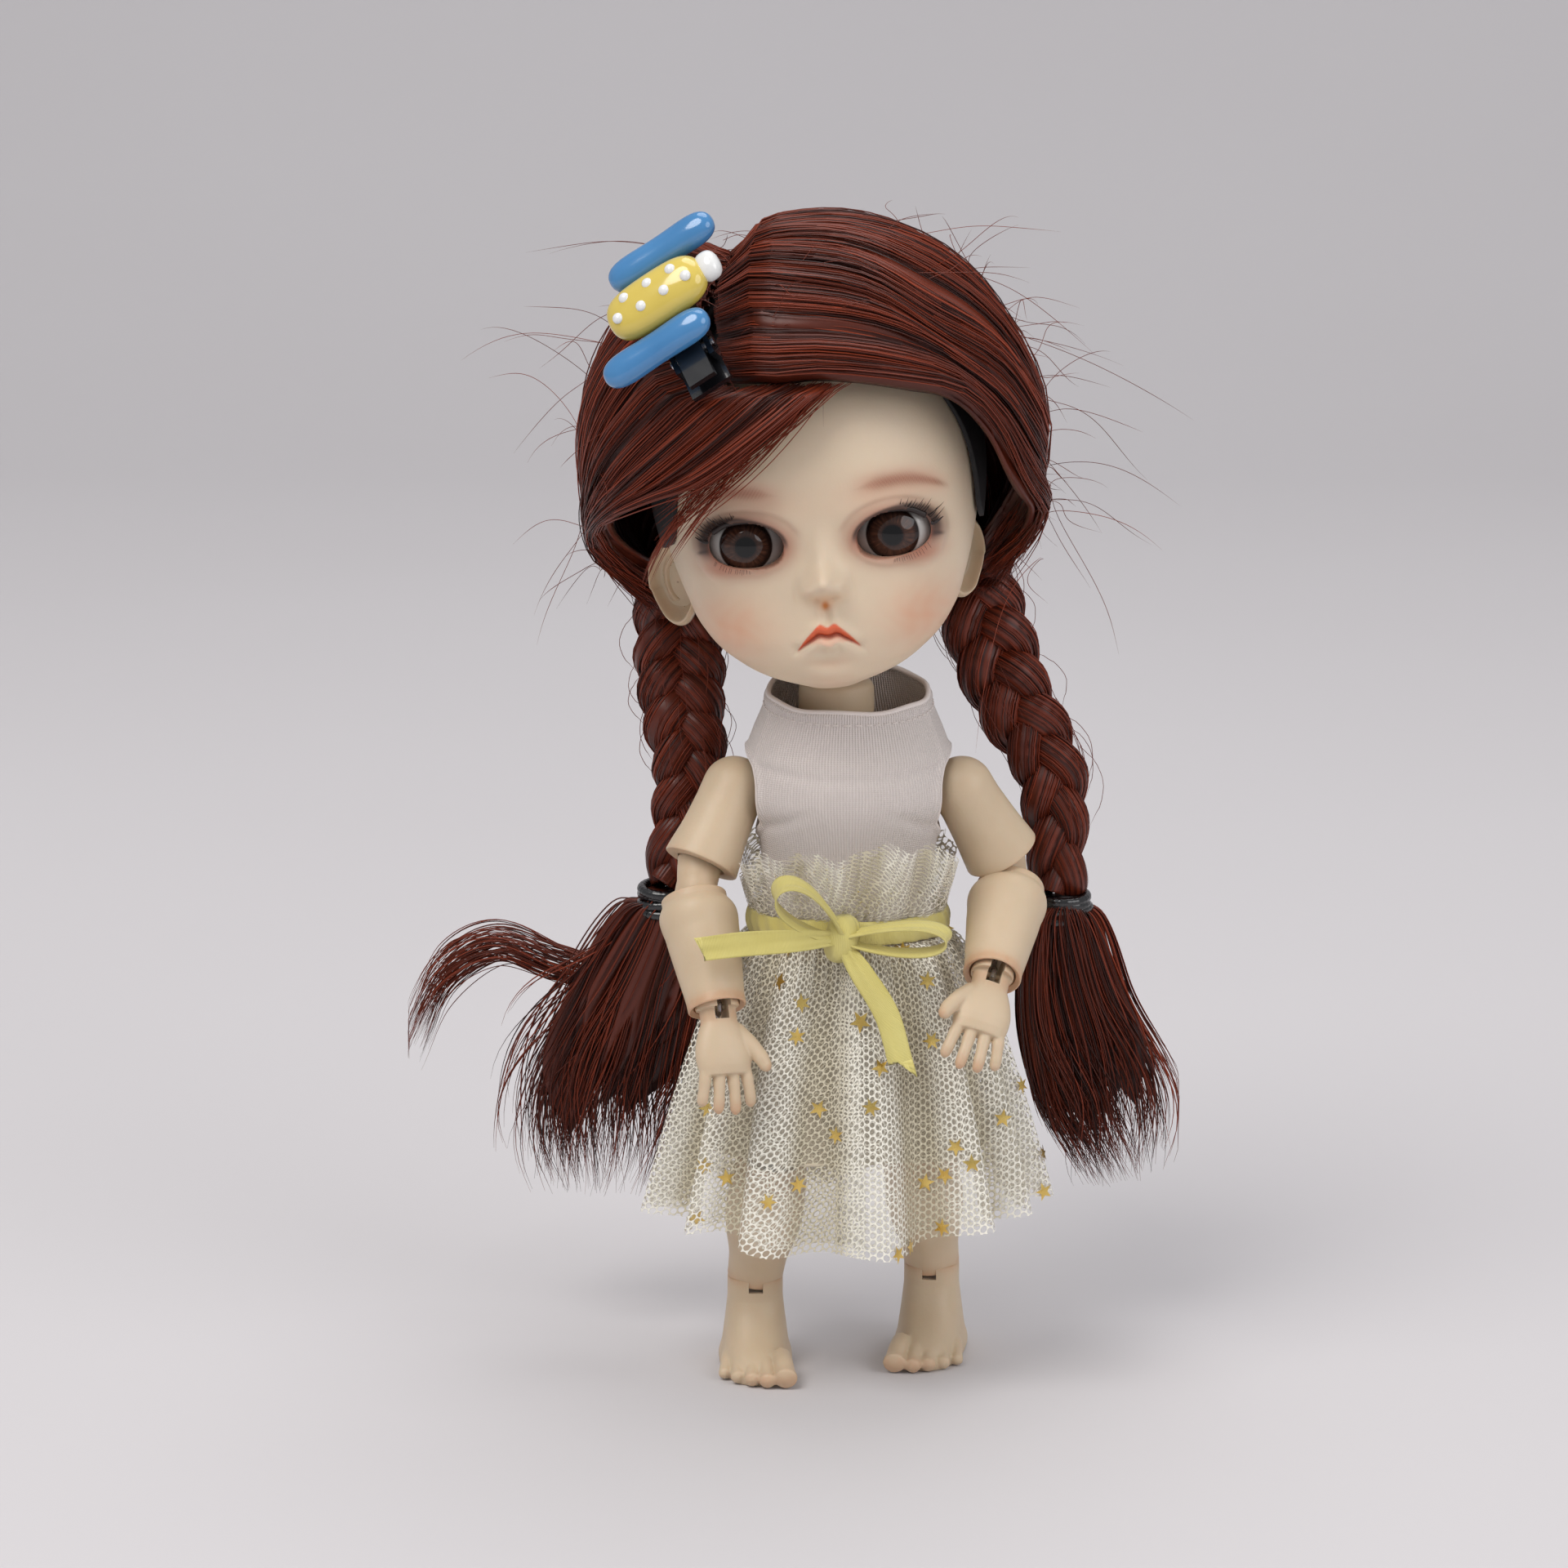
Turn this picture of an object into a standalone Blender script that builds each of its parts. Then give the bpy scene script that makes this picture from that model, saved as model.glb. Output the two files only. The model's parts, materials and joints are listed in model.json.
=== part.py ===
"""A strung ball jointed doll about 16 cm tall, standing in a ruffled tulle dress.

Units are metres, +Z is up and the doll faces -Y, so its right side is at -X.
Cast limbs meet at balls and cups, and elastic pulls them together from inside.
Each limb piece is modelled hanging down -Z from the empty on its own joint,
and the empties hold the pose in which the doll stands.
"""

import math

import bmesh
import bpy
import numpy as np
from mathutils import Matrix, Vector

# Overall stance
DOLL_X = 0.0069
DOLL_Y = -0.0012
HIP_X = 0.0010
CLEARANCE = 0.0003
CUT_OVERRUN = 0.0020

# Torso
TORSO_HEIGHT = 0.0395
TORSO_WIDTH = 0.0276
TORSO_DEPTH = 0.0172
TORSO_BASE = 0.0022
NECK_RADIUS = 0.0058
NECK_X = -0.0017
NECK_Y = 0.0010
NECK_RISE = 0.0450
NECK_BASE_DROP = 0.0060
TORSO_BORE = 0.0031
SIDE_BORE = 0.0023
BORE_FLOOR = 0.0120
CROTCH_WIDTH = 0.0022
CROTCH_DROP = 0.0036
CROTCH_DEPTH = 0.0070

# Head, seen upright from its own pivot in the neck
HEAD_WIDTH = 0.0462
HEAD_FRONT = 0.0248
HEAD_BACK = 0.0238
CHIN_RISE = 0.0040
HEAD_HEIGHT = 0.0546
HEAD_WALL = 0.0026
HEAD_ROLL = 5.0
HEAD_YAW = 5.0
HEAD_HOLE = 0.0030
CUP_FLOOR = 0.0022
SOCKET_RIM = 0.0042
SOCKET_WALL = 0.0014
CAP_SEAM_TILT = 32.0
CAP_SEAM_RISE = 0.0440
CAP_SEAM_BACK = 0.0060
NAPE_LIFT = 0.44

# Face
EYE_SPACING = 0.0208
EYE_RISE = 0.0246
EYE_RADIUS = 0.0070
EYE_SET_BACK = 0.0138
EYE_OPENING_WIDTH = 0.0104
EYE_OPENING_HEIGHT = 0.0076
LID_THICKNESS = 0.0010
IRIS_RADIUS = 0.0037
CORNEA_BULGE = 0.0006
LASH_LENGTH = 0.0014
LASH_THICKNESS = 0.0003
NOSE_RISE = 0.0198
NOSE_LENGTH = 0.0030
NOSE_WIDTH = 0.0021
MOUTH_RISE = 0.0118
MOUTH_WIDTH = 0.0068
LIP_HEIGHT = 0.0014
LIP_PROUD = 0.0008
CHIN_BALL = 0.0044
EAR_HEIGHT = 0.0118
EAR_WIDTH = 0.0078
EAR_THICKNESS = 0.0030
EAR_RISE = 0.0145
EAR_BACK = 0.0030
EAR_SPLAY = 32.0

# Arms
SHOULDER_X = 0.0164
SHOULDER_RISE = 0.0318
SHOULDER_BALL = 0.0046
UPPER_ARM_LENGTH = 0.0128
UPPER_ARM_WIDTH = 0.0112
ARM_END_GAP = 0.0008
ELBOW_SPAN = 0.0046
ELBOW_BALL = 0.0034
FOREARM_LENGTH = 0.0168
FOREARM_WIDTH = 0.0112
WRIST_WIDTH = 0.0084
HAND_BALL = 0.0031
LIMB_BORE = 0.0013
PALM_LENGTH = 0.0074
PALM_WIDTH = 0.0082
PALM_THICKNESS = 0.0040
FINGER_LENGTH = 0.0060
FINGER_WIDTH = 0.0018
THUMB_LENGTH = 0.0052

# Legs
HIP_SPREAD = 0.0160
HIP_BALL = 0.0056
HIP_FORWARD = 60.0
THIGH_LENGTH = 0.0178
THIGH_WIDTH = 0.0130
KNEE_SPAN = 0.0050
KNEE_BALL = 0.0039
KNEE_WIDTH = 0.0106
SHIN_LENGTH = 0.0211
CALF_WIDTH = 0.0114
ANKLE_WIDTH = 0.0082
FOOT_BALL = 0.0034
ANKLE_HEIGHT = 0.0131
RIGHT_FOOT_OUT = 0.0135
RIGHT_FOOT_AHEAD = -0.0036
LEFT_FOOT_OUT = 0.0128
LEFT_FOOT_BEHIND = 0.0102
FOOT_LENGTH = 0.0228
FOOT_WIDTH = 0.0112
FOOT_HEEL = 0.0066

# Stringing
WIRE_RADIUS = 0.0004
HOOK_RING = 0.0012
PIN_RADIUS = 0.0004
SLOT_WIDTH = 0.0021
ELASTIC_RADIUS = 0.0005
NECK_WIRE_RADIUS = 0.0007
NECK_BAR_LENGTH = 0.0090

# Wig
CAP_THICKNESS = 0.0005
CAP_EASE = 0.0012
HAIR_SIDE = 0.0098
HAIR_TOP = 0.0082
HAIR_EDGE = 0.0024
BRAID_WIDTH = 0.0102
BRAID_BACK = 0.0128
BRAID_LUMP_SHARE = 0.13
TAIL_THICKNESS = 0.0090
TAIL_RIGHT_WIDTH = 0.0260
TAIL_LEFT_WIDTH = 0.0200
CURL_WIDTH = 0.0056
TIE_WIRE = 0.0011

# Clothes
CLOTH = 0.0008
BODICE_EASE = 0.0005
BODICE_BOTTOM = 0.0118
BODICE_TOP = 0.0420
ARMHOLE = 0.0061
WAIST_RISE = 0.0128
WAIST_WIDTH = 0.0282
WAIST_DEPTH = 0.0210
SKIRT_LENGTH = 0.0468
HEM_WIDTH = 0.0530
HEM_DEPTH = 0.0370
SKIRT_FOLD = 0.0018
SKIRT_FOLDS = 13
RUFFLE_HEIGHT = 0.0112
RUFFLE_FLARE = 0.0052
RUFFLE_FOLD = 0.0012
RUFFLE_FOLDS = 15
LINING_TOP = 0.0064
LINING_LENGTH = 0.0274
LINING_WIDTH = 0.0402
LINING_DEPTH = 0.0284
RIBBON_WIDTH = 0.0034
RIBBON_THICKNESS = 0.0005
BOW_KNOT_WIDTH = 0.0046
BOW_KNOT_HEIGHT = 0.0064
BOW_KNOT_DEPTH = 0.0030
BOW_RIGHT_LOOP = 0.0122
BOW_LEFT_LOOP = 0.0146
BOW_RIGHT_TAIL = 0.0200
BOW_LEFT_TAIL = 0.0188

# Hair clip
CLIP_LENGTH = 0.0165
BAR_WIDTH = 0.0048
BAR_STAGGER = 0.0032
PILLOW_WIDTH = 0.0072
PILLOW_LENGTH = 0.0150
CLIP_PLATE = 0.0010
CLIP_PLATE_WIDTH = 0.0062
CLIP_PLATE_LENGTH = 0.0250
CLIP_TURN = 231.0
CLIP_RISE_SHARE = 0.57
CLIP_HEADING = 22.2
CLIP_LEAN = 46.5
CLIP_TILT = -44.0
CLIP_TOUCH_SHARES = (0.477, 0.379)
CLIP_PIN_RADIUS = 0.0006
DOT_RADIUS = 0.0008


def clear_scene():
    for old in list(bpy.data.objects):
        bpy.data.objects.remove(old, do_unlink=True)


def finish(name, colour, roughness, metallic=0.0):
    """A plain material in the colour of the real piece."""
    material = bpy.data.materials.new(name)
    material.use_nodes = True
    shader = material.node_tree.nodes["Principled BSDF"]
    shader.inputs["Base Color"].default_value = (*colour, 1.0)
    shader.inputs["Roughness"].default_value = roughness
    shader.inputs["Metallic"].default_value = metallic
    return material


def pivot(name, parent, place, *turns):
    """An empty on a joint. Each turn is an axis letter and degrees, the last one applied first."""
    empty = bpy.data.objects.new(name, None)
    bpy.context.collection.objects.link(empty)
    matrix = Matrix.Translation(Vector(place))
    for axis, degrees in turns:
        matrix = matrix @ Matrix.Rotation(math.radians(degrees), 4, axis)
    empty.parent = parent
    empty.matrix_local = matrix
    return empty


def body(name, parent, points, faces, material):
    """A mesh object whose faces are made to point out."""
    mesh = bpy.data.meshes.new(name)
    mesh.from_pydata([tuple(p) for p in points], [], faces)
    work = bmesh.new()
    work.from_mesh(mesh)
    bmesh.ops.recalc_face_normals(work, faces=work.faces)
    bmesh.ops.triangulate(work, faces=work.faces)
    work.to_mesh(mesh)
    work.free()
    mesh.shade_smooth()
    mesh.set_sharp_from_angle(angle=math.radians(40))
    made = bpy.data.objects.new(name, mesh)
    bpy.context.collection.objects.link(made)
    made.parent = parent
    if material:
        mesh.materials.append(material)
    return made


def skin(rings, closed_path=False):
    """Points and faces through rings of equal count. The ends close on their middles, or the rings meet."""
    rings = np.asarray(rings, float)
    levels, count = rings.shape[:2]
    points = [tuple(p) for p in rings.reshape(-1, 3)]
    steps = levels if closed_path else levels - 1
    faces = []
    for level in range(steps):
        above = (level + 1) % levels
        for i in range(count):
            j = (i + 1) % count
            faces.append((level * count + i, level * count + j, above * count + j, above * count + i))
    if not closed_path:
        for level in (0, levels - 1):
            middle = len(points)
            points.append(tuple(rings[level].mean(axis=0)))
            for i in range(count):
                faces.append((level * count + i, level * count + (i + 1) % count, middle))
    return points, faces


def oval(half_width, front, back, z, count=16, power=1.0, x=0.0, y=0.0):
    """A level ring with its own reach to the front and to the back. A power under 1 squares it."""
    turn = np.arange(count) * 2 * math.pi / count
    c, s = np.cos(turn), np.sin(turn)
    px = half_width * np.sign(c) * abs(c) ** power
    reach = np.where(s > 0, back, front)
    py = reach * np.sign(s) * abs(s) ** power
    return np.stack([px + x, py + y, np.full(count, z)], axis=1)


def smooth(along, shares):
    """A smooth reading of a table of (place, value...) shares, easing between neighbours."""
    table = np.array(shares, float)
    places, values = table[:, 0], table[:, 1:]
    slopes = np.gradient(values, places, axis=0)
    k = int(np.clip(np.searchsorted(places, along) - 1, 0, len(places) - 2))
    width = places[k + 1] - places[k]
    t = min(max((along - places[k]) / width, 0.0), 1.0)
    a, b = values[k], values[k + 1]
    m, n = slopes[k] * width, slopes[k + 1] * width
    return a * (2 * t**3 - 3 * t**2 + 1) + m * (t**3 - 2 * t**2 + t) + b * (3 * t**2 - 2 * t**3) + n * (t**3 - t**2)


def boolean(target, other, operation="DIFFERENCE"):
    """Cuts or joins with the exact solver, and hides the other shape from renders."""
    step = target.modifiers.new(other.name, "BOOLEAN")
    step.operation = operation
    step.solver = "EXACT"
    step.object = other
    other.hide_render = True
    other.display_type = "WIRE"
    return target


def cut(target, *cutters):
    for cutter in cutters:
        boolean(target, cutter)
    return target


def join(target, *others):
    for other in others:
        boolean(target, other, "UNION")
    return target


def ball(name, parent, centre, radius, count=20, stretch=(1, 1, 1), material=None):
    """A sphere, or an ellipsoid when the unit stretch is set."""
    levels = count // 2
    rings = []
    for k in range(1, levels):
        angle = math.pi * k / levels
        r, h = radius * math.sin(angle), radius * math.cos(angle)
        rings.append(oval(r * stretch[0], r * stretch[1], r * stretch[1], h * stretch[2], count))
    points, faces = skin(rings)
    points = np.array(points)
    points[-2] = (0, 0, radius * stretch[2])
    points[-1] = (0, 0, -radius * stretch[2])
    return body(name, parent, points + np.array(centre), faces, material)


def rod(name, parent, start, end, radius, count=12, material=None, end_radius=None):
    """A straight round bar between two points."""
    start, end = Vector(start), Vector(end)
    turn = Vector((0, 0, 1)).rotation_difference(end - start).to_matrix()
    rings = []
    for place, r in ((start, radius), (end, radius if end_radius is None else end_radius)):
        ring = oval(r, r, r, 0, count)
        rings.append([turn @ Vector(p) + place for p in ring])
    points, faces = skin(rings)
    return body(name, parent, points, faces, material)


def block(name, parent, low, high, material=None):
    """A box between two corners."""
    (x0, y0, z0), (x1, y1, z1) = low, high
    points = [(x, y, z) for z in (z0, z1) for x, y in ((x0, y0), (x1, y0), (x1, y1), (x0, y1))]
    faces = [(0, 1, 2, 3), (4, 5, 6, 7), (0, 1, 5, 4), (1, 2, 6, 5), (2, 3, 7, 6), (3, 0, 4, 7)]
    return body(name, parent, points, faces, material)


def frames_along(path, closed_path=False):
    """Sideways directions along a path, carried from point to point without twist."""
    path = [Vector(p) for p in path]
    count = len(path)
    normals = []
    side, before = None, None
    for k in range(count):
        if closed_path:
            ahead, behind = path[(k + 1) % count], path[k - 1]
        else:
            ahead, behind = path[min(k + 1, count - 1)], path[max(k - 1, 0)]
        tangent = (ahead - behind).normalized()
        if side is None:
            side = Vector((1, 0, 0)) if abs(tangent.x) < 0.7 else Vector((0, 1, 0))
        else:
            side = before.rotation_difference(tangent) @ side
        side = (side - tangent * side.dot(tangent)).normalized()
        normals.append((side.copy(), tangent.cross(side)))
        before = tangent
    return normals


def tube(path, radii, count=8, closed_path=False, flat=1.0):
    """Points and faces of a tube along a path. A flat value scales its second direction."""
    rings = []
    for place, radius, (u, v) in zip(path, radii, frames_along(path, closed_path), strict=True):
        ring = []
        for i in range(count):
            angle = 2 * math.pi * i / count
            ring.append(Vector(place) + u * radius * math.cos(angle) + v * radius * flat * math.sin(angle))
        rings.append(ring)
    return skin(rings, closed_path)


def curve_through(points, count):
    """Evenly spaced places on a smooth curve through a few chosen points."""
    points = np.array(points, float)
    knots = np.linspace(0, 1, len(points))
    table = np.column_stack([knots, points])
    return [smooth(t, table) for t in np.linspace(0, 1, count)]


def levels_of(length, width, depth, shares, count=12, power=1.0):
    """Rings down a limb. Shares give place along, width, front depth and back depth."""
    rings = []
    for along, wide, front, back in shares:
        rings.append(oval(width / 2 * wide, depth / 2 * front, depth / 2 * back, -length * along, count,
                          power))
    return rings


def dome(radius, first, last, steps, count=12, z=0.0):
    """Level rings of a ball between two angles down from its top."""
    rings = []
    for k in range(steps):
        angle = math.radians(first + (last - first) * k / (steps - 1))
        r = radius * math.sin(angle)
        rings.append(oval(r, r, r, z + radius * math.cos(angle), count))
    return rings


# Head form. A level of the head is a ring whose reach to the side, front and
# back is read from shares of the head's height, and which tips up at the nape.
HEAD_SIDE_SHARES = (
    (0.0, 0.20), (0.03, 0.40), (0.07, 0.56), (0.13, 0.72), (0.20, 0.835), (0.30, 0.925),
    (0.42, 0.975), (0.55, 1.0), (0.67, 0.975), (0.78, 0.875), (0.88, 0.69), (0.95, 0.46), (0.985, 0.25),
    (1.0, 0.0),
)
HEAD_FRONT_SHARES = (
    (0.0, 0.55), (0.03, 0.72), (0.07, 0.82), (0.13, 0.885), (0.20, 0.915), (0.30, 0.935),
    (0.42, 0.955), (0.55, 0.985), (0.67, 0.945), (0.78, 0.83), (0.88, 0.64), (0.95, 0.41), (0.985, 0.22),
    (1.0, 0.0),
)
HEAD_BACK_SHARES = (
    (0.0, 0.30), (0.03, 0.42), (0.07, 0.53), (0.13, 0.66), (0.20, 0.77), (0.30, 0.88),
    (0.42, 0.96), (0.55, 1.0), (0.67, 0.975), (0.78, 0.87), (0.88, 0.68), (0.95, 0.45), (0.985, 0.24),
    (1.0, 0.0),
)
FACE_LEVEL_SHARES = (
    0.0, 0.03, 0.07, 0.11, 0.15, 0.19, 0.23, 0.27, 0.31, 0.35, 0.40, 0.46, 0.53, 0.61, 0.70, 0.79,
    0.87, 0.93, 0.975,
)
HAIR_SHARES = (
    (0.0, 0.30), (0.10, 0.47), (0.17, 0.66), (0.25, 0.77), (0.33, 0.74), (0.42, 0.55), (0.5, 0.30),
    (0.6, 0.13), (0.75, 0.09), (0.9, 0.13), (1.0, 0.30),
)
HAIRLINE_SHARES = (
    (0.0, 0.36), (0.10, 0.50), (0.17, 0.70), (0.25, 0.80), (0.33, 0.76), (0.42, 0.56), (0.5, 0.36),
    (0.6, 0.22), (0.75, 0.17), (0.9, 0.22), (1.0, 0.36),
)


def head_point(turn, level, grow=0.0, lift=0.0):
    """A point of the head's outside at a turn from +X and a share of its height, moved out by grow."""
    side = float(smooth(level, HEAD_SIDE_SHARES)[0]) * HEAD_WIDTH / 2 + grow
    front = float(smooth(level, HEAD_FRONT_SHARES)[0]) * HEAD_FRONT + grow
    back = float(smooth(level, HEAD_BACK_SHARES)[0]) * HEAD_BACK + grow
    c, s = math.cos(turn), math.sin(turn)
    if grow > 0:
        near_top = 0.8 * max(grow - CAP_EASE - CAP_THICKNESS, 0.0) * max(0.0, (level - 0.8) / 0.2) ** 2
        side, front, back = side - near_top, front - near_top, back - near_top
    x = side * math.copysign(abs(c) ** 0.94, c)
    y = (back if s > 0 else front) * math.copysign(abs(s) ** 0.94, s)
    z = CHIN_RISE + HEAD_HEIGHT * level + lift
    tip = NAPE_LIFT * max(0.0, 1 - level / 0.5) ** 1.5
    behind_chin = y + front
    return np.array([x, y, z + tip * behind_chin**2 / (abs(behind_chin) + front * 0.6)])


def bump(x, z, centre_x, centre_z, wide, tall):
    return math.exp(-(((x - centre_x) / wide) ** 2) - ((z - centre_z) / tall) ** 2)


def face_relief(point):
    """Draws the lids, nose, lips, cheeks and chin out of the smooth front of the head."""
    x, y, z = point
    if y > -HEAD_FRONT * 0.25:
        return point
    out = 0.0
    for side in (-1, 1):
        across, rise = x - side * EYE_SPACING / 2, z - EYE_RISE
        reach = EYE_RADIUS + LID_THICKNESS
        inside = reach**2 - across**2 - rise**2
        if inside > 0:
            lid = EYE_SET_BACK + math.sqrt(inside)
            out = max(out, lid + y)
        out += -LIP_PROUD * bump(x, z, side * EYE_SPACING / 2, EYE_RISE + EYE_RADIUS * 1.35, EYE_RADIUS,
                                 EYE_RADIUS / 2.6) * 0.5
    out -= LIP_PROUD * bump(x, z, 0, EYE_RISE, NOSE_WIDTH * 1.6, EYE_OPENING_HEIGHT / 2)
    out += NOSE_LENGTH * bump(x, z, 0, NOSE_RISE, NOSE_WIDTH, NOSE_WIDTH * 0.95)
    out += NOSE_LENGTH * 0.40 * bump(x, z, 0, NOSE_RISE + NOSE_WIDTH * 1.5, NOSE_WIDTH * 0.8,
                                     NOSE_WIDTH * 1.6)
    out += LIP_PROUD * bump(x, z, 0, MOUTH_RISE + LIP_HEIGHT * 0.7, MOUTH_WIDTH * 0.34, LIP_HEIGHT * 0.75)
    out += LIP_PROUD * bump(x, z, 0, MOUTH_RISE - LIP_HEIGHT * 1.0, MOUTH_WIDTH * 0.24, LIP_HEIGHT * 0.8)
    out -= LIP_PROUD * 0.9 * bump(x, z, 0, MOUTH_RISE - LIP_HEIGHT * 0.15, MOUTH_WIDTH * 0.45,
                                  LIP_HEIGHT * 0.34)
    out += LIP_PROUD * 1.2 * bump(x, z, 0, CHIN_RISE + CHIN_BALL * 0.5, CHIN_BALL, CHIN_BALL * 0.7)
    return np.array([x, y - out, z])


def head_rings(grow, count, relief=False, levels=FACE_LEVEL_SHARES):
    rings = []
    for level in levels:
        ring = []
        for i in range(count):
            point = head_point(2 * math.pi * i / count, level, grow)
            ring.append(face_relief(point) if relief else point)
        rings.append(ring)
    return rings


def head_solid(name, parent, material):
    points, faces = skin(head_rings(0.0, 32, True))
    return body(name, parent, points, faces, material)


def head_hollow(name, parent):
    """The space inside the cast head, with a round boss left standing over the neck cup."""
    levels = [level for level in FACE_LEVEL_SHARES if 0.05 < level < 0.98][::2]
    points, faces = skin(head_rings(-HEAD_WALL, 20, False, levels))
    hollow = body(name, parent, points, faces, None)
    room = rod(name + "_room", parent, (0, 0, NECK_RADIUS), (0, 0, NECK_RADIUS * 3),
               NECK_BAR_LENGTH * 0.62, 16)
    join(hollow, room)
    boss = ball(name + "_boss", parent, (0, 0, 0), NECK_RADIUS + CLEARANCE + CUP_FLOOR, 18)
    return boolean(hollow, boss)


def seam_block(name, parent, behind):
    """A large block on one side of the slanting seam between face and cap."""
    reach = HEAD_WIDTH * 1.5
    seam = pivot(name + "_seam", parent, (0, CAP_SEAM_BACK, CAP_SEAM_RISE), ("X", CAP_SEAM_TILT))
    half_gap = CLEARANCE / 2
    if behind:
        return block(name, seam, (-reach, -half_gap, -reach), (reach, reach, reach))
    return block(name, seam, (-reach, -reach, -reach), (reach, half_gap, reach))


def eye_outline(side):
    """The almond opening between the lids, wider below its outer corner."""
    outline = []
    for k in range(20):
        angle = 2 * math.pi * k / 20
        x = math.cos(angle)
        tall = 0.92 if math.sin(angle) > 0 else 1.0
        z = tall * math.copysign(abs(math.sin(angle)) ** 0.85, math.sin(angle))
        droop = -0.06 * x * side
        outline.append((x * EYE_OPENING_WIDTH / 2, (z + droop) * EYE_OPENING_HEIGHT / 2))
    return outline


def head(parent, resin, paint):
    face = head_solid("head_face", parent, resin)
    for side, word in ((-1, "right"), (1, "left")):
        ear = ear_form(f"ear_{word}", parent, side)
        join(face, ear)
    rim, top = (0, 0, SOCKET_RIM), (0, 0, NECK_RADIUS * 1.9)
    join(face, rod("neck_socket", parent, rim, top, NECK_RADIUS + SOCKET_WALL, 22))
    cut(face, head_hollow("face_hollow", parent))
    cut(face, ball("neck_cup", parent, (0, 0, 0), NECK_RADIUS + CLEARANCE, 20))
    cut(face, rod("neck_hole", parent, (0, 0, 0), (0, 0, NECK_RADIUS * 2), HEAD_HOLE, 16))
    cut(face, seam_block("face_seam", parent, True))
    for side, word in ((-1, "right"), (1, "left")):
        centre = (side * EYE_SPACING / 2, -EYE_SET_BACK, EYE_RISE)
        cut(face, ball(f"eye_seat_{word}", parent, centre, EYE_RADIUS + CLEARANCE, 16))
        outline = eye_outline(side)
        rings = [[(x + centre[0], y, z + centre[2]) for x, z in outline] for y in (-HEAD_FRONT * 1.3,
                                                                                   -EYE_SET_BACK)]
        points, faces = skin(rings)
        cut(face, body(f"eye_opening_{word}", parent, points, faces, None))
        eye(f"eye_{word}", parent, centre, paint["eye"])
        lash(f"lash_{word}", parent, side, centre, paint["lash"])
    cap = body("head_cap", parent, *skin(head_rings(0.0, 24, False, FACE_LEVEL_SHARES[4::2])), resin)
    cut(cap, head_hollow("cap_hollow", parent), seam_block("cap_seam", parent, False))


def ear_form(name, parent, side):
    """A cupped ear: a leaning oval with its inside scooped out."""
    place = (side * HEAD_WIDTH / 2 * 0.79, EAR_BACK, EAR_RISE)
    holder = pivot(name + "_place", parent, place, ("Z", side * EAR_SPLAY), ("Y", side * 8))
    shell = ball(name, holder, (side * EAR_WIDTH * 0.28, 0, 0), EAR_HEIGHT / 2, 14,
                 (EAR_WIDTH / EAR_HEIGHT, EAR_THICKNESS / EAR_HEIGHT, 1))
    scoop = ball(name + "_scoop", holder, (side * EAR_WIDTH * 0.26, -EAR_THICKNESS * 0.62, 0),
                 EAR_HEIGHT / 2 * 0.72, 10,
                 (EAR_WIDTH / EAR_HEIGHT, EAR_THICKNESS / EAR_HEIGHT, 1))
    return boolean(shell, scoop)


def eye(name, parent, centre, material):
    """A glass half eye with a raised cornea and a flat back."""
    rings = []
    for k in range(1, 7):
        angle = math.radians(96 * k / 6)
        r, out = EYE_RADIUS * math.sin(angle), EYE_RADIUS * math.cos(angle)
        if r < IRIS_RADIUS:
            out += CORNEA_BULGE * (1 - (r / IRIS_RADIUS) ** 2)
        rings.append([(centre[0] + p[0], centre[1] - out, centre[2] + p[1]) for p in oval(r, r, r, 0, 12)])
    return body(name, parent, *skin(rings), material)


def lash(name, parent, side, centre, material):
    """A strip of lashes glued behind the upper lid and standing out past it."""
    rings = []
    steps = 10
    for k in range(steps + 1):
        angle = math.radians(18 + 144 * k / steps)
        x = math.cos(angle) * EYE_OPENING_WIDTH / 2 * 0.96
        z = math.sin(angle) * EYE_OPENING_HEIGHT / 2 * 0.80
        outer = 0.5 + 0.5 * math.cos(angle) * side
        deep = EYE_RADIUS + CLEARANCE
        y = -math.sqrt(max(deep**2 - x**2 - z**2, 0))
        stand = LASH_LENGTH * (0.8 + 0.6 * outer)
        near = Vector((centre[0] + x, centre[1] + y - CLEARANCE, centre[2] + z))
        far = near + Vector((math.cos(angle) * stand * 0.35, -stand, stand * 0.25))
        thick = Vector((0, 0, LASH_THICKNESS))
        rings.append([near, far, far - thick, near - thick])
    return body(name, parent, *skin(rings), material)


def hair_inner():
    """How far the wig's inside stands off the head, over the net cap."""
    return CAP_EASE + CAP_THICKNESS + CLEARANCE * 2


def hair_growth(turn, share):
    """How far the outside of the hair stands off the head, fuller at the back and sides than at the hairline."""
    rise = min(1.0, share / 0.35)
    back = 0.5 + 0.5 * math.sin(turn)
    edge = HAIR_EDGE + (HAIR_SIDE * 0.5 - HAIR_EDGE) * back
    side = HAIR_SIDE * (0.72 + 0.28 * abs(math.cos(turn)))
    return hair_inner() + edge + (side + (HAIR_TOP - side) * share**2 - edge) * rise


def helmet_point(turn, share, grow, hairline):
    """A point over the head, from its turn and its share of the way from the hairline to the crown."""
    around = ((turn / (2 * math.pi)) + 0.5) % 1.0
    low = float(smooth(around, hairline)[0])
    return head_point(turn, low + (0.992 - low) * share, grow, grow * share**2)


def helmet(name, parent, inner, outer, material, count, levels, hairline):
    """A shell over the head down to the hairline. Inner is a distance, outer a function of turn and share."""
    turns = [2 * math.pi * i / count for i in range(count)]
    shares = [(k / levels) ** 0.9 for k in range(levels + 1)]
    outside = [[helmet_point(turn, s, outer(turn, s),
                             hairline) for turn in turns] for s in reversed(shares)]
    inside = [[helmet_point(turn, s, inner, hairline) for turn in turns] for s in shares]
    return body(name, parent, *skin(outside + inside), material)


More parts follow.
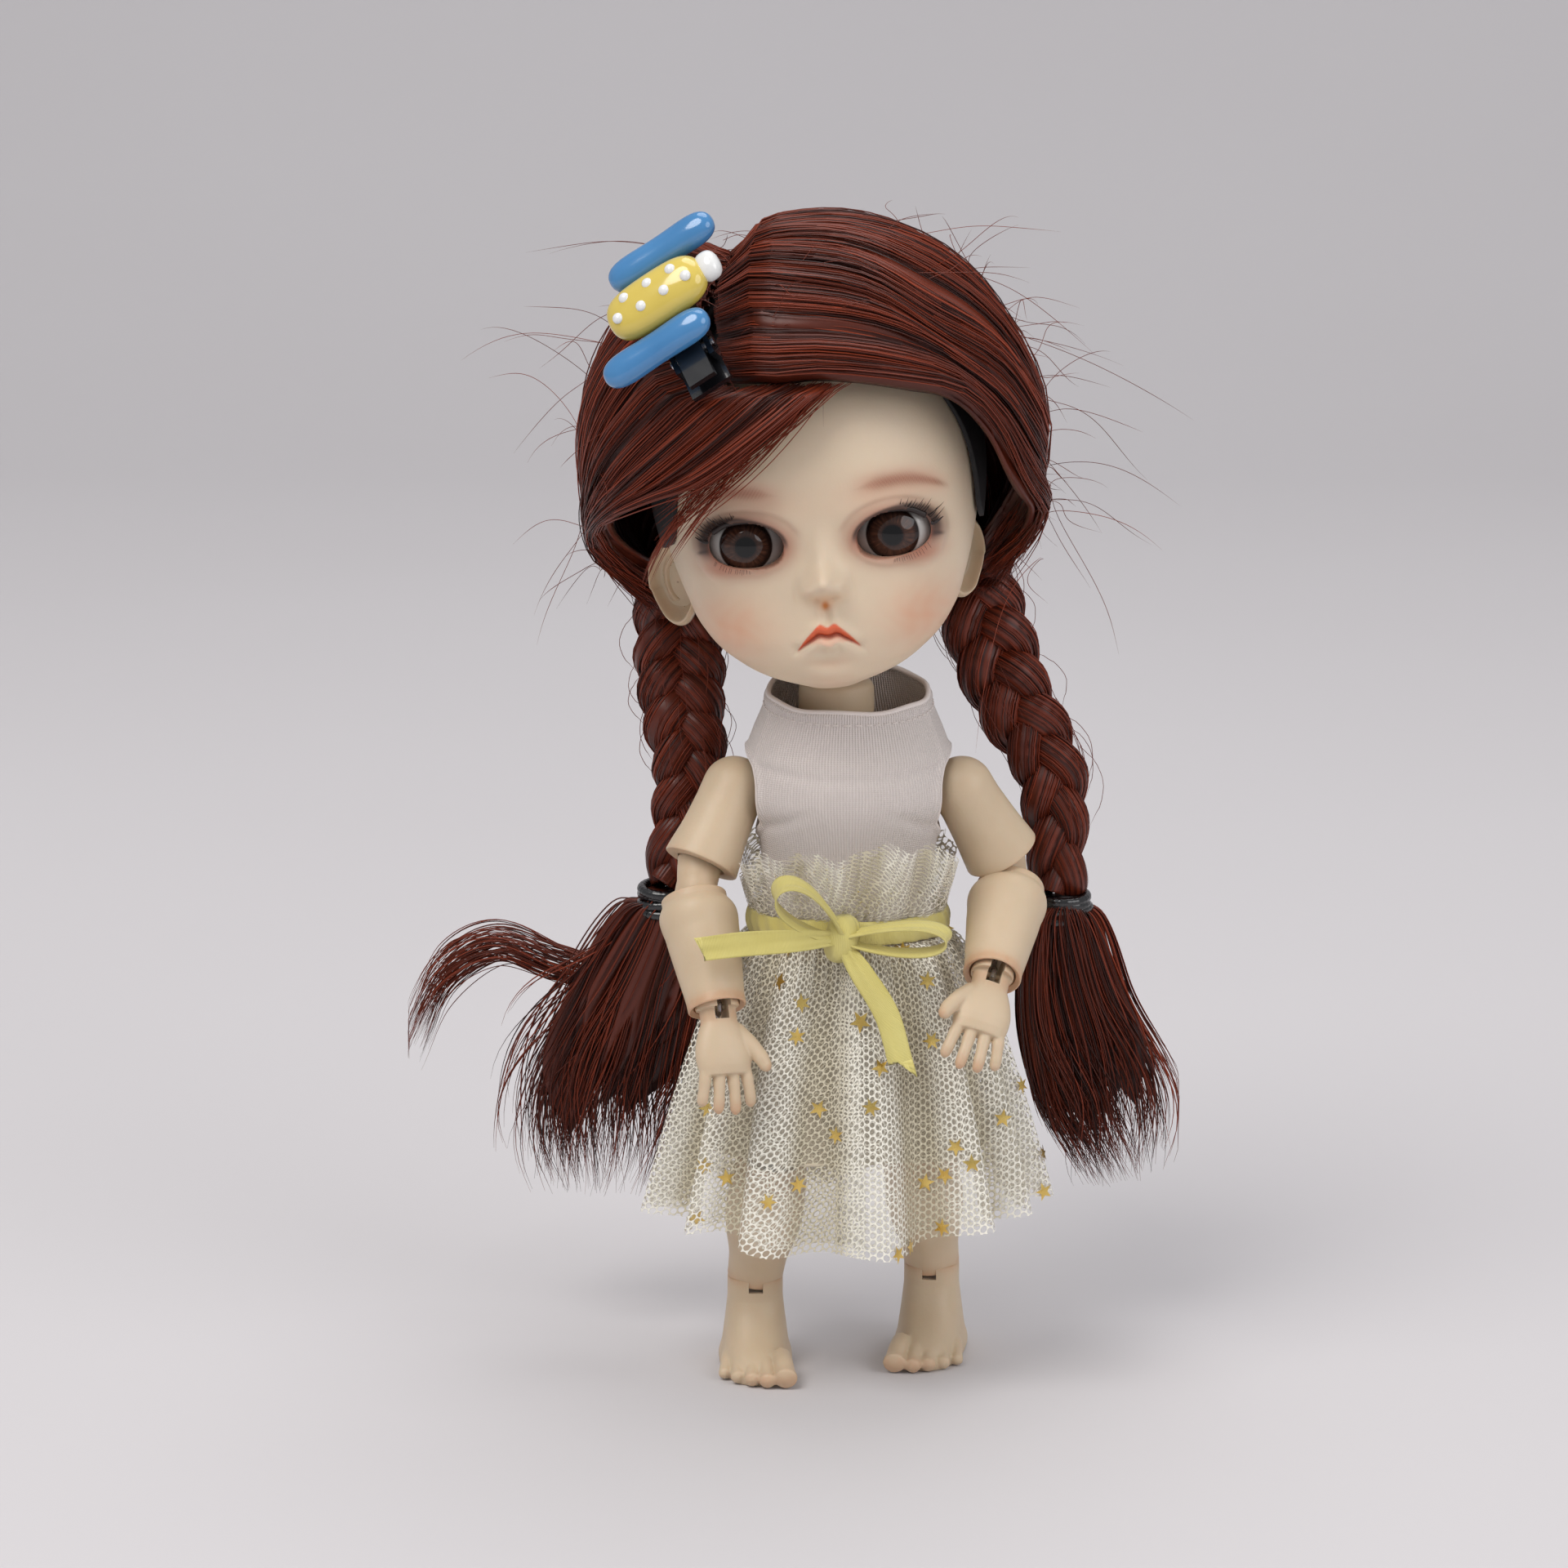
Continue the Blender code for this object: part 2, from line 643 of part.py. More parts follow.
def wig(parent, hair, cloth):
    helmet("wig_cap", parent, CAP_EASE, lambda turn, share: CAP_EASE + CAP_THICKNESS, cloth, 24, 5,
           HAIRLINE_SHARES)
    helmet("wig_hair", parent, hair_inner(), hair_growth, hair, 24, 7, HAIR_SHARES)


def arm(parent, side, word, pose, resin, metal):
    """One arm from shoulder to finger tips, in the pose given as degrees."""
    shoulder = pivot(f"shoulder_{word}_pivot", parent, (side * SHOULDER_X, 0, SHOULDER_RISE),
                     ("X", -pose["swing"]), ("Y", -side * pose["splay"]), ("Z", -side * pose["twist"]))
    rings = dome(SHOULDER_BALL, 15, 96, 5)
    neck = SHOULDER_BALL * 2 / UPPER_ARM_WIDTH
    end = UPPER_ARM_LENGTH - ARM_END_GAP
    shares = ((0.22, neck * 1.0, neck * 1.0, neck * 1.0), (0.42, 0.86, 0.84, 0.84),
              (0.66, 0.91, 0.88, 0.88),
              (0.88, 0.97, 0.95, 0.95), (1.0, 1.0, 0.98, 0.98))
    rings += levels_of(end, UPPER_ARM_WIDTH, UPPER_ARM_WIDTH, shares)
    upper = body(f"upper_arm_{word}", shoulder, *skin(rings), resin)
    drop = (0, 0, -UPPER_ARM_LENGTH)
    cut(upper, ball(f"elbow_cup_{word}", shoulder, drop, ELBOW_BALL + CLEARANCE, 12))
    cut(upper, rod(f"upper_bore_{word}", shoulder, (0, 0, 0), drop, LIMB_BORE * 1.2, 8))
    cut(upper, rod(f"shoulder_bore_{word}", shoulder_inward(shoulder, side, pose, word),
                   (side * LIMB_BORE / 2, 0, 0),
                   (-side * SHOULDER_BALL * 1.5, 0, 0), LIMB_BORE, 8))

    elbow_top = pivot(f"elbow_{word}_pivot", shoulder, drop, ("X", -pose["elbow"]))
    double_joint(f"elbow_{word}", elbow_top, ELBOW_SPAN, ELBOW_BALL, resin)
    fore = pivot(f"forearm_{word}_pivot", elbow_top, (0, 0, -ELBOW_SPAN), ("X", -pose["forearm"]))
    top = ARM_END_GAP / FOREARM_LENGTH
    shares = ((top, 0.90, 0.80, 0.88), (top + 0.06, 1.0, 0.92, 0.98), (0.35, 0.97, 0.95, 0.95),
              (0.62, 0.87, 0.86, 0.86), (0.84, 0.79, 0.78, 0.78), (0.93, 0.75, 0.75, 0.75))
    lower = body(f"forearm_{word}", fore, *skin(levels_of(FOREARM_LENGTH, FOREARM_WIDTH, FOREARM_WIDTH,
                                                          shares)), resin)
    wrist_drop = (0, 0, -FOREARM_LENGTH)
    cut(lower, ball(f"forearm_cup_{word}", fore, (0, 0, 0), ELBOW_BALL + CLEARANCE, 12))
    cut(lower, ball(f"wrist_cup_{word}", fore, wrist_drop, HAND_BALL + CLEARANCE, 12))
    cut(lower, rod(f"forearm_bore_{word}", fore, (0, 0, 0), wrist_drop, LIMB_BORE * 1.3, 8))

    hook_place = pivot(f"hand_hook_{word}_pivot", fore, wrist_drop, ("Z", side * pose["hand_twist"]))
    hook(f"hand_hook_{word}", hook_place, HAND_BALL, metal)
    wrist = pivot(f"hand_{word}_pivot", hook_place, (0, 0, 0), ("X", -pose["hand"]))
    hand(f"hand_{word}", wrist, side, resin)
    return shoulder, elbow_top, fore, hook_place


def shoulder_inward(shoulder, side, pose, word):
    """A frame at the shoulder ball that keeps the torso's own directions."""
    return pivot(f"shoulder_{word}_inward", shoulder, (0, 0, 0),
                 ("Z", side * pose["twist"]), ("Y", side * pose["splay"]), ("X", pose["swing"]))


def double_joint(name, parent, span, radius, resin):
    """The two-ended piece of an elbow or knee, slotted at both ends for the elastic."""
    lower = radius * 0.98
    waist = radius * 0.86
    rings = dome(radius, 16, 72, 3, 10)
    rings.append(oval(waist, waist, waist, -span / 2, 10))
    rings += [[(x, y, -span - z) for x, y, z in ring] for ring in reversed(dome(lower, 16, 72, 3, 10))]
    piece = body(name, parent, *skin(rings), resin)
    half = LIMB_BORE * 0.9
    reach = radius + CUT_OVERRUN
    cut(piece, block(name + "_slot_top", parent, (-half, -reach, 0), (half, reach, reach)))
    cut(piece, block(name + "_slot_low", parent, (-half, -reach, -span - reach), (half, reach, -span)))
    cut(piece, rod(name + "_bore", parent, (0, 0, CUT_OVERRUN), (0, 0, -span - CUT_OVERRUN), half, 8))
    return piece


def hook(name, parent, ball_radius, metal):
    """A wire with an eye round the pin of the hand or foot and an eye above for the elastic."""
    eye_ring = []
    for k in range(8):
        angle = 2 * math.pi * k / 8
        eye_ring.append((0, HOOK_RING * math.sin(angle), HOOK_RING * math.cos(angle)))
    ring = body(name, parent, *tube(eye_ring, [WIRE_RADIUS] * 8, 4, True), metal)
    height = ball_radius + HOOK_RING * 2
    upper = body(name + "_upper", parent, *tube([(x, y, z + height) for x, y, z in eye_ring],
                                                [WIRE_RADIUS] * 8, 4, True), metal)
    stem = rod(name + "_stem", parent, (0, 0, HOOK_RING), (0, 0, height - HOOK_RING), WIRE_RADIUS * 0.9, 5)
    return join(ring, stem, upper)


def pinned_ball_cuts(name, parent, piece, radius):
    """The slot across a hand's or foot's ball, crossed by the pin that the hook goes round."""
    half = SLOT_WIDTH / 2
    reach = radius + CUT_OVERRUN
    depth = HOOK_RING + WIRE_RADIUS + CLEARANCE
    slot = block(name + "_slot", parent, (-half, -reach, -depth), (half, reach, reach))
    pin = rod(name + "_pin", parent, (-radius * 0.8, 0, 0), (radius * 0.8, 0, 0), PIN_RADIUS, 6)
    cut(piece, slot)
    join(piece, pin)
    return piece


def hand(name, parent, side, resin):
    """A ball at the wrist, a palm and five fingers. The thumb points forward and inward."""
    rings = dome(HAND_BALL, 16, 100, 5, 10)
    palm = ((0.30, 0.66, 0.80, 0.80), (0.55, 0.86, 0.90, 0.90), (0.85, 1.0, 0.94, 0.94),
            (1.15, 0.98, 0.84, 0.84), (1.33, 0.90, 0.62, 0.62))
    rings += levels_of(PALM_LENGTH, PALM_WIDTH, PALM_THICKNESS * 1.1, palm, 10, 0.85)
    piece = body(name, parent, *skin(rings), resin)
    base = -PALM_LENGTH * 1.22
    spacing = PALM_WIDTH / 4
    lengths_share = (0.88, 1.05, 1.0, 0.80)
    for k, share in enumerate(lengths_share):
        x = side * (1.5 - k) * -spacing * 0.98
        spread = 0.10 * (1.5 - k) * -side
        length = FINGER_LENGTH * share
        path = [(x, 0, base + FINGER_WIDTH), (x, 0, base - length * 0.3),
                (x + spread * length * 0.7, length * 0.10, base - length * 0.72),
                (x + spread * length, length * 0.22, base - length)]
        finger = body(f"{name}_finger_{k}", parent,
                      *tube(path, [FINGER_WIDTH * w / 2 for w in (1.0, 1.0, 0.92, 0.62)], 5), None)
        join(piece, finger)
    thumb_path = [(-side * PALM_WIDTH * 0.28, 0, -PALM_LENGTH * 0.50),
                  (-side * PALM_WIDTH * 0.52, -PALM_THICKNESS * 0.20, -PALM_LENGTH * 0.80),
                  (-side * (PALM_WIDTH * 0.56 + THUMB_LENGTH * 0.24), -PALM_THICKNESS * 0.34,
                   -PALM_LENGTH * 0.85 - THUMB_LENGTH * 0.35),
                  (-side * (PALM_WIDTH * 0.56 + THUMB_LENGTH * 0.38), -PALM_THICKNESS * 0.40,
                   -PALM_LENGTH * 0.85 - THUMB_LENGTH * 0.66)]
    thumb = body(f"{name}_thumb", parent, *tube(thumb_path, [FINGER_WIDTH * w / 2 for w in (1.5, 1.25, 1.1,
                                                                                            0.7)], 6), None)
    join(piece, thumb)
    return pinned_ball_cuts(name, parent, piece, HAND_BALL)


def bend_for(upper, middle, lower, distance):
    """The bend, in degrees, of each of a double joint's two pivots when its ends lie this far apart."""
    low, high = 0.0, 80.0
    for _ in range(40):
        bend = (low + high) / 2
        turn = math.radians(bend)
        along = upper * math.cos(turn) + middle + lower * math.cos(turn)
        if along > distance:
            low = bend
        else:
            high = bend
    return (low + high) / 2


def leg(parent, side, word, ankle, hip_height, resin, metal):
    """One leg from hip to toes. The ankle's place on the floor sets how it swings and bends."""
    hip_place = Vector((side * HIP_SPREAD / 2, 0, 0))
    target = Vector((ankle["x"], ankle["y"], ANKLE_HEIGHT - hip_height))
    line = target - hip_place
    bend = bend_for(THIGH_LENGTH, KNEE_SPAN, SHIN_LENGTH, line.length)
    uneven = (THIGH_LENGTH - SHIN_LENGTH) * math.sin(math.radians(bend))
    swing = math.degrees(math.asin(-line.y / line.length) - math.atan2(uneven, line.length)) + bend
    splay = math.degrees(math.atan2(line.x, -line.z))
    hip = pivot(f"hip_{word}_pivot", parent, hip_place, ("Y", -splay), ("X", -swing))
    rings = dome(HIP_BALL, 14, 88, 5, 12)
    shares = ((0.30, 0.925, 0.93, 0.95), (0.45, 1.0, 0.99, 1.02), (0.62, 0.98, 0.97, 0.98),
              (0.82, 0.86, 0.86, 0.84), (0.955, 0.80, 0.80, 0.70))
    rings += levels_of(THIGH_LENGTH, THIGH_WIDTH, THIGH_WIDTH, shares, 12)
    thigh = body(f"thigh_{word}", hip, *skin(rings), resin)
    drop = (0, 0, -THIGH_LENGTH)
    cut(thigh, ball(f"knee_cup_{word}", hip, drop, KNEE_BALL + CLEARANCE, 12))
    cut(thigh, rod(f"thigh_bore_{word}", hip, (0, 0, 0), drop, LIMB_BORE * 1.4, 8))
    cut(thigh, rod(f"thigh_mouth_{word}", hip, (0, 0, 0), (0, 0, HIP_BALL * 1.1), LIMB_BORE * 1.2, 10,
                   None, HIP_BALL * 0.55))

    knee_top = pivot(f"knee_{word}_pivot", hip, drop, ("X", bend))
    double_joint(f"knee_{word}", knee_top, KNEE_SPAN, KNEE_BALL, resin)
    shin_top = pivot(f"shin_{word}_pivot", knee_top, (0, 0, -KNEE_SPAN), ("X", bend))
    top = ARM_END_GAP / SHIN_LENGTH
    wide = KNEE_WIDTH / CALF_WIDTH
    thin = ANKLE_WIDTH / CALF_WIDTH
    ankle_rim = 1 - FOOT_BALL * 0.22 / SHIN_LENGTH
    shares = ((top, wide * 0.94, wide * 0.94, wide * 0.70), (top + 0.06, wide, wide, wide * 0.94),
              (0.28, 0.98, 0.96, 1.02),
              (0.48, 1.0, 0.96, 1.06), (0.66, 0.90, 0.88, 0.94),
              (0.82, thin * 1.06, thin * 1.06, thin * 1.08), (ankle_rim, thin, thin, thin))
    shin = body(f"shin_{word}", shin_top, *skin(levels_of(SHIN_LENGTH, CALF_WIDTH, CALF_WIDTH, shares,
                                                          12)), resin)
    ankle_drop = (0, 0, -SHIN_LENGTH)
    cut(shin, ball(f"shin_cup_{word}", shin_top, (0, 0, 0), KNEE_BALL + CLEARANCE, 12))
    cut(shin, ball(f"ankle_cup_{word}", shin_top, ankle_drop, FOOT_BALL + CLEARANCE, 12))
    cut(shin, rod(f"shin_bore_{word}", shin_top, (0, 0, 0), ankle_drop, LIMB_BORE * 1.3, 8))

    hook_place = pivot(f"foot_hook_{word}_pivot", shin_top, ankle_drop, ("Z", 0))
    hook(f"foot_hook_{word}", hook_place, FOOT_BALL, metal)
    foot_place = pivot(f"foot_{word}_pivot", parent, target, ("Z", ankle["toe_in"] * -side))
    foot(f"foot_{word}", foot_place, side, resin)
    return hip, knee_top, shin_top, hook_place, foot_place


def foot(name, parent, side, resin):
    """A bare foot from the ball of the ankle down to a flat sole, with five toes."""
    count = 12
    heel, toe = FOOT_HEEL, FOOT_LENGTH - FOOT_HEEL
    rings = dome(FOOT_BALL, 16, 90, 4, count)
    thin = ANKLE_WIDTH / 2
    level_shares = ((0.24, 1.0, 1.02, 0.98), (0.42, 1.06, 1.35, 1.10), (0.62, 1.14, 2.05, 1.35),
                    (0.80, 1.22, 2.95, 1.50))
    for along, wide, front, back in level_shares:
        rings.append(oval(thin * wide, thin * front, thin * back, -ANKLE_HEIGHT * along, count))
    for along in (0.90, 1.06):
        rings.append(oval(FOOT_WIDTH / 2 * 0.97, toe * 0.82, heel, -ANKLE_HEIGHT * along, count, 0.72))
    piece = body(name, parent, *skin(rings), resin)
    toe_size_share = (1.45, 1.05, 1.0, 0.92, 0.82)
    x = -side * FOOT_WIDTH / 2
    for k, share in enumerate(toe_size_share):
        width = FOOT_WIDTH * share / sum(toe_size_share)
        centre_x = x + side * width / 2
        x += side * width
        back = toe * (0.02 + 0.018 * k * k)
        centre = (centre_x, -toe + width * 0.75 + back, -ANKLE_HEIGHT + width * 0.52)
        join(piece, ball(f"{name}_toe_{k}", parent, centre, width * 0.56, 8, (1, 1.5, 1.05)))
    floor = -ANKLE_HEIGHT
    reach = FOOT_LENGTH
    pinned_ball_cuts(name, parent, piece, FOOT_BALL)
    return cut(piece, block(name + "_ground", parent, (-reach, -reach, floor - reach), (reach, reach,
                                                                                        floor)))


TORSO_SHARES = (
    (0.0, 0.66, 0.50, 0.60), (0.05, 0.86, 0.76, 0.86), (0.12, 0.97, 0.96, 1.0), (0.20, 0.94, 0.97, 1.0),
    (0.31, 0.82, 0.88, 0.88), (0.48, 0.80, 0.88, 0.84), (0.64, 0.86, 0.97, 0.92), (0.78, 0.93, 0.97, 0.96),
    (0.88, 0.87, 0.85, 0.86), (0.95, 0.66, 0.72, 0.74),
)


# The neck's top, in shares of its radius: how wide, and how far above the pivot.
NECK_TOP_SHARES = ((0.94, -0.20), (0.93, 0.28), (0.86, 0.40), (0.69, 0.50), (0.52, 0.55))


def torso(parent, neck_place, resin):
    """A hollow one-piece torso with cups for the arms and legs and a shallow dome on its neck."""
    count = 18
    rings = []
    for along, wide, front, back in TORSO_SHARES:
        z = TORSO_BASE + (TORSO_HEIGHT - TORSO_BASE) * along
        rings.append(oval(TORSO_WIDTH / 2 * wide, TORSO_DEPTH / 2 * front, TORSO_DEPTH / 2 * back, z,
                          count, 0.9))
    nx, ny, nz = neck_place
    base = nz - NECK_BASE_DROP
    rings.append(oval(NECK_RADIUS * 1.12, NECK_RADIUS * 1.10, NECK_RADIUS * 1.10, base, count, 1.0, nx, ny))
    rings.append(oval(NECK_RADIUS * 0.94, NECK_RADIUS * 0.94, NECK_RADIUS * 0.94,
                      base + NECK_BASE_DROP * 0.35, count, 1.0, nx, ny))
    for wide, rise in NECK_TOP_SHARES:
        r = NECK_RADIUS * wide
        rings.append(oval(r, r, r, nz + NECK_RADIUS * rise, count, 1.0, nx, ny))
    piece = body("torso", parent, *skin(rings), resin)
    half = CROTCH_WIDTH / 2
    keel = block("crotch", parent, (-half, -CROTCH_DEPTH / 2, -CROTCH_DROP),
                 (half, CROTCH_DEPTH / 2, BORE_FLOOR / 2))
    join(piece, keel)
    cut(piece, rod("torso_bore", parent, (nx, ny, nz + NECK_RADIUS * 2), (0, 0, BORE_FLOOR), TORSO_BORE,
                   10))
    for side, word in ((-1, "right"), (1, "left")):
        shoulder = (side * SHOULDER_X, 0, SHOULDER_RISE)
        hip = (side * HIP_SPREAD / 2, 0, 0)
        cut(piece, ball(f"shoulder_cup_{word}", parent, shoulder, SHOULDER_BALL + CLEARANCE, 12))
        cut(piece, rod(f"chest_bore_{word}", parent, (0, 0, SHOULDER_RISE), shoulder, SIDE_BORE, 10))
        cut(piece, ball(f"hip_cup_{word}", parent, hip, HIP_BALL + CLEARANCE, 14))
        lean = math.radians(HIP_FORWARD)
        room = Vector((0, -math.sin(lean), -math.cos(lean))) * THIGH_LENGTH + Vector(hip)
        cut(piece, rod(f"hip_room_{word}", parent, hip, room, THIGH_WIDTH / 2 + CLEARANCE * 2, 12))
        cut(piece, rod(f"hip_bore_{word}", parent, (0, 0, BORE_FLOOR + TORSO_BORE), (side * HIP_SPREAD / 2,
                                                                                     0, HIP_BALL / 2),
                       SIDE_BORE, 10))
    return piece


def neck_hook(parent, metal):
    """The wire hook that bears on the boss in the head and holds the elastics in the neck."""
    radius = NECK_WIRE_RADIUS
    bar_z = NECK_RADIUS + CLEARANCE * 2 + CUP_FLOOR + radius
    half = NECK_BAR_LENGTH / 2
    bar = rod("neck_hook", parent, (-half, 0, bar_z), (half, 0, bar_z), radius, 8, metal)
    stem = rod("neck_hook_stem", parent, (0, 0, bar_z), (0, 0, -NECK_RADIUS * 0.25), radius * 0.86, 6)
    ring = []
    eye_radius = HOOK_RING * 1.4
    for k in range(9):
        angle = 2 * math.pi * k / 9
        ring.append((0, eye_radius * math.sin(angle),
                     -NECK_RADIUS * 0.2 - eye_radius + eye_radius * math.cos(angle)))
    eye_ring = body("neck_hook_eye", parent, *tube(ring, [radius] * 9, 6, True), None)
    return join(bar, stem, eye_ring)


def local_of(parent, empty, point=(0, 0, 0)):
    """A point of an empty's frame, in the frame of another empty."""
    return parent.matrix_world.inverted() @ empty.matrix_world @ Vector(point)


def cord_through(name, parent, points, radius, material):
    """A tube along a line with close points, so that it bends where its route bends."""
    path = []
    for a, b in zip(points, points[1:], strict=False):
        a, b = Vector(a), Vector(b)
        path += [a.lerp(b, t) for t in (0.15, 0.5, 0.85)]
    return body(name, parent, *tube(path, [radius] * len(path), 5), material)


def stringing(torso_pivot, arms, legs, neck_place, elastic):
    """One elastic through both arms, and one through each leg up to the neck hook."""
    bpy.context.view_layer.update()
    half_lines = []
    for shoulder, elbow_top, fore, hook_place in arms:
        top = HAND_BALL + HOOK_RING * 3 + WIRE_RADIUS + CLEARANCE + ELASTIC_RADIUS
        half_lines.append([local_of(torso_pivot, hook_place, (0, 0, top)), local_of(torso_pivot, fore),
                           local_of(torso_pivot, elbow_top), local_of(torso_pivot, shoulder)])
    right, left = half_lines
    middle = Vector((0, 0, SHOULDER_RISE))
    cord_through("arm_elastic", torso_pivot, right + [middle] + left[::-1], ELASTIC_RADIUS, elastic)
    for word, (hip, knee_top, shin_top, hook_place, _), side in zip(("right", "left"), legs, (-1, 1),
                                                                    strict=True):
        top = FOOT_BALL + HOOK_RING * 3 + WIRE_RADIUS + CLEARANCE + ELASTIC_RADIUS
        eye_drop = NECK_RADIUS * 0.2 + HOOK_RING * 2.8 + NECK_WIRE_RADIUS + CLEARANCE + ELASTIC_RADIUS
        nx, ny, nz = neck_place
        apart = side * (ELASTIC_RADIUS + CLEARANCE)
        behind = ELASTIC_RADIUS * 2 + CLEARANCE * 2
        hip_bore = (Vector((side * HIP_SPREAD / 2, 0, HIP_BALL / 2)),
                    Vector((0, 0, BORE_FLOOR + TORSO_BORE)))
        line = [local_of(torso_pivot, hook_place, (0, 0, top)), local_of(torso_pivot, shin_top),
                local_of(torso_pivot, knee_top),
                local_of(torso_pivot, hip), hip_bore[0].lerp(hip_bore[1], 0.25),
                hip_bore[0].lerp(hip_bore[1], 0.75),
                Vector((apart * 1.5, behind, BORE_FLOOR + TORSO_BORE * 3)),
                Vector((nx + apart, ny, nz - eye_drop))]
        cord_through(f"leg_elastic_{word}", torso_pivot, line, ELASTIC_RADIUS, elastic)


def sleeve(name, parent, levels, thickness, material, count=18, power=0.9):
    """A cloth tube through (z, half width, front, back) levels, open at both ends."""
    outside = [oval(w, f, b, z, count, power) for z, w, f, b in levels]
    inside = [oval(w - thickness, f - thickness, b - thickness, z, count, power) for z, w, f,
              b in reversed(levels)]
    return body(name, parent, *skin(outside + inside, True), material)


def bodice(parent, neck_place, cloth):
    """The sleeveless knit top, from the waist seam up to the round neck."""
    ease = BODICE_EASE + CLOTH
    levels = []
    for along, wide, front, back in TORSO_SHARES:
        z = TORSO_BASE + (TORSO_HEIGHT - TORSO_BASE) * along
        if z < BODICE_BOTTOM:
            continue
        puff = 1.10 if 0.7 < along < 0.9 else 1.0
        levels.append((z, TORSO_WIDTH / 2 * wide * puff + ease, TORSO_DEPTH / 2 * front * puff + ease,
                       TORSO_DEPTH / 2 * back * puff + ease))
    neck_ease = NECK_RADIUS + ease * 2.3
    levels.append((BODICE_TOP, neck_ease * 1.05 + abs(neck_place[0]), neck_ease, neck_ease + neck_place[1]))
    piece = sleeve("bodice", parent, levels, CLOTH, cloth)
    for side, word in ((-1, "right"), (1, "left")):
        start = (side * TORSO_WIDTH * 0.36, 0, SHOULDER_RISE)
        end = (side * TORSO_WIDTH, 0, SHOULDER_RISE)
        cut(piece, rod(f"armhole_{word}", parent, start, end, ARMHOLE, 14))
    return piece


def pleated(name, parent, top_z, length, top, hem, fold, folds, material, count, levels, spread_power,
            side_share=1.0):
    """A hanging or standing cloth ring whose folds grow from its gathered edge."""
    def edge(share, thickness):
        ring = []
        grow = share**spread_power
        for i in range(count):
            turn = 2 * math.pi * i / count
            wave = math.cos(folds * turn + 1.3 * math.sin(2 * turn)) + 0.35 * math.cos((folds - 4) * turn + 1.0)
            out = fold * (0.18 + 0.82 * share) * wave
            c, s = math.cos(turn), math.sin(turn)
            sideways = side_share + (1 - side_share) * abs(s) ** 0.9
            w = top[0] / 2 + (hem[0] - top[0]) / 2 * grow * sideways + out * max(sideways, 0.3)
            d = top[1] / 2 + (hem[1] - top[1]) / 2 * grow + out
            z = top_z - length * share * (0.4 + 0.6 * sideways)
            w, d = w - thickness, d - thickness
            ring.append((w * math.copysign(abs(c) ** 0.9, c), d * math.copysign(abs(s) ** 0.9, s), z))
        return ring

    shares = [k / levels for k in range(levels + 1)]
    outside = [edge(s, 0.0) for s in shares]
    inside = [edge(s, CLOTH) for s in reversed(shares)]
    return body(name, parent, *skin(outside + inside, True), material)


def clothes(parent, neck_place, paint):
    bodice(parent, neck_place, paint["knit"])
    waist = (WAIST_WIDTH, WAIST_DEPTH)
    pleated("skirt", parent, WAIST_RISE - RIBBON_WIDTH / 2 - CLEARANCE, SKIRT_LENGTH - RIBBON_WIDTH / 2,
            waist, (HEM_WIDTH, HEM_DEPTH),
            SKIRT_FOLD, SKIRT_FOLDS, paint["tulle"], 60, 3, 0.6)
    flare = (WAIST_WIDTH + RUFFLE_FLARE * 2, WAIST_DEPTH + RUFFLE_FLARE * 2)
    pleated("ruffle", parent, WAIST_RISE + RIBBON_WIDTH / 2 + CLEARANCE, -RUFFLE_HEIGHT, waist, flare,
            RUFFLE_FOLD, RUFFLE_FOLDS, paint["tulle"], 48, 2, 0.8, 0.0)
    inner = (TORSO_WIDTH + CLOTH * 2, TORSO_DEPTH + CLOTH * 2 + CLEARANCE)
    pleated("lining", parent, LINING_TOP, LINING_LENGTH, inner, (LINING_WIDTH, LINING_DEPTH),
            CLOTH / 2, 5, paint["lining"], 24, 2, 0.8)
    ribbon(parent, paint["satin"])


def strip(path, width_direction, width, thickness, closed_path=False):
    """A flat ribbon along a path, with its width close to the given direction."""
    rings = []
    count = len(path)
    for k in range(count):
        if closed_path:
            ahead, behind = Vector(path[(k + 1) % count]), Vector(path[k - 1])
        else:
            ahead, behind = Vector(path[min(k + 1, count - 1)]), Vector(path[max(k - 1, 0)])
        tangent = (ahead - behind).normalized()
        across = Vector(width_direction)
        across = (across - tangent * across.dot(tangent)).normalized()
        normal = tangent.cross(across)
        p = Vector(path[k])
        a, n = across * width / 2, normal * thickness / 2
        rings.append([p + a + n, p - a + n, p - a - n, p + a - n])
    return skin(rings, closed_path)


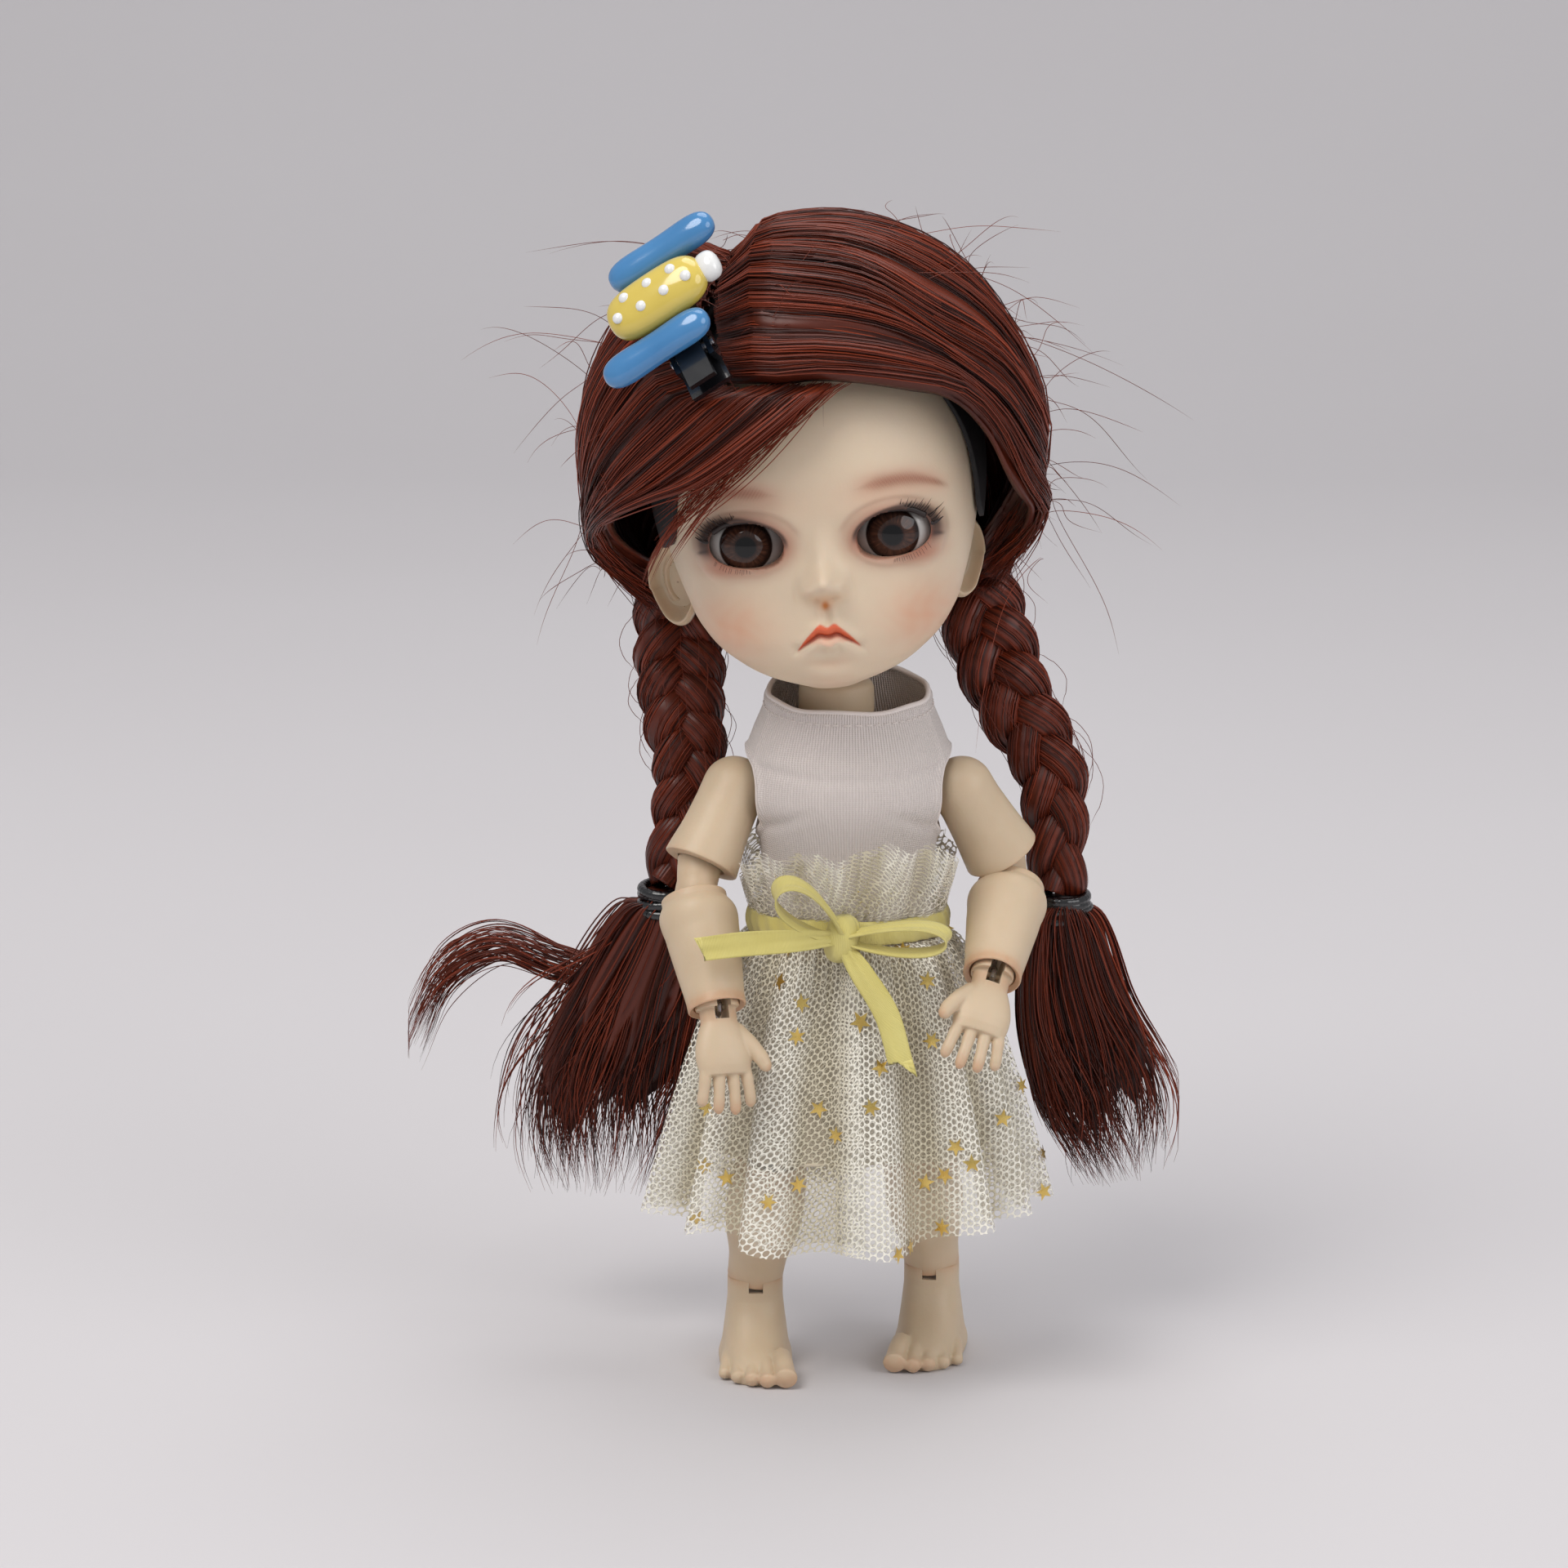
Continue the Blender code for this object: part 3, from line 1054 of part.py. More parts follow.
def ribbon(parent, satin):
    """The satin ribbon: a belt in the gathers, tied in a bow at the front."""
    half = RIBBON_WIDTH / 2
    w, d = WAIST_WIDTH / 2, WAIST_DEPTH / 2
    levels = [(WAIST_RISE + z, w + out, d + out, d + out) for z,
              out in ((-half, 0), (0, RIBBON_THICKNESS), (half, 0))]
    sleeve("ribbon_belt", parent, levels, RIBBON_THICKNESS * 1.6, satin, 20, 0.92)
    front = -d - RIBBON_THICKNESS - CLEARANCE - BOW_KNOT_DEPTH / 2
    centre = Vector((-HIP_X, front, WAIST_RISE))
    knot = ball("bow", parent, centre, BOW_KNOT_HEIGHT / 2, 12,
                (BOW_KNOT_WIDTH / BOW_KNOT_HEIGHT, BOW_KNOT_DEPTH / BOW_KNOT_HEIGHT, 1), satin)
    loops = ((-1, BOW_RIGHT_LOOP, 42, 0.45), (1, BOW_LEFT_LOOP, 4, 0.30))
    for side, reach, lift, lean in loops:
        path = []
        rise = math.radians(lift)
        outward = Vector((side * math.cos(rise), -lean, math.sin(rise)))
        upward = Vector((-side * math.sin(rise) * 0.95, -0.2, math.cos(rise) * 0.95))
        start = centre - Vector((0, BOW_KNOT_DEPTH * 0.5, 0))
        for k in range(10):
            turn = 2 * math.pi * k / 10
            along = reach * (0.5 - 0.5 * math.cos(turn))
            path.append(start + outward * along + upward * RIBBON_WIDTH * 0.60 * math.sin(turn))
        word = "right" if side < 0 else "left"
        width_direction = outward.cross(upward)
        points, faces = strip(path, width_direction, RIBBON_WIDTH * 0.7, RIBBON_THICKNESS, True)
        join(knot, body(f"bow_loop_{word}", parent, points, faces, None))
    tails = (
        ("right", [(0, 0, 0), (-0.35, -0.20, 0.02), (-0.7, -0.33, 0.03), (-1.0, -0.36, 0.0)],
         BOW_RIGHT_TAIL, (0, 0.3, 1)),
        ("left", [(0, 0, 0), (0.18, -0.14, -0.25), (0.38, -0.24, -0.58), (0.50, -0.32, -0.98)],
         BOW_LEFT_TAIL, (1, 0.2, 0.5)),
    )
    for word, route_shares, length, across in tails:
        path = [centre + Vector(p) * length for p in curve_through(route_shares, 6)]
        join(knot, body(f"bow_tail_{word}", parent, *strip(path, across, RIBBON_WIDTH, RIBBON_THICKNESS),
                        None))
    return knot


def braid(name, parent, route, hair):
    """A plait's outer shape: a tapering strand with the swell of each crossing."""
    path = curve_through(route, 13)
    radii = []
    for k in range(13):
        swell = 1 + BRAID_LUMP_SHARE * math.cos(math.pi * k)
        radii.append(BRAID_WIDTH / 2 * swell * (1.0 - 0.16 * k / 12))
    radii[0] *= 0.8
    radii[-1] *= 0.62
    return body(name, parent, *tube(path, radii, 8, False, 0.8), hair)


def tail(name, parent, route, width_shares, width, hair):
    """The loose brush of hair below a tie, flat and flaring."""
    path = curve_through(route, 9)
    radii = [width / 2 * float(smooth(k / 8, width_shares)[0]) for k in range(9)]
    return body(name, parent, *tube(path, radii, 10, False, TAIL_THICKNESS / width), hair)


def tie(name, parent, centre, radius, black):
    """An elastic hair band wound twice round the end of a braid."""
    rings = []
    count = 10
    for out, z in ((0, -1.6), (1, -1.3), (1, -0.3), (0.45, 0), (1, 0.3), (1, 1.3), (0, 1.6)):
        r = radius + TIE_WIRE * out
        rings.append(oval(r, r * 0.85, r * 0.85, z * TIE_WIRE, count))
    inner = [oval(radius - TIE_WIRE * 0.3, (radius - TIE_WIRE * 0.3) * 0.85,
                  (radius - TIE_WIRE * 0.3) * 0.85, z * TIE_WIRE, count) for z in (1.6, -1.6)]
    points, faces = skin(rings + inner, True)
    return body(name, parent, np.array(points) + np.array(centre), faces, black)


# Routes of the loose hair. The first share is of the head's width, the second of
# the same width behind the plaits' plane, and the third of the neck's height.
PLAIT_RIGHT_SHARES = (
    (-0.498, 0.039, 1.168), (-0.515, 0.022, 1.048), (-0.494, 0.0, 0.948), (-0.481, 0.0, 0.838),
    (-0.537, 0.0, 0.699),
)
PLAIT_LEFT_SHARES = (
    (0.390, 0.043, 1.202), (0.446, 0.022, 1.088), (0.554, 0.0, 0.968), (0.675, 0.0, 0.848),
    (0.697, 0.0, 0.689),
)
TIE_RIGHT_SHARES = (-0.550, 0.0, 0.675)
TIE_LEFT_SHARES = (0.706, 0.0, 0.665)
TAIL_RIGHT_SHARES = ((-0.563, 0.0, 0.645), (-0.660, 0.022, 0.529), (-0.775, 0.043, 0.379),
                     (-0.790, 0.043, 0.215))
TAIL_LEFT_SHARES = ((0.714, 0.0, 0.641), (0.758, 0.022, 0.519), (0.866, 0.043, 0.379),
                    (0.931, 0.043, 0.240))
CURL_SHARES = (
    (-0.736, 0.134, 0.539), (-0.909, 0.152, 0.559), (-1.104, 0.173, 0.584), (-1.277, 0.173, 0.539),
    (-1.385, 0.173, 0.449),
)
CURL_WIDTH_SHARES = (0.79, 0.93, 1.0, 1.0, 0.93, 0.86, 0.71, 0.54, 0.29)
FLARE_SHARES = ((0.0, 0.24), (0.15, 0.42), (0.4, 0.80), (0.7, 1.0), (0.9, 0.86), (1.0, 0.55))


def hair_lengths(parent, neck_height, paint):
    """Both plaits, their bands and the loose ends, in the doll's own frame."""
    def placed(share):
        return Vector((share[0] * HEAD_WIDTH, BRAID_BACK + share[1] * HEAD_WIDTH, share[2] * neck_height))

    def route(shares):
        return [placed(share) for share in shares]

    hair, black = paint["hair"], paint["black"]
    inner = BRAID_WIDTH * 0.31
    braid("braid_right", parent, route(PLAIT_RIGHT_SHARES), hair)
    braid("braid_left", parent, route(PLAIT_LEFT_SHARES), hair)
    tie("hair_tie_right", parent, placed(TIE_RIGHT_SHARES), inner, black)
    tie("hair_tie_left", parent, placed(TIE_LEFT_SHARES), inner, black)
    tail("tail_right", parent, route(TAIL_RIGHT_SHARES), FLARE_SHARES, TAIL_RIGHT_WIDTH, hair)
    tail("tail_left", parent, route(TAIL_LEFT_SHARES), FLARE_SHARES, TAIL_LEFT_WIDTH, hair)
    curl = curve_through(route(CURL_SHARES), len(CURL_WIDTH_SHARES))
    radii = [CURL_WIDTH / 2 * share for share in CURL_WIDTH_SHARES]
    body("curl_right", parent, *tube(curl, radii, 8), hair)


def rounded_bar(name, parent, centre, length, width, height, material, waist=0.0):
    """A soft-ended bar like a bead of icing, with an optional slimmer middle."""
    path, radii = [], []
    for k in range(9):
        t = -1 + 2 * k / 8
        path.append((centre[0] + t * (length - width * 0.3) / 2, centre[1], centre[2]))
        radii.append(width / 2 * (1 - abs(t) ** 6) ** 0.5 * (1 - waist * math.cos(math.pi * t / 2) ** 2) + width * 0.02)
    return body(name, parent, *tube(path, radii, 8, False, height / width), material)


def hair_clip(parent, paint):
    """A sprung alligator clip with two blue bars and a dotted yellow cushion glued on its top jaw."""
    touch = helmet_point(math.radians(CLIP_TURN), CLIP_RISE_SHARE,
                         hair_growth(math.radians(CLIP_TURN), CLIP_RISE_SHARE), HAIR_SHARES)
    seat = pivot("clip_seat", parent, touch, ("Z", CLIP_HEADING), ("X", CLIP_LEAN), ("Y", CLIP_TILT))
    place = pivot("clip_place", seat, (CLIP_PLATE_WIDTH * CLIP_TOUCH_SHARES[0],
                                       CLIP_PLATE_LENGTH * CLIP_TOUCH_SHARES[1], CLEARANCE * 0.2))
    half = CLIP_PLATE_WIDTH / 2
    length = CLIP_PLATE_LENGTH
    base = block("clip_base", place, (-half, -length * 0.62, 0), (half, length * 0.23, CLIP_PLATE),
                 paint["black"])
    hinge_z = CLIP_PLATE * 2.2
    hinge = pivot("clip_lever_pivot", place, (0, -length * 0.40, hinge_z), ("X", 0))
    lug = CLIP_PLATE * 0.8
    for side in (-1, 1):
        ear = block(f"clip_lug_{side}", hinge,
                    (side * half - (lug if side > 0 else 0), -hinge_z, -hinge_z + CLIP_PLATE / 2),
                    (side * half + (lug if side < 0 else 0), hinge_z, CLIP_PLATE))
        join(base, ear)
    pin = rod("clip_pin", hinge, (-half * 1.1, 0, 0), (half * 1.1, 0, 0), CLIP_PIN_RADIUS, 10,
              paint["metal"])
    cut(base, rod("clip_pin_hole", hinge, (-half * 1.3, 0, 0), (half * 1.3, 0, 0),
                  CLIP_PIN_RADIUS + CLEARANCE, 12))
    inner = half - lug - CLEARANCE
    lever = block("clip_lever", hinge, (-inner, -length * 0.22, CLIP_PLATE * 0.9),
                  (inner, length * 0.62, CLIP_PLATE * 1.9), paint["black"])
    knuckle = rod("clip_knuckle", hinge, (-inner, 0, 0), (inner, 0, 0), CLIP_PIN_RADIUS * 2.0, 12)
    join(lever, knuckle)
    cut(lever, rod("clip_knuckle_hole", hinge, (-half, 0, 0), (half, 0, 0), CLIP_PIN_RADIUS + CLEARANCE,
                   12))
    top = CLIP_PLATE * 1.9 + CLEARANCE
    bar_height = BAR_WIDTH * 0.8
    pillow_height = PILLOW_WIDTH * 0.7
    middle_y = length * 0.30
    reach = (PILLOW_WIDTH + BAR_WIDTH) / 2 + CLEARANCE
    pillow_z = top + pillow_height / 2
    pillow = rounded_bar("clip_pillow", hinge, (0, middle_y, pillow_z), PILLOW_LENGTH, PILLOW_WIDTH,
                         pillow_height, paint["yellow"])
    for k in range(6):
        x = PILLOW_LENGTH * (0.30 - 0.12 * k)
        y = middle_y + PILLOW_WIDTH * 0.18 * (1 if k % 2 else -1)
        join(pillow, ball(f"dot_{k}", hinge, (x, y, pillow_z + pillow_height * 0.44), DOT_RADIUS, 6))
    for side, word in ((-1, "front"), (1, "back")):
        z = top + bar_height / 2
        rounded_bar(f"clip_bar_{word}", hinge, (side * BAR_STAGGER, middle_y + side * reach, z),
                    CLIP_LENGTH, BAR_WIDTH, bar_height, paint["blue"], 0.12)
    return pin


def main():
    clear_scene()
    resin = finish("cast_resin", (0.87, 0.70, 0.55), 0.45)
    metal = finish("steel_wire", (0.62, 0.62, 0.64), 0.30, 1.0)
    hair = finish("auburn_hair", (0.16, 0.035, 0.02), 0.45)
    black = finish("black_band", (0.01, 0.012, 0.016), 0.25)
    paint = {
        "eye": finish("glass_eye", (0.10, 0.05, 0.03), 0.05),
        "lash": finish("lash_fibre", (0.02, 0.012, 0.01), 0.6),
        "hair": hair,
        "cap": finish("wig_net", (0.02, 0.015, 0.015), 0.9),
        "black": black,
        "metal": metal,
        "knit": finish("rib_knit", (0.86, 0.80, 0.82), 0.9),
        "tulle": finish("cream_tulle", (0.82, 0.80, 0.70), 0.8),
        "lining": finish("cream_lining", (0.85, 0.80, 0.70), 0.85),
        "satin": finish("yellow_satin", (0.78, 0.70, 0.26), 0.35),
        "elastic": finish("white_elastic", (0.85, 0.85, 0.82), 0.7),
        "blue": finish("blue_gloss", (0.16, 0.46, 0.86), 0.15),
        "yellow": finish("yellow_gloss", (0.83, 0.66, 0.14), 0.15),
    }
    doll = pivot("doll_stand", None, (DOLL_X, DOLL_Y, 0))
    ankles = (
        {"x": -RIGHT_FOOT_OUT, "y": -RIGHT_FOOT_AHEAD, "toe_in": 2.0},
        {"x": LEFT_FOOT_OUT, "y": LEFT_FOOT_BEHIND, "toe_in": 7.0},
    )
    spread = HIP_SPREAD / 2
    straight = THIGH_LENGTH + KNEE_SPAN + SHIN_LENGTH
    reaches = [math.hypot(a["x"] - s * spread, a["y"]) for a, s in zip(ankles, (-1, 1), strict=True)]
    far = max(reaches)
    hip_height = ANKLE_HEIGHT + math.sqrt((straight - CLEARANCE / 3) ** 2 - far**2)
    hips = pivot("torso_pivot", doll, (HIP_X, 0, hip_height))
    neck_place = (NECK_X, NECK_Y, NECK_RISE)
    torso(hips, neck_place, resin)
    poses = (
        {"swing": 25, "splay": 23, "twist": 75, "elbow": 17, "forearm": 18, "hand_twist": 56, "hand": -10},
        {"swing": -15, "splay": 29, "twist": 20, "elbow": 38, "forearm": 39, "hand_twist": 50, "hand": -10},
    )
    sides = ((-1, "right"), (1, "left"))
    arms = [arm(hips, side, word, pose, resin, metal) for (side, word),
            pose in zip(sides, poses, strict=True)]
    legs = [leg(hips, side, word, ankle, hip_height, resin, metal) for (side, word),
            ankle in zip(sides, ankles, strict=True)]
    neck = pivot("neck_hook_pivot", hips, neck_place, ("Y", -HEAD_ROLL), ("Z", HEAD_YAW))
    neck_hook(neck, metal)
    head_place = pivot("head_pivot", neck, (0, 0, 0))
    head(head_place, resin, paint)
    wig(head_place, hair, paint["cap"])
    hair_clip(head_place, paint)
    hair_lengths(doll, hip_height + NECK_RISE, paint)
    stringing(hips, arms, legs, neck_place, paint["elastic"])
    clothes(hips, neck_place, paint)


main()
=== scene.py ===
import json
import math

import bmesh
import bpy
import numpy as np
from mathutils import Matrix


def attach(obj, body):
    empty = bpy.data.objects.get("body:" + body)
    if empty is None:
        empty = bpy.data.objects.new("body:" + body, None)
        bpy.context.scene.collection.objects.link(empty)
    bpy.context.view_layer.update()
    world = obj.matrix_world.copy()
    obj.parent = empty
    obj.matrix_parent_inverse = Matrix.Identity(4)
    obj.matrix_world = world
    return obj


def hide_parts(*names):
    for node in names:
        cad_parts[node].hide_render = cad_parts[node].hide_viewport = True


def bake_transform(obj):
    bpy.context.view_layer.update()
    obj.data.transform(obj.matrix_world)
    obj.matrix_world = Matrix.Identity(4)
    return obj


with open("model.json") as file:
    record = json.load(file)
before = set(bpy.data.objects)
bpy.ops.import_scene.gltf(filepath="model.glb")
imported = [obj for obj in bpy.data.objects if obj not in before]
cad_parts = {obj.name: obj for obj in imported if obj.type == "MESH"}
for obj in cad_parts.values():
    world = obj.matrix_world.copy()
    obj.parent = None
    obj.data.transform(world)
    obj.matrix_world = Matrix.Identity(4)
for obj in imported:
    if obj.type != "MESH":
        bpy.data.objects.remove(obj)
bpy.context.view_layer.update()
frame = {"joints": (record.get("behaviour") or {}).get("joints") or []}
joint = {each["name"]: each for each in frame["joints"]}
chance = np.random.default_rng(16)


# The camera stands in front of the doll, slightly above it and looking down.
camera_data = bpy.data.cameras.new("camera")
camera_data.sensor_width = 36.0
camera_data.lens = 111.65
camera = bpy.data.objects.new("camera", camera_data)
camera.location = (-0.00133, -0.6859, 0.2333)
camera.rotation_euler = (math.radians(78.0), 0.0, 0.0)
bpy.context.scene.collection.objects.link(camera)
bpy.context.scene.camera = camera
bpy.context.scene.view_settings.view_transform = "Standard"


# The stage is one pale sheet that runs from the floor up into a wall, lit from wide soft lights.
def piece(name, points, quads, material, uv=None, values=None, smooth=True, sharp=None):
    """A mesh of four-sided faces. Points are in millimetres, uv and values have one row for each point."""
    points = np.asarray(points, float).reshape(-1, 3)
    quads = np.asarray(quads, np.int32).reshape(-1, 4)
    used, index = np.unique(quads, return_inverse=True)
    quads = index.reshape(-1, 4).astype(np.int32)
    mesh = bpy.data.meshes.new(name)
    mesh.vertices.add(len(used))
    mesh.vertices.foreach_set("co", (points[used] * 0.001).astype(np.float32).ravel())
    mesh.loops.add(quads.size)
    mesh.loops.foreach_set("vertex_index", quads.ravel())
    mesh.polygons.add(len(quads))
    mesh.polygons.foreach_set("loop_start", np.arange(0, quads.size, 4, dtype=np.int32))
    mesh.update(calc_edges=True)
    if uv is not None:
        uv = np.asarray(uv, float).reshape(-1, 2)[used]
        layer = mesh.uv_layers.new(name="UVMap")
        layer.data.foreach_set("uv", uv[quads.ravel()].astype(np.float32).ravel())
    for key, value in (values or {}).items():
        value = np.asarray(value, float)
        if value.ndim > 1 and value.shape[-1] == 3:
            value = value.reshape(-1, 3)[used]
            colour = mesh.attributes.new(key, "FLOAT_COLOR", "POINT")
            colour.data.foreach_set("color", np.c_[value, np.ones(len(value))].astype(np.float32).ravel())
        else:
            mesh.attributes.new(key, "FLOAT", "POINT").data.foreach_set("value",
                    value.reshape(-1)[used].astype(np.float32))
    mesh.validate()
    if smooth:
        mesh.shade_smooth()
        if sharp:
            mesh.set_sharp_from_angle(angle=math.radians(sharp))
    mesh.materials.append(material)
    made = bpy.data.objects.new(name, mesh)
    bpy.context.scene.collection.objects.link(made)
    return made


def grid_faces(rows, columns, wrap_rows=False, wrap_columns=False, start=0):
    """The four-sided faces of a grid of points, laid out row by row."""
    r = np.arange(rows if wrap_rows else rows - 1)
    c = np.arange(columns if wrap_columns else columns - 1)
    r, c = np.meshgrid(r, c, indexing="ij")
    r2, c2 = (r + 1) % rows, (c + 1) % columns
    quads = np.stack([r * columns + c, r * columns + c2, r2 * columns + c2, r2 * columns + c], axis=-1)
    return quads.reshape(-1, 4) + start


def tint(red, green, blue):
    """A screen colour of 0 to 255 as the linear values that a shader takes."""
    share = np.array([red, green, blue]) / 255
    return tuple(float(c) for c in np.where(share <= 0.04045, share / 12.92,
            ((share + 0.055) / 1.055) ** 2.4))


class Shade:
    """A shader socket that takes part in arithmetic."""

    def __init__(self, tree, socket):
        self.tree, self.socket = tree, socket

    def sum(self, operation, *others):
        node = self.tree.nodes.new("ShaderNodeMath")
        node.operation = operation
        for slot, value in zip(node.inputs, (self, *others)):
            feed(self.tree, value, slot)
        return Shade(self.tree, node.outputs[0])

    def __add__(self, other):
        return self.sum("ADD", other)

    def __sub__(self, other):
        return self.sum("SUBTRACT", other)

    def __mul__(self, other):
        return self.sum("MULTIPLY", other)

    def __truediv__(self, other):
        return self.sum("DIVIDE", other)

    def __pow__(self, other):
        return self.sum("POWER", other)

    __radd__, __rmul__ = __add__, __mul__

    def __rsub__(self, other):
        return (self * -1.0) + other

    def sin(self):
        return self.sum("SINE")

    def step(self, low, high):
        """A smooth rise from 0 at low to 1 at high."""
        node = self.tree.nodes.new("ShaderNodeMapRange")
        node.interpolation_type = "SMOOTHSTEP"
        feed(self.tree, self, node.inputs["Value"])
        node.inputs["From Min"].default_value = low
        node.inputs["From Max"].default_value = high
        return Shade(self.tree, node.outputs[0])


def feed(tree, value, slot):
    if isinstance(value, Shade):
        tree.links.new(value.socket, slot)
    elif isinstance(value, tuple) and len(value) == 3 and slot.type == "RGBA":
        slot.default_value = (*value, 1.0)
    else:
        slot.default_value = value


class Finish:
    """One material: a Principled shader, with its constants on its own sockets and the rest painted by
    nodes."""

    def __init__(self, name, colour, roughness, **constants):
        self.material = bpy.data.materials.new(name)
        self.material.use_nodes = True
        self.tree = self.material.node_tree
        self.shader = self.tree.nodes["Principled BSDF"]
        self.shader.inputs["Base Color"].default_value = (*colour, 1.0)
        self.shader.inputs["Roughness"].default_value = roughness
        for key, value in constants.items():
            feed(self.tree, value, self.shader.inputs[key.replace("_", " ")])

    def node(self, kind, output=0, settings=None, inputs=None):
        node = self.tree.nodes.new(kind)
        for key, value in (settings or {}).items():
            setattr(node, key, value)
        for key, value in (inputs or {}).items():
            feed(self.tree, value, node.inputs[key])
        return Shade(self.tree, node.outputs[output])

    def value(self, name, output="Fac"):
        return self.node("ShaderNodeAttribute", output, {"attribute_name": name})

    def uv(self):
        split = self.tree.nodes.new("ShaderNodeSeparateXYZ")
        feed(self.tree, self.node("ShaderNodeTexCoord", "UV"), split.inputs[0])
        return Shade(self.tree, split.outputs[0]), Shade(self.tree, split.outputs[1])

    def noise(self, scale, detail=2.0, vector=None, roughness=0.5):
        """Soft noise from 0 to 1. Without a vector its scale is per metre of the piece."""
        vector = vector or self.node("ShaderNodeTexCoord", "Object")
        return self.node("ShaderNodeTexNoise", 0, None, {"Vector": vector, "Scale": scale, "Detail": detail,
                "Roughness": roughness})

    def mix(self, share, first, second):
        node = self.tree.nodes.new("ShaderNodeMix")
        node.data_type = "RGBA"
        feed(self.tree, share, node.inputs[0])
        feed(self.tree, first, node.inputs[6])
        feed(self.tree, second, node.inputs[7])
        return Shade(self.tree, node.outputs[2])

    def set(self, socket, value):
        feed(self.tree, value, self.shader.inputs[socket])
        return self

    def bump(self, height, distance, strength=1.0):
        made = self.node("ShaderNodeBump", 0, None, {"Height": height, "Distance": distance,
                "Strength": strength})
        return self.set("Normal", made)


sweep_turn = np.linspace(0, np.pi / 2, 24)
sweep_side = np.concatenate([[[-1500, 0]], np.c_[900 + 700 * np.sin(sweep_turn),
        700 - 700 * np.cos(sweep_turn)], [[1600, 2600]]])
sweep = np.stack([np.c_[np.full(len(sweep_side), x), sweep_side] for x in (-2200.0, 2200.0)], axis=1)
paper = Finish("paper_sweep", tint(206, 202, 205), 0.75)
paper.set("Base Color", paper.mix(paper.noise(3.0, 2.0), tint(204, 200, 202), tint(209, 206, 208)))
floor = piece("floor_sweep", sweep, grid_faces(len(sweep_side), 2)[:, ::-1], paper.material)


def unit(v):
    v = np.asarray(v, float)
    return v / np.linalg.norm(v, axis=-1, keepdims=True)


def lamp(name, place, aim, size, power, colour=(1.0, 1.0, 1.0)):
    data = bpy.data.lights.new(name, "AREA")
    data.shape = "DISK"
    data.size = size
    data.energy = power
    data.color = colour
    made = bpy.data.objects.new(name, data)
    made.location = place
    z = unit(np.array(place) - np.array(aim))
    x = unit(np.cross([0.0, 1.0, 0.001], z))
    direction = Matrix(np.stack([x, np.cross(z, x), z], axis=1).tolist())
    made.rotation_euler = direction.to_euler()
    bpy.context.scene.collection.objects.link(made)
    return made


lamp("key_light", (-0.55, -0.65, 1.25), (0.0, 0.0, 0.09), 0.9, 11.4, (1.0, 0.98, 0.95))
lamp("fill_light", (0.95, -0.75, 0.75), (0.0, 0.0, 0.09), 1.0, 5.6, (0.98, 0.985, 1.0))
lamp("top_light", (0.1, 0.35, 1.35), (0.0, 0.0, 0.05), 1.0, 6.0)
world = bpy.data.worlds.new("soft_room")
world.use_nodes = True
world.node_tree.nodes["Background"].inputs["Color"].default_value = (0.93, 0.94, 0.97, 1.0)
world.node_tree.nodes["Background"].inputs["Strength"].default_value = 0.43
bpy.context.scene.world = world


# The limbs are cast in cream resin and airbrushed with a warm blush where the body is
# worn or rosy. Each one is a hard-edged shell with a ball at one end and a cup at the other.
RESIN = tint(207, 186, 157)
resin = Finish("cream_resin", RESIN, 0.44, Specular_IOR_Level=0.42, Subsurface_Weight=0.12,
        Subsurface_Scale=0.002)
skin_tone = resin.mix(resin.noise(260.0, 3.0), tint(211, 190, 162), tint(202, 179, 149))
blush = resin.value("blush")
skin_tone = resin.mix((blush * (0.42 + resin.noise(900.0, 2.0) * 0.28)).step(0.0, 1.0), skin_tone,
        tint(194, 128, 84))
resin.set("Base Color", skin_tone)
resin.set("Roughness", 0.38 + resin.noise(1400.0, 2.0) * 0.14)
resin.bump(resin.noise(2600.0, 2.0), 0.00002)


def ring(z, wide, front, back, count=56, power=1.0, x=0.0, y=0.0):
    """A level ring of a limb: its own reach to the side, the front (-Y) and the back, squarer under a
    power of 1."""
    turn = np.linspace(0, 2 * np.pi, count, endpoint=False)
    z, wide, front, back = (np.atleast_1d(np.asarray(each, float))[:, None]
            for each in (z, wide, front, back))
    c, s = np.cos(turn)[None], np.sin(turn)[None]
    px = wide * np.sign(c) * abs(c) ** power + x
    py = np.where(s > 0, back, front) * np.sign(s) * abs(s) ** power + y
    return np.stack([px, py, np.broadcast_to(z, px.shape)], axis=-1)


def cup(centre, radius, rim, up, steps=9):
    """The levels of a round cup, from its mouth in the rim to its bottom."""
    first = math.acos(min(1.0, abs(rim - centre) / radius))
    angle = np.linspace(first, 0.02, steps)
    r = radius * np.sin(angle)
    return np.stack([centre + up * radius * np.cos(angle), r, r, r], axis=1)


def shell(levels, low_cup=None, high_cup=None, rounding=0.22):
    """Levels of (height, side, front, back) from the top down, with a crisp rounded rim and a cup at
    either end."""
    levels = np.asarray(levels, float)
    parts = [levels]
    for cup_at, end, up, first in ((low_cup, levels[-1], 1, False), (high_cup, levels[0], -1, True)):
        if cup_at is None:
            continue
        z, reach = end[0], end[1:]
        lip = [[z + up * rounding * (1 - math.sin(t)) - up * rounding,
                *(reach - rounding * (1 - math.cos(t)))] for t in (0.3, 0.8, 1.2, 1.57)]
        inside = cup(cup_at[0], cup_at[1], z - up * rounding, up)
        more = np.concatenate([lip, inside])
        parts = [more[::-1]] + parts if first else parts + [more]
    return np.concatenate(parts)


def closed(points):
    """The end rings of a grid drawn in to their own middles."""
    points = np.asarray(points, float)
    first = np.repeat(points[:1].mean(axis=1, keepdims=True), points.shape[1], axis=1)
    last = np.repeat(points[-1:].mean(axis=1, keepdims=True), points.shape[1], axis=1)
    return np.concatenate([first, points, last])


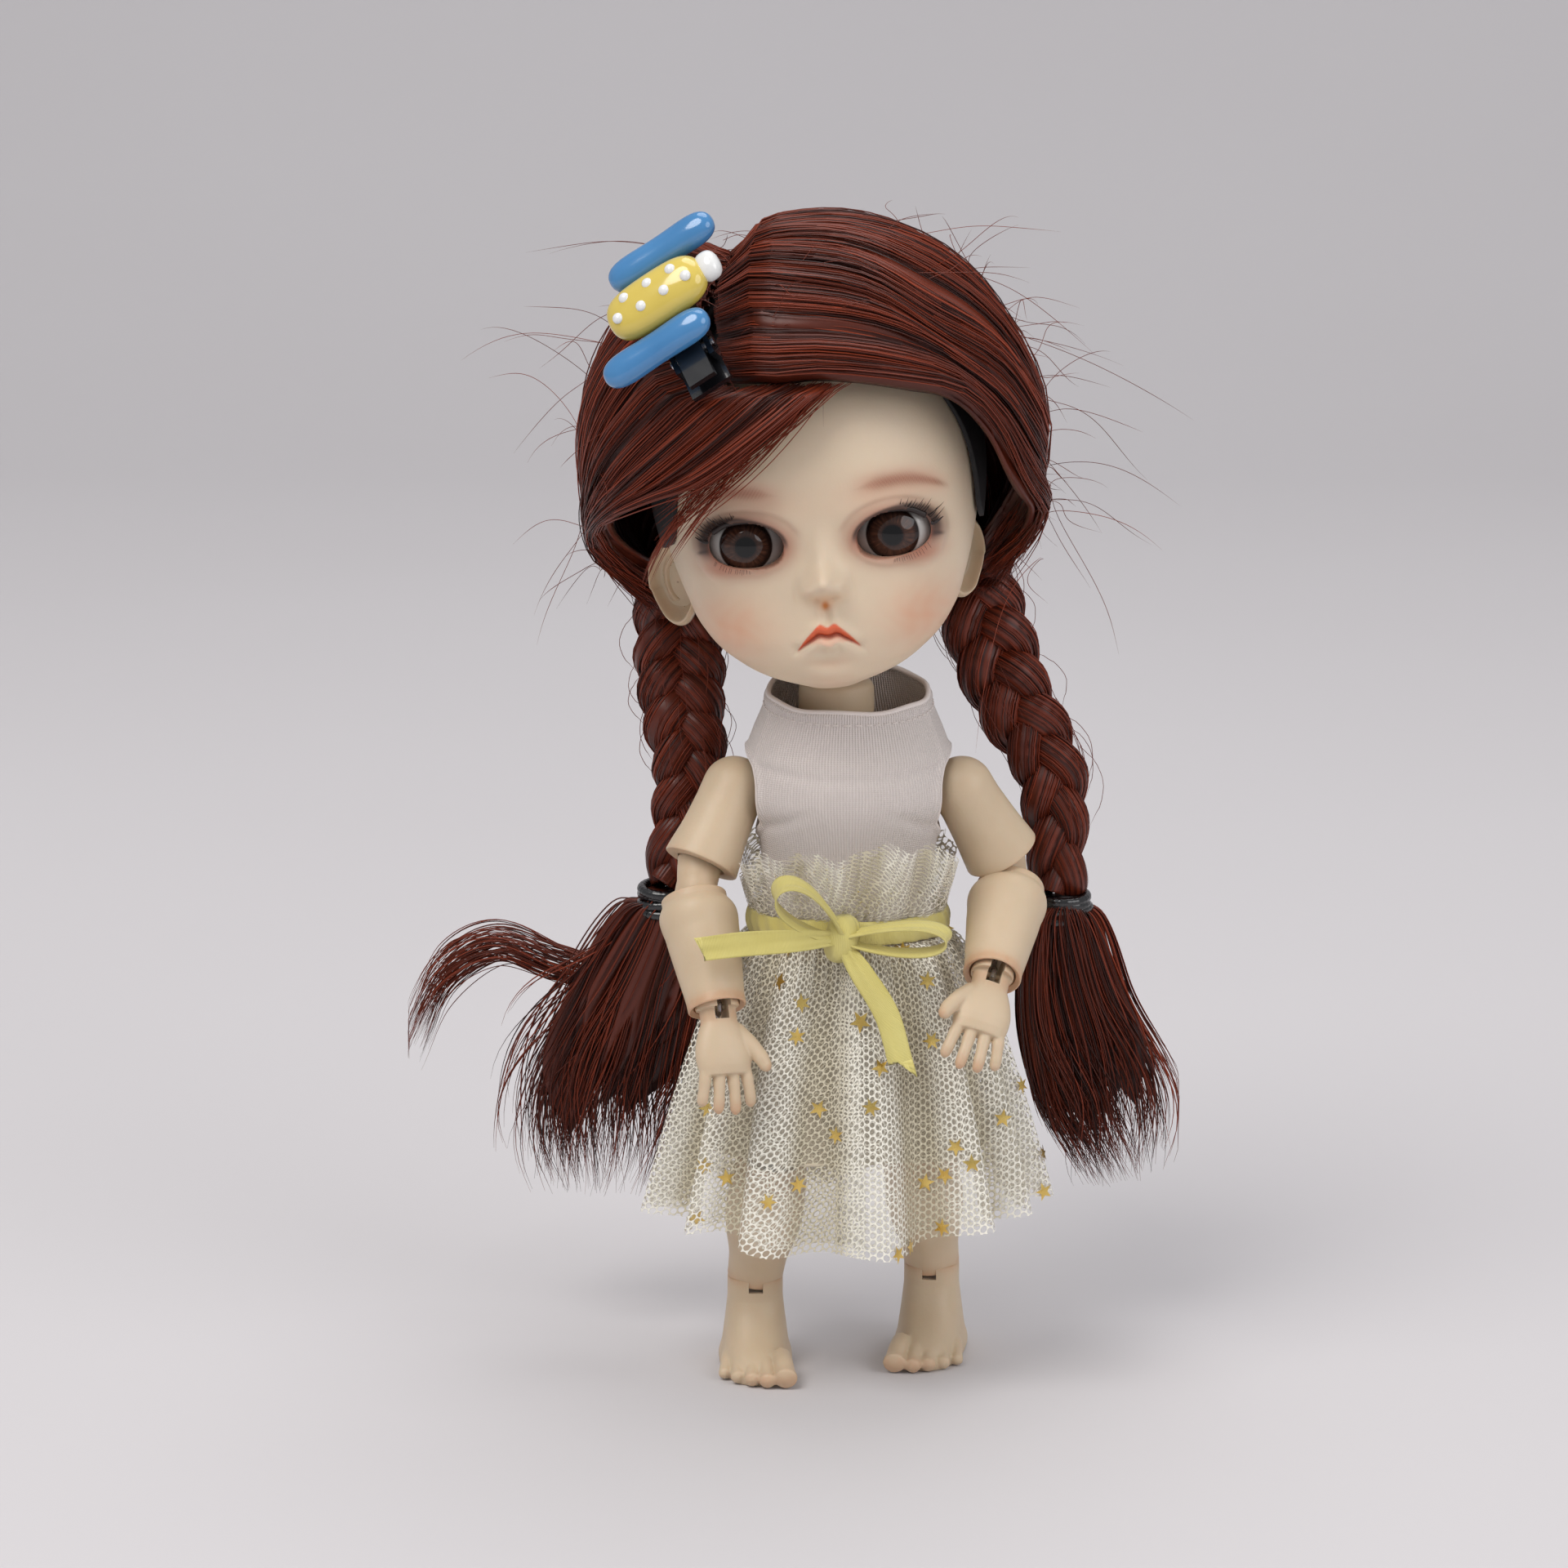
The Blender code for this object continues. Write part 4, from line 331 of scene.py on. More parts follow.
def merged(made, distance=0.000002):
    """Welds the points that lie together, so that poles and seams are closed."""
    work = bmesh.new()
    work.from_mesh(made.data)
    bmesh.ops.remove_doubles(work, verts=work.verts, dist=distance)
    bmesh.ops.dissolve_degenerate(work, edges=work.edges, dist=distance / 4)
    bmesh.ops.recalc_face_normals(work, faces=work.faces)
    work.to_mesh(made.data)
    work.free()
    return made


def cut_away(made, *cutters):
    """Cuts closed shapes out of a piece with the exact solver, and keeps the result as its mesh."""
    for k, (points, faces) in enumerate(cutters):
        other = piece(f"{made.name}_cut_{k}", points, faces, made.data.materials[0], smooth=False)
        merged(other)
        step = made.modifiers.new("cut", "BOOLEAN")
        step.solver = "EXACT"
        step.object = other
        final = bpy.data.meshes.new_from_object(made.evaluated_get(bpy.context.evaluated_depsgraph_get()))
        made.modifiers.clear()
        made.data = final
        bpy.data.objects.remove(other)
    made.data.set_sharp_from_angle(angle=math.radians(38))
    return made


def box_of(place, low, high):
    """A box in a place's own frame, as points and faces."""
    x, y, z = ((low[k], high[k]) for k in range(3))
    corners = [(x[i], y[j], z[k]) for k in (0, 1) for i, j in ((0, 0), (1, 0), (1, 1), (0, 1))]
    faces = [(0, 3, 2, 1), (4, 5, 6, 7), (0, 1, 5, 4), (1, 2, 6, 5), (2, 3, 7, 6), (3, 0, 4, 7)]
    return place.out(corners), faces


def eased(along, table):
    """A smooth reading of a table of (place, value) pairs. Each stretch is a cubic that keeps the
    table's slopes."""
    table = np.asarray(table, float)
    x, y = table[:, 0], table[:, 1:]
    slope = np.gradient(y, x, axis=0)
    along = np.asarray(along, float)
    k = np.clip(np.searchsorted(x, along) - 1, 0, len(x) - 2)
    width = (x[k + 1] - x[k])[..., None]
    t = np.clip((along - x[k])[..., None] / width, 0, 1)
    value = y[k] * (2 * t**3 - 3 * t**2 + 1) + slope[k] * width * (t**3 - 2 * t**2 + t)
    value = value + y[k + 1] * (3 * t**2 - 2 * t**3) + slope[k + 1] * width * (t**3 - t**2)
    return value[..., 0] if table.shape[1] == 2 else value


def limb(name, place, levels, blushes, count=56, power=1.0, cutters=()):
    """One resin piece: a stack of rings in its own frame, with the blush read from a table of heights."""
    levels = np.asarray(levels, float)
    points = closed(ring(*levels.T, count, power))
    heights = points[..., 2]
    value = eased(heights, blushes) if blushes else np.zeros(heights.shape)
    made = piece(name, place.out(points.reshape(-1, 3)), grid_faces(*points.shape[:2], False, True),
            resin.material, values={"blush": value}, sharp=38)
    merged(made)
    made.data.set_sharp_from_angle(angle=math.radians(38))
    if cutters:
        cut_away(made, *cutters)
    return made


def worn(made, node, body_name):
    """Puts a piece in place of its CAD node, on that node's body."""
    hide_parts(node)
    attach(made, body_name)
    return made


def fine(table, count=46):
    """A table of limb levels read at many even heights."""
    table = np.asarray(table, float)
    along = np.linspace(0, 1, count)
    along = np.unique(np.concatenate([along, table[:, 0]]))
    return along, eased(along, table)


def ball_levels(radius, first, last, steps, z=0.0):
    angle = np.radians(np.linspace(first, last, steps))
    r = radius * np.sin(angle)
    return np.stack([z + radius * np.cos(angle), r, r, r], axis=1)


def at(name):
    """The place of a joint, in millimetres."""
    return np.array(joint[name]["pos_m"]) * 1000


def axis(name):
    return unit(joint[name]["axis"])


class Frame:
    """A place with its own X, Y and Z. Shapes are drawn in it in millimetres, then put into the row
    frame."""

    def __init__(self, origin, x, z):
        self.origin = np.asarray(origin, float)
        z = unit(z)
        x = unit(x - z * (x @ z))
        self.turn = np.stack([x, np.cross(z, x), z], axis=1)

    def out(self, points):
        return self.origin + np.asarray(points, float) @ self.turn.T

    def into(self, points):
        return (np.asarray(points, float) - self.origin) @ self.turn

    def way(self, direction):
        return self.turn @ np.asarray(direction, float)


GAP = 0.3
for side, word in ((-1, "right"), (1, "left")):
    shoulder, elbow, fore, wrist = (at(f"{each}_{word}{more}")
            for each, more in (("shoulder", "_swing"), ("elbow", "_upper"), ("elbow", "_lower"),
            ("wrist", "_turn")))
    bend = axis(f"elbow_{word}_upper")

    # The upper arm, with its round head in the shoulder and a straight-cut end at the elbow.
    place = Frame(shoulder, bend, shoulder - elbow)
    along, reach = fine([(0.22, 4.6, 4.6, 4.6), (0.42, 4.82, 4.70, 4.70), (0.66, 5.10, 4.93, 4.93),
            (0.88, 5.43, 5.32, 5.32), (1.0, 5.60, 5.49, 5.49)])
    levels = np.concatenate([ball_levels(4.6, 12, 90, 16), np.column_stack([-12.0 * along, reach])])
    made = limb(f"upper_arm_{word}_shell", place, shell(levels, low_cup=(-12.8, 3.4 + GAP)),
            [(-12.4, 0.42), (-11.2, 0.10), (-7.0, 0.0), (5.0, 0.0)])
    worn(made, f"upper_arm_{word}", f"upper_arm_{word}")

    # The elbow is a two-headed piece, slotted at both ends so that the elastic can bend with it.
    place = Frame(elbow, bend, elbow - fore)
    levels = np.concatenate([ball_levels(3.4, 14, 72, 14),
            [[-2.3 + 0.5, 2.98, 2.98, 2.98], [-2.3, 2.92, 2.92, 2.92], [-2.3 - 0.5, 2.98, 2.98, 2.98]],
            ball_levels(3.33, 108, 166, 14, -4.6)])
    slots = [box_of(place, (-1.17, -6, 0.0), (1.17, 6, 6)), box_of(place, (-1.17, -6, -10.6),
            (1.17, 6, -4.6))]
    made = limb(f"elbow_{word}_piece", place, levels, [(-8, 0.5), (-4.6, 0.12), (-2.3, 0.3), (0, 0.12),
            (4, 0.5)], 44, 1.0, slots)
    worn(made, f"elbow_{word}", f"elbow_{word}")

    # The forearm, wide below the elbow and cut straight there, slim at the wrist.
    place = Frame(fore, bend, fore - wrist)
    along, reach = fine([(0.0476, 5.04, 4.48, 4.93), (0.1076, 5.60, 5.15, 5.49), (0.35, 5.43, 5.32, 5.32),
            (0.62, 4.87, 4.82, 4.82), (0.84, 4.42, 4.37, 4.37), (0.93, 4.20, 4.20, 4.20)])
    made = limb(f"forearm_{word}_shell", place,
            shell(np.column_stack([-16.8 * along, reach]), (-16.8, 3.1 + GAP), (0.0, 3.4 + GAP)),
            [(-16.2, 0.75), (-15.2, 0.28), (-12.0, 0.0), (-4.0, 0.0), (-1.8, 0.12), (0.0, 0.40)])
    worn(made, f"forearm_{word}", f"forearm_{word}")

    hip, knee, shin, ankle = (at(f"{each}_{word}{more}") for each,
            more in (("hip", "_swing"), ("knee", "_upper"), ("knee", "_lower"), ("ankle", "_turn")))
    bend = axis(f"knee_{word}_upper")

    # The thigh, fullest below the hip, with a cup over the knee.
    place = Frame(hip, bend, hip - knee)
    along, reach = fine([(0.30, 6.0, 6.05, 6.15), (0.45, 6.5, 6.44, 6.63), (0.62, 6.37, 6.3, 6.37),
            (0.82, 5.59, 5.59, 5.46), (0.955, 5.2, 5.2, 4.55)])
    levels = np.concatenate([ball_levels(5.6, 14, 84, 16), np.column_stack([-17.8 * along, reach])])
    made = limb(f"thigh_{word}_shell", place, shell(levels, low_cup=(-17.8, 3.9 + GAP)),
            [(-17.4, 0.55), (-15.8, 0.16), (-11.0, 0.0), (6.0, 0.0)])
    worn(made, f"thigh_{word}", f"thigh_{word}")

    # The knee, again a two-headed piece with its two slots.
    place = Frame(knee, bend, knee - shin)
    levels = np.concatenate([ball_levels(3.9, 14, 72, 14),
            [[-2.5 + 0.5, 3.42, 3.42, 3.42], [-2.5, 3.35, 3.35, 3.35], [-2.5 - 0.5, 3.42, 3.42, 3.42]],
            ball_levels(3.82, 108, 166, 14, -5.0)])
    slots = [box_of(place, (-1.17, -7, 0.0), (1.17, 7, 7)), box_of(place, (-1.17, -7, -12.0),
            (1.17, 7, -5.0))]
    made = limb(f"knee_{word}_piece", place, levels, [(-9, 0.6), (-5.0, 0.2), (-2.5, 0.35), (0, 0.2),
            (4, 0.6)], 44, 1.0, slots)
    worn(made, f"knee_{word}", f"knee_{word}")

    # The shin, with a low calf behind and a flared rim over the ankle.
    place = Frame(shin, bend, shin - ankle)
    drop = float(np.linalg.norm(shin - ankle))
    top, rim = 0.8 / drop, 1 - 0.75 / drop
    along, reach = fine([(top, 4.98, 4.98, 3.71), (top + 0.06, 5.30, 5.30, 4.98), (0.28, 5.59, 5.47, 5.81),
            (0.48, 5.70, 5.47, 6.04), (0.66, 5.13, 5.02, 5.36), (0.82, 4.35, 4.35, 4.43),
            (rim, 4.1, 4.1, 4.1)])
    made = limb(f"shin_{word}_shell", place,
            shell(np.column_stack([-drop * along, reach]), (-drop, 3.4 + GAP), (0.0, 3.9 + GAP)),
            [(-drop, 0.80), (-drop + 1.6, 0.28), (-drop + 5.0, 0.0), (-6.0, 0.05), (-3.0, 0.42),
            (-1.2, 0.5), (0.0, 0.6)])
    worn(made, f"shin_{word}", f"shin_{word}")


# The torso is one hollow casting with a shallow domed neck and cups for the four limbs.
# Only the neck and the shoulders show above the dress.
def hill(value, centre, reach):
    return np.exp(-(((np.asarray(value, float) - centre) / reach) ** 2))


hips, neck = 0.5 * (at("hip_right_swing") + at("hip_left_swing")), at("neck_turn")
stand = Frame(hips, (1, 0, 0), (0, 0, 1))
TORSO = [(0.0, 0.66, 0.50, 0.60), (0.05, 0.86, 0.76, 0.86), (0.12, 0.97, 0.96, 1.0), (0.20, 0.94, 0.97, 1.0),
        (0.31, 0.82, 0.88, 0.88), (0.48, 0.80, 0.88, 0.84),
        (0.64, 0.86, 0.97, 0.92), (0.78, 0.93, 0.97, 0.96), (0.88, 0.87, 0.85, 0.86), (0.95, 0.66, 0.72, 0.74)]
along, reach = fine(TORSO, 60)
reach = reach * (13.8, 8.6, 8.6)
neck_at = neck - hips
body_rings = ring(2.2 + 37.3 * along, *reach.T, 72, 0.9)
neck_rings = np.concatenate([ring(neck_at[2] - 6.0, 6.50, 6.38, 6.38, 72, 1.0, *neck_at[:2]),
        ring(neck_at[2] - 3.9, 5.45, 5.45, 5.45, 72, 1.0, *neck_at[:2]),
        *[ring(neck_at[2] + rise, *[r] * 3, 72, 1.0, *neck_at[:2])
        for r, rise in ((5.45, -1.2), (5.40, 1.5), (5.05, 2.25), (4.0, 2.85), (2.6, 3.15))]])
knots = np.concatenate([body_rings[-1:], neck_rings[:2]])
slope = eased(np.linspace(0, 2, 17)[1:-1], np.column_stack([np.arange(3),
        knots.reshape(3, -1)])).reshape(-1, 72, 3)
points = closed(np.concatenate([body_rings, slope, neck_rings[1:]]))
rise = points[..., 2]
# The blush ring round the base of the neck is partly the body's own blush and partly painted shade under the
# chin.
value = 0.55 * hill(rise, neck_at[2] - 3.6, 1.6) + 0.10
torso_piece = piece("torso_cast", stand.out(points.reshape(-1, 3)),
        grid_faces(*points.shape[:2], False, True), resin.material, values={"blush": value}, sharp=38)
merged(torso_piece)


def ball_shape(centre, radius, count=28):
    angle = np.linspace(0.001, np.pi - 0.001, count // 2)
    levels = np.stack([radius * np.cos(angle), *[radius * np.sin(angle)] * 3], axis=1)
    points = ring(*levels.T, count) + centre
    return stand.out(points.reshape(-1, 3)), grid_faces(count // 2, count, False, True)


def carried(path, first=(0.0, 0.0, 1.0)):
    """Two sideways directions at each place of a path, or of many paths at once, carried along without
    twist."""
    path = np.asarray(path, float)
    tangent = unit(np.gradient(path, axis=-2))
    side = np.broadcast_to(np.asarray(first, float), path.shape[:-2] + (3,)).copy()
    sides = np.empty_like(path)
    for k in range(path.shape[-2]):
        t = tangent[..., k, :]
        side = side - t * (side * t).sum(-1, keepdims=True)
        side = unit(side + 1e-9)
        sides[..., k, :] = side
    return sides, np.cross(tangent, sides)


def tube(path, radius, count=12, flat=1.0, closed=False, first=(0.0, 0.0, 1.0)):
    """Points and faces of a round or flattened tube along a path. The ends close on their own middles."""
    path = np.asarray(path, float)
    radius = np.broadcast_to(np.asarray(radius, float), (len(path),))
    if closed:
        long = np.concatenate([path[-2:], path, path[:2]])
        u, v = (each[2:-2] for each in carried(long, first))
    else:
        u, v = carried(path, first)
    turn = np.linspace(0, 2 * np.pi, count, endpoint=False)
    ring = u[:, None] * np.cos(turn)[None, :, None] + v[:, None] * np.sin(turn)[None, :, None] * flat
    points = path[:, None] + ring * radius[:, None, None]
    if closed:
        return points, grid_faces(len(path), count, True, True)
    start = np.repeat(path[:1], count, axis=0)[None]
    end = np.repeat(path[-1:], count, axis=0)[None]
    points = np.concatenate([start, points, end])
    return points, grid_faces(len(points), count, False, True)


sockets = []
for side, word in ((-1, "right"), (1, "left")):
    sockets.append(ball_shape(at(f"shoulder_{word}_swing") - hips, 4.6 + GAP))
    sockets.append(ball_shape(at(f"hip_{word}_swing") - hips, 5.6 + GAP))
    drop = np.array([0, -math.sin(math.radians(60.0)), -math.cos(math.radians(60.0))])
    path = (at(f"hip_{word}_swing") - hips) + drop * np.linspace(0, 17.8, 3)[:, None]
    room, faces = tube(path, 6.5 + GAP * 2, 28, first=(1, 0, 0))
    sockets.append((stand.out(room.reshape(-1, 3)), faces))
cut_away(torso_piece, *sockets)
worn(torso_piece, "torso", "torso")


# The hands and feet are carved forms, so each is built from overlapping rounded shapes,
# joined into one skin, smoothed, and slotted across its ball for the pin and the wire.
def gathered(parts):
    """Several (points, faces) shapes as one set of points and faces."""
    points, faces, start = [], [], 0
    for p, f in parts:
        p = np.asarray(p, float).reshape(-1, 3)
        points.append(p)
        faces.append(np.asarray(f).reshape(-1, 4) + start)
        start += len(p)
    return np.concatenate(points), np.concatenate(faces)


def carved(name, place, parts, voxel, smoothing, blush_from, slot_half, slot_deep, ball, pin=0.4,
        floor=None):
    """Overlapping closed shapes in a place's frame, as one smooth skin with its slot and pin."""
    points, faces = gathered(parts)
    made = piece(name, place.out(points), faces, resin.material)
    merged(made)
    remesh = made.modifiers.new("skin", "REMESH")
    remesh.mode = "VOXEL"
    remesh.voxel_size = voxel * 0.001
    soft = made.modifiers.new("soft", "CORRECTIVE_SMOOTH")
    soft.factor, soft.iterations, soft.use_only_smooth = 0.5, smoothing, True
    mesh = bpy.data.meshes.new_from_object(made.evaluated_get(bpy.context.evaluated_depsgraph_get()))
    made.modifiers.clear()
    made.data = mesh
    where = np.empty(len(mesh.vertices) * 3, np.float32)
    mesh.vertices.foreach_get("co", where)
    local = place.into(where.reshape(-1, 3) * 1000)
    if floor is not None:
        local[:, 2] = np.maximum(local[:, 2], floor)
        mesh.vertices.foreach_set("co", (place.out(local) * 0.001).astype(np.float32).ravel())
    mesh.attributes.new("blush", "FLOAT", "POINT").data.foreach_set("value",
            np.clip(blush_from(local), 0, 1).astype(np.float32))
    mesh.shade_smooth()
    cut_away(made, box_of(place, (-slot_half, -ball - 2, -slot_deep), (slot_half, ball + 2, ball + 2)))
    pin_points, pin_faces = tube([(-ball * 0.8, 0, 0), (0, 0, 0), (ball * 0.8, 0, 0)], pin, 12)
    rod = piece(f"{name}_pin", place.out(pin_points.reshape(-1, 3)), pin_faces, resin.material)
    merged(rod)
    return made, rod


def through(points, count):
    """Places on a smooth curve through a few chosen points."""
    points = np.asarray(points, float)
    knots = np.linspace(0, 1, len(points))
    return eased(np.linspace(0, 1, count), np.column_stack([knots, points]))


def hand_parts(side):
    """Ball, palm, four fingers with a knuckle each and a thumb, as the hand hangs down from its wrist."""
    levels = np.concatenate([ball_levels(3.1, 14, 100, 12)[::-1]])
    along, reach = fine([(0.30, 2.70, 1.76, 1.76), (0.55, 3.53, 1.98, 1.98), (0.85, 4.10, 2.07, 2.07),
            (1.15, 4.02, 1.85, 1.85), (1.33, 3.69, 1.36, 1.36)], 18)
    palm = np.concatenate([ball_levels(3.1, 10, 96, 14), np.column_stack([-7.4 * along, reach])])
    parts = []
    rings = closed(ring(*palm.T, 32, 0.9))
    parts.append((rings, grid_faces(*rings.shape[:2], False, True)))
    base = -7.4 * 1.22
    for k, share in enumerate((0.88, 1.05, 1.0, 0.80)):
        x = side * (1.5 - k) * -2.05 * 0.98
        spread = 0.10 * (1.5 - k) * -side
        length = 6.0 * share
        path = through([(x * 0.92, 0.1, base + 2.6), (x, -0.1, base),
                (x + spread * length * 0.4, 0.22, base - length * 0.40),
                (x + spread * length * 0.75, 0.75, base - length * 0.74),
                (x + spread * length, 1.45, base - length)], 22)
        t = np.linspace(0, 1, 22)
        radius = 0.92 - 0.14 * t + 0.07 * hill(t, 0.42, 0.09) + 0.05 * hill(t, 0.74, 0.08)
        radius *= np.clip(((1.02 - t) / 0.12), 0, 1) ** 0.5
        parts.append(tube(path, radius, 14, 0.92, first=(1, 0, 0)))
    path = through([(-side * 2.2, 0.1, -3.4), (-side * 4.0, -0.7, -5.7), (-side * 5.2, -1.3, -7.9),
            (-side * 5.9, -1.6, -9.9)], 20)
    t = np.linspace(0, 1, 20)
    radius = (1.42 - 0.55 * t + 0.10 * hill(t, 0.66, 0.10)) * np.clip((1.02 - t) / 0.12, 0, 1) ** 0.5
    parts.append(tube(path, radius, 16, 0.95, first=(1, 0, 0)))
    return parts


def ramp(value, low, high):
    """0 below low, 1 above high, and a smooth rise between them."""
    t = np.clip((np.asarray(value, float) - low) / (high - low), 0, 1)
    return t * t * (3 - 2 * t)


def hand_blush(local):
    """Rosy finger tips, knuckles and wrist."""
    z = local[:, 2]
    tips = ramp(-z, 12.0, 15.5) * 0.75 + ramp(np.abs(local[:, 0]), 4.8, 6.2) * ramp(-z, 7.5, 10) * 0.7
    return tips + 0.30 * hill(z, -9.6, 0.9) * ramp(local[:, 1], 0.4, 1.4) + 0.55 * hill(z, -1.4, 1.5) + 0.05


def foot_parts(side):
    """Ankle ball, instep, a flat sole and five toes, with the foot pointing to the front."""
    thin = 4.1
    high = at(f"ankle_{'right' if side < 0 else 'left'}_turn")[2]
    along, reach = fine([(0.24, thin, 4.18, 4.02), (0.42, 4.35, 5.54, 4.51), (0.62, 4.67, 8.41, 5.54),
            (0.80, 5.0, 12.1, 6.15), (0.92, 5.43, 13.3, 6.5), (1.0, 5.35, 13.2, 6.45)], 26)
    levels = np.concatenate([ball_levels(3.4, 10, 90, 14), np.column_stack([-high * along, reach])])
    rings = ring(*levels.T, 40, 0.85)
    rings = closed(rings)
    parts = [(rings, grid_faces(*rings.shape[:2], False, True))]
    sizes = (1.45, 1.05, 1.0, 0.92, 0.82)
    x = -side * 5.6
    for k, share in enumerate(sizes):
        width = 11.2 * share / sum(sizes)
        centre_x = x + side * width / 2
        x += side * width
        back = 16.2 * (0.02 + 0.018 * k * k)
        tip = -16.2 + back
        high_toe = -high + width * 0.52
        path = through([(centre_x * 0.86, tip + 7.0, -high + 3.3 - 0.25 * k),
                (centre_x * 0.95, tip + 4.2, high_toe + 1.25), (centre_x, tip + 1.8, high_toe + 0.35),
                (centre_x, tip + 0.35, high_toe)], 16)
        t = np.linspace(0, 1, 16)
        radius = width * (0.46 + 0.10 * hill(t, 0.86, 0.22)) * np.clip((1.01 - t) / 0.14, 0, 1) ** 0.5
        parts.append(tube(path, radius, 16, 0.96, first=(1, 0, 0)))
    return parts, high


def foot_blush(local, high):
    return 0.60 * ramp(-local[:, 1], 11.5, 15.5) * ramp(local[:, 2] + high, 4.4,
            1.2) + 0.75 * hill(local[:, 2], 0.6, 1.6) + 0.35 * ramp(local[:, 1], 4.0,
            6.8) * hill(local[:, 2] + high, 3.0, 3.0) + 0.06


for side, word in ((-1, "right"), (1, "left")):
    turn_axis = axis(f"wrist_{word}_turn")
    place = Frame(at(f"wrist_{word}_turn"), -axis(f"wrist_{word}_bend"), turn_axis)
    lean = math.radians(10.0)
    place.turn = place.turn @ np.array([[1, 0, 0], [0, math.cos(lean), -math.sin(lean)],
            [0, math.sin(lean), math.cos(lean)]])
    made, rod = carved(f"hand_{word}_carved", place, hand_parts(side), 0.15, 5, hand_blush, 1.05, 1.9, 3.1)
    worn(made, f"hand_{word}", f"hand_{word}")
    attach(rod, f"hand_{word}")
    place = Frame(at(f"ankle_{word}_turn"), axis(f"ankle_{word}_pitch"), (0, 0, 1))
    parts, high = foot_parts(side)
    made, rod = carved(f"foot_{word}_carved", place, parts, 0.2, 6, lambda local: foot_blush(local, high),
            1.05, 1.9, 3.4, floor=-high)
    worn(made, f"foot_{word}", f"foot_{word}")
    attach(rod, f"foot_{word}")


# The wire hooks and the elastics inside the limbs keep their plain shapes.
steel = Finish("bright_wire", tint(176, 176, 180), 0.26, Metallic=1.0)
steel.set("Roughness", 0.20 + steel.noise(1800.0, 3.0) * 0.16)
rubber = Finish("braided_elastic", tint(228, 226, 218), 0.72)
rubber.set("Base Color", rubber.mix(rubber.noise(5200.0, 2.0).step(0.35, 0.65), tint(236, 234, 228),
        tint(196, 192, 182)))
rubber.bump(rubber.noise(6000.0, 1.0), 0.0001)


def finish_node(node, finish):
    data = bpy.data.objects[node].data
    for k in range(len(data.materials)):
        data.materials[k] = finish.material
    if not len(data.materials):
        data.materials.append(finish.material)


for node in ("neck_hook", "hand_hook_right", "hand_hook_left", "foot_hook_right", "foot_hook_left",
        "clip_pin"):
    finish_node(node, steel)
for node in ("arm_elastic", "leg_elastic_right", "leg_elastic_left"):
    finish_node(node, rubber)


# The head is a hollow resin casting. Its face is airbrushed and painted by hand, then
# sealed: warm shadow round the eyes, blush on the cheeks, fine brows and an orange mouth.
skull = Frame(neck, axis("head_nod"), axis("neck_turn"))
faced = Frame(neck, skull.way((math.cos(0.10), -math.sin(0.10), 0)), axis("neck_turn"))
HEAD_SIDE = [(0.0, 0.29), (0.03, 0.54), (0.07, 0.70), (0.13, 0.81), (0.20, 0.865), (0.30, 0.925),
        (0.42, 0.975), (0.55, 1.0), (0.67, 0.975), (0.78, 0.875), (0.88, 0.69), (0.95, 0.46), (0.985, 0.25),
        (1.0, 0.0)]
HEAD_FRONT = [(0.0, 0.55), (0.03, 0.72), (0.07, 0.82), (0.13, 0.885), (0.20, 0.915), (0.30, 0.935),
        (0.42, 0.955), (0.55, 0.985), (0.67, 0.945), (0.78, 0.83), (0.88, 0.64), (0.95, 0.41),
        (0.985, 0.22), (1.0, 0.0)]
HEAD_BACK = [(0.0, 0.30), (0.03, 0.42), (0.07, 0.53), (0.13, 0.66), (0.20, 0.77), (0.30, 0.88),
        (0.42, 0.96), (0.55, 1.0), (0.67, 0.975), (0.78, 0.87), (0.88, 0.68), (0.95, 0.45), (0.985, 0.24),
        (1.0, 0.0)]
EYE_X, EYE_Y, EYE_Z = 10.2, -13.8, 26.1


def head_form(turn, level, grow=0.0):
    """A point of the bare head: its reach to side, front and back is read at a share of its height, and
    the nape tips up."""
    side, front, back = (eased(level, table) * size + grow for table,
            size in ((HEAD_SIDE, 23.1), (HEAD_FRONT, 24.8), (HEAD_BACK, 23.8)))
    c, s = np.cos(turn), np.sin(turn)
    x = side * np.sign(c) * abs(c) ** 0.94
    y = np.where(s > 0, back, front) * np.sign(s) * abs(s) ** 0.94
    z = 4.0 + 54.6 * level
    behind = y + front
    return np.stack([x, y, z + 0.44 * np.maximum(0, 1 - level / 0.5) ** 1.5 * behind**2
            / (abs(behind) + front * 0.6)], axis=-1)


def swell(x, z, cx, cz, wide, tall):
    return np.exp(-(((x - cx) / wide) ** 2) - ((z - cz) / tall) ** 2)


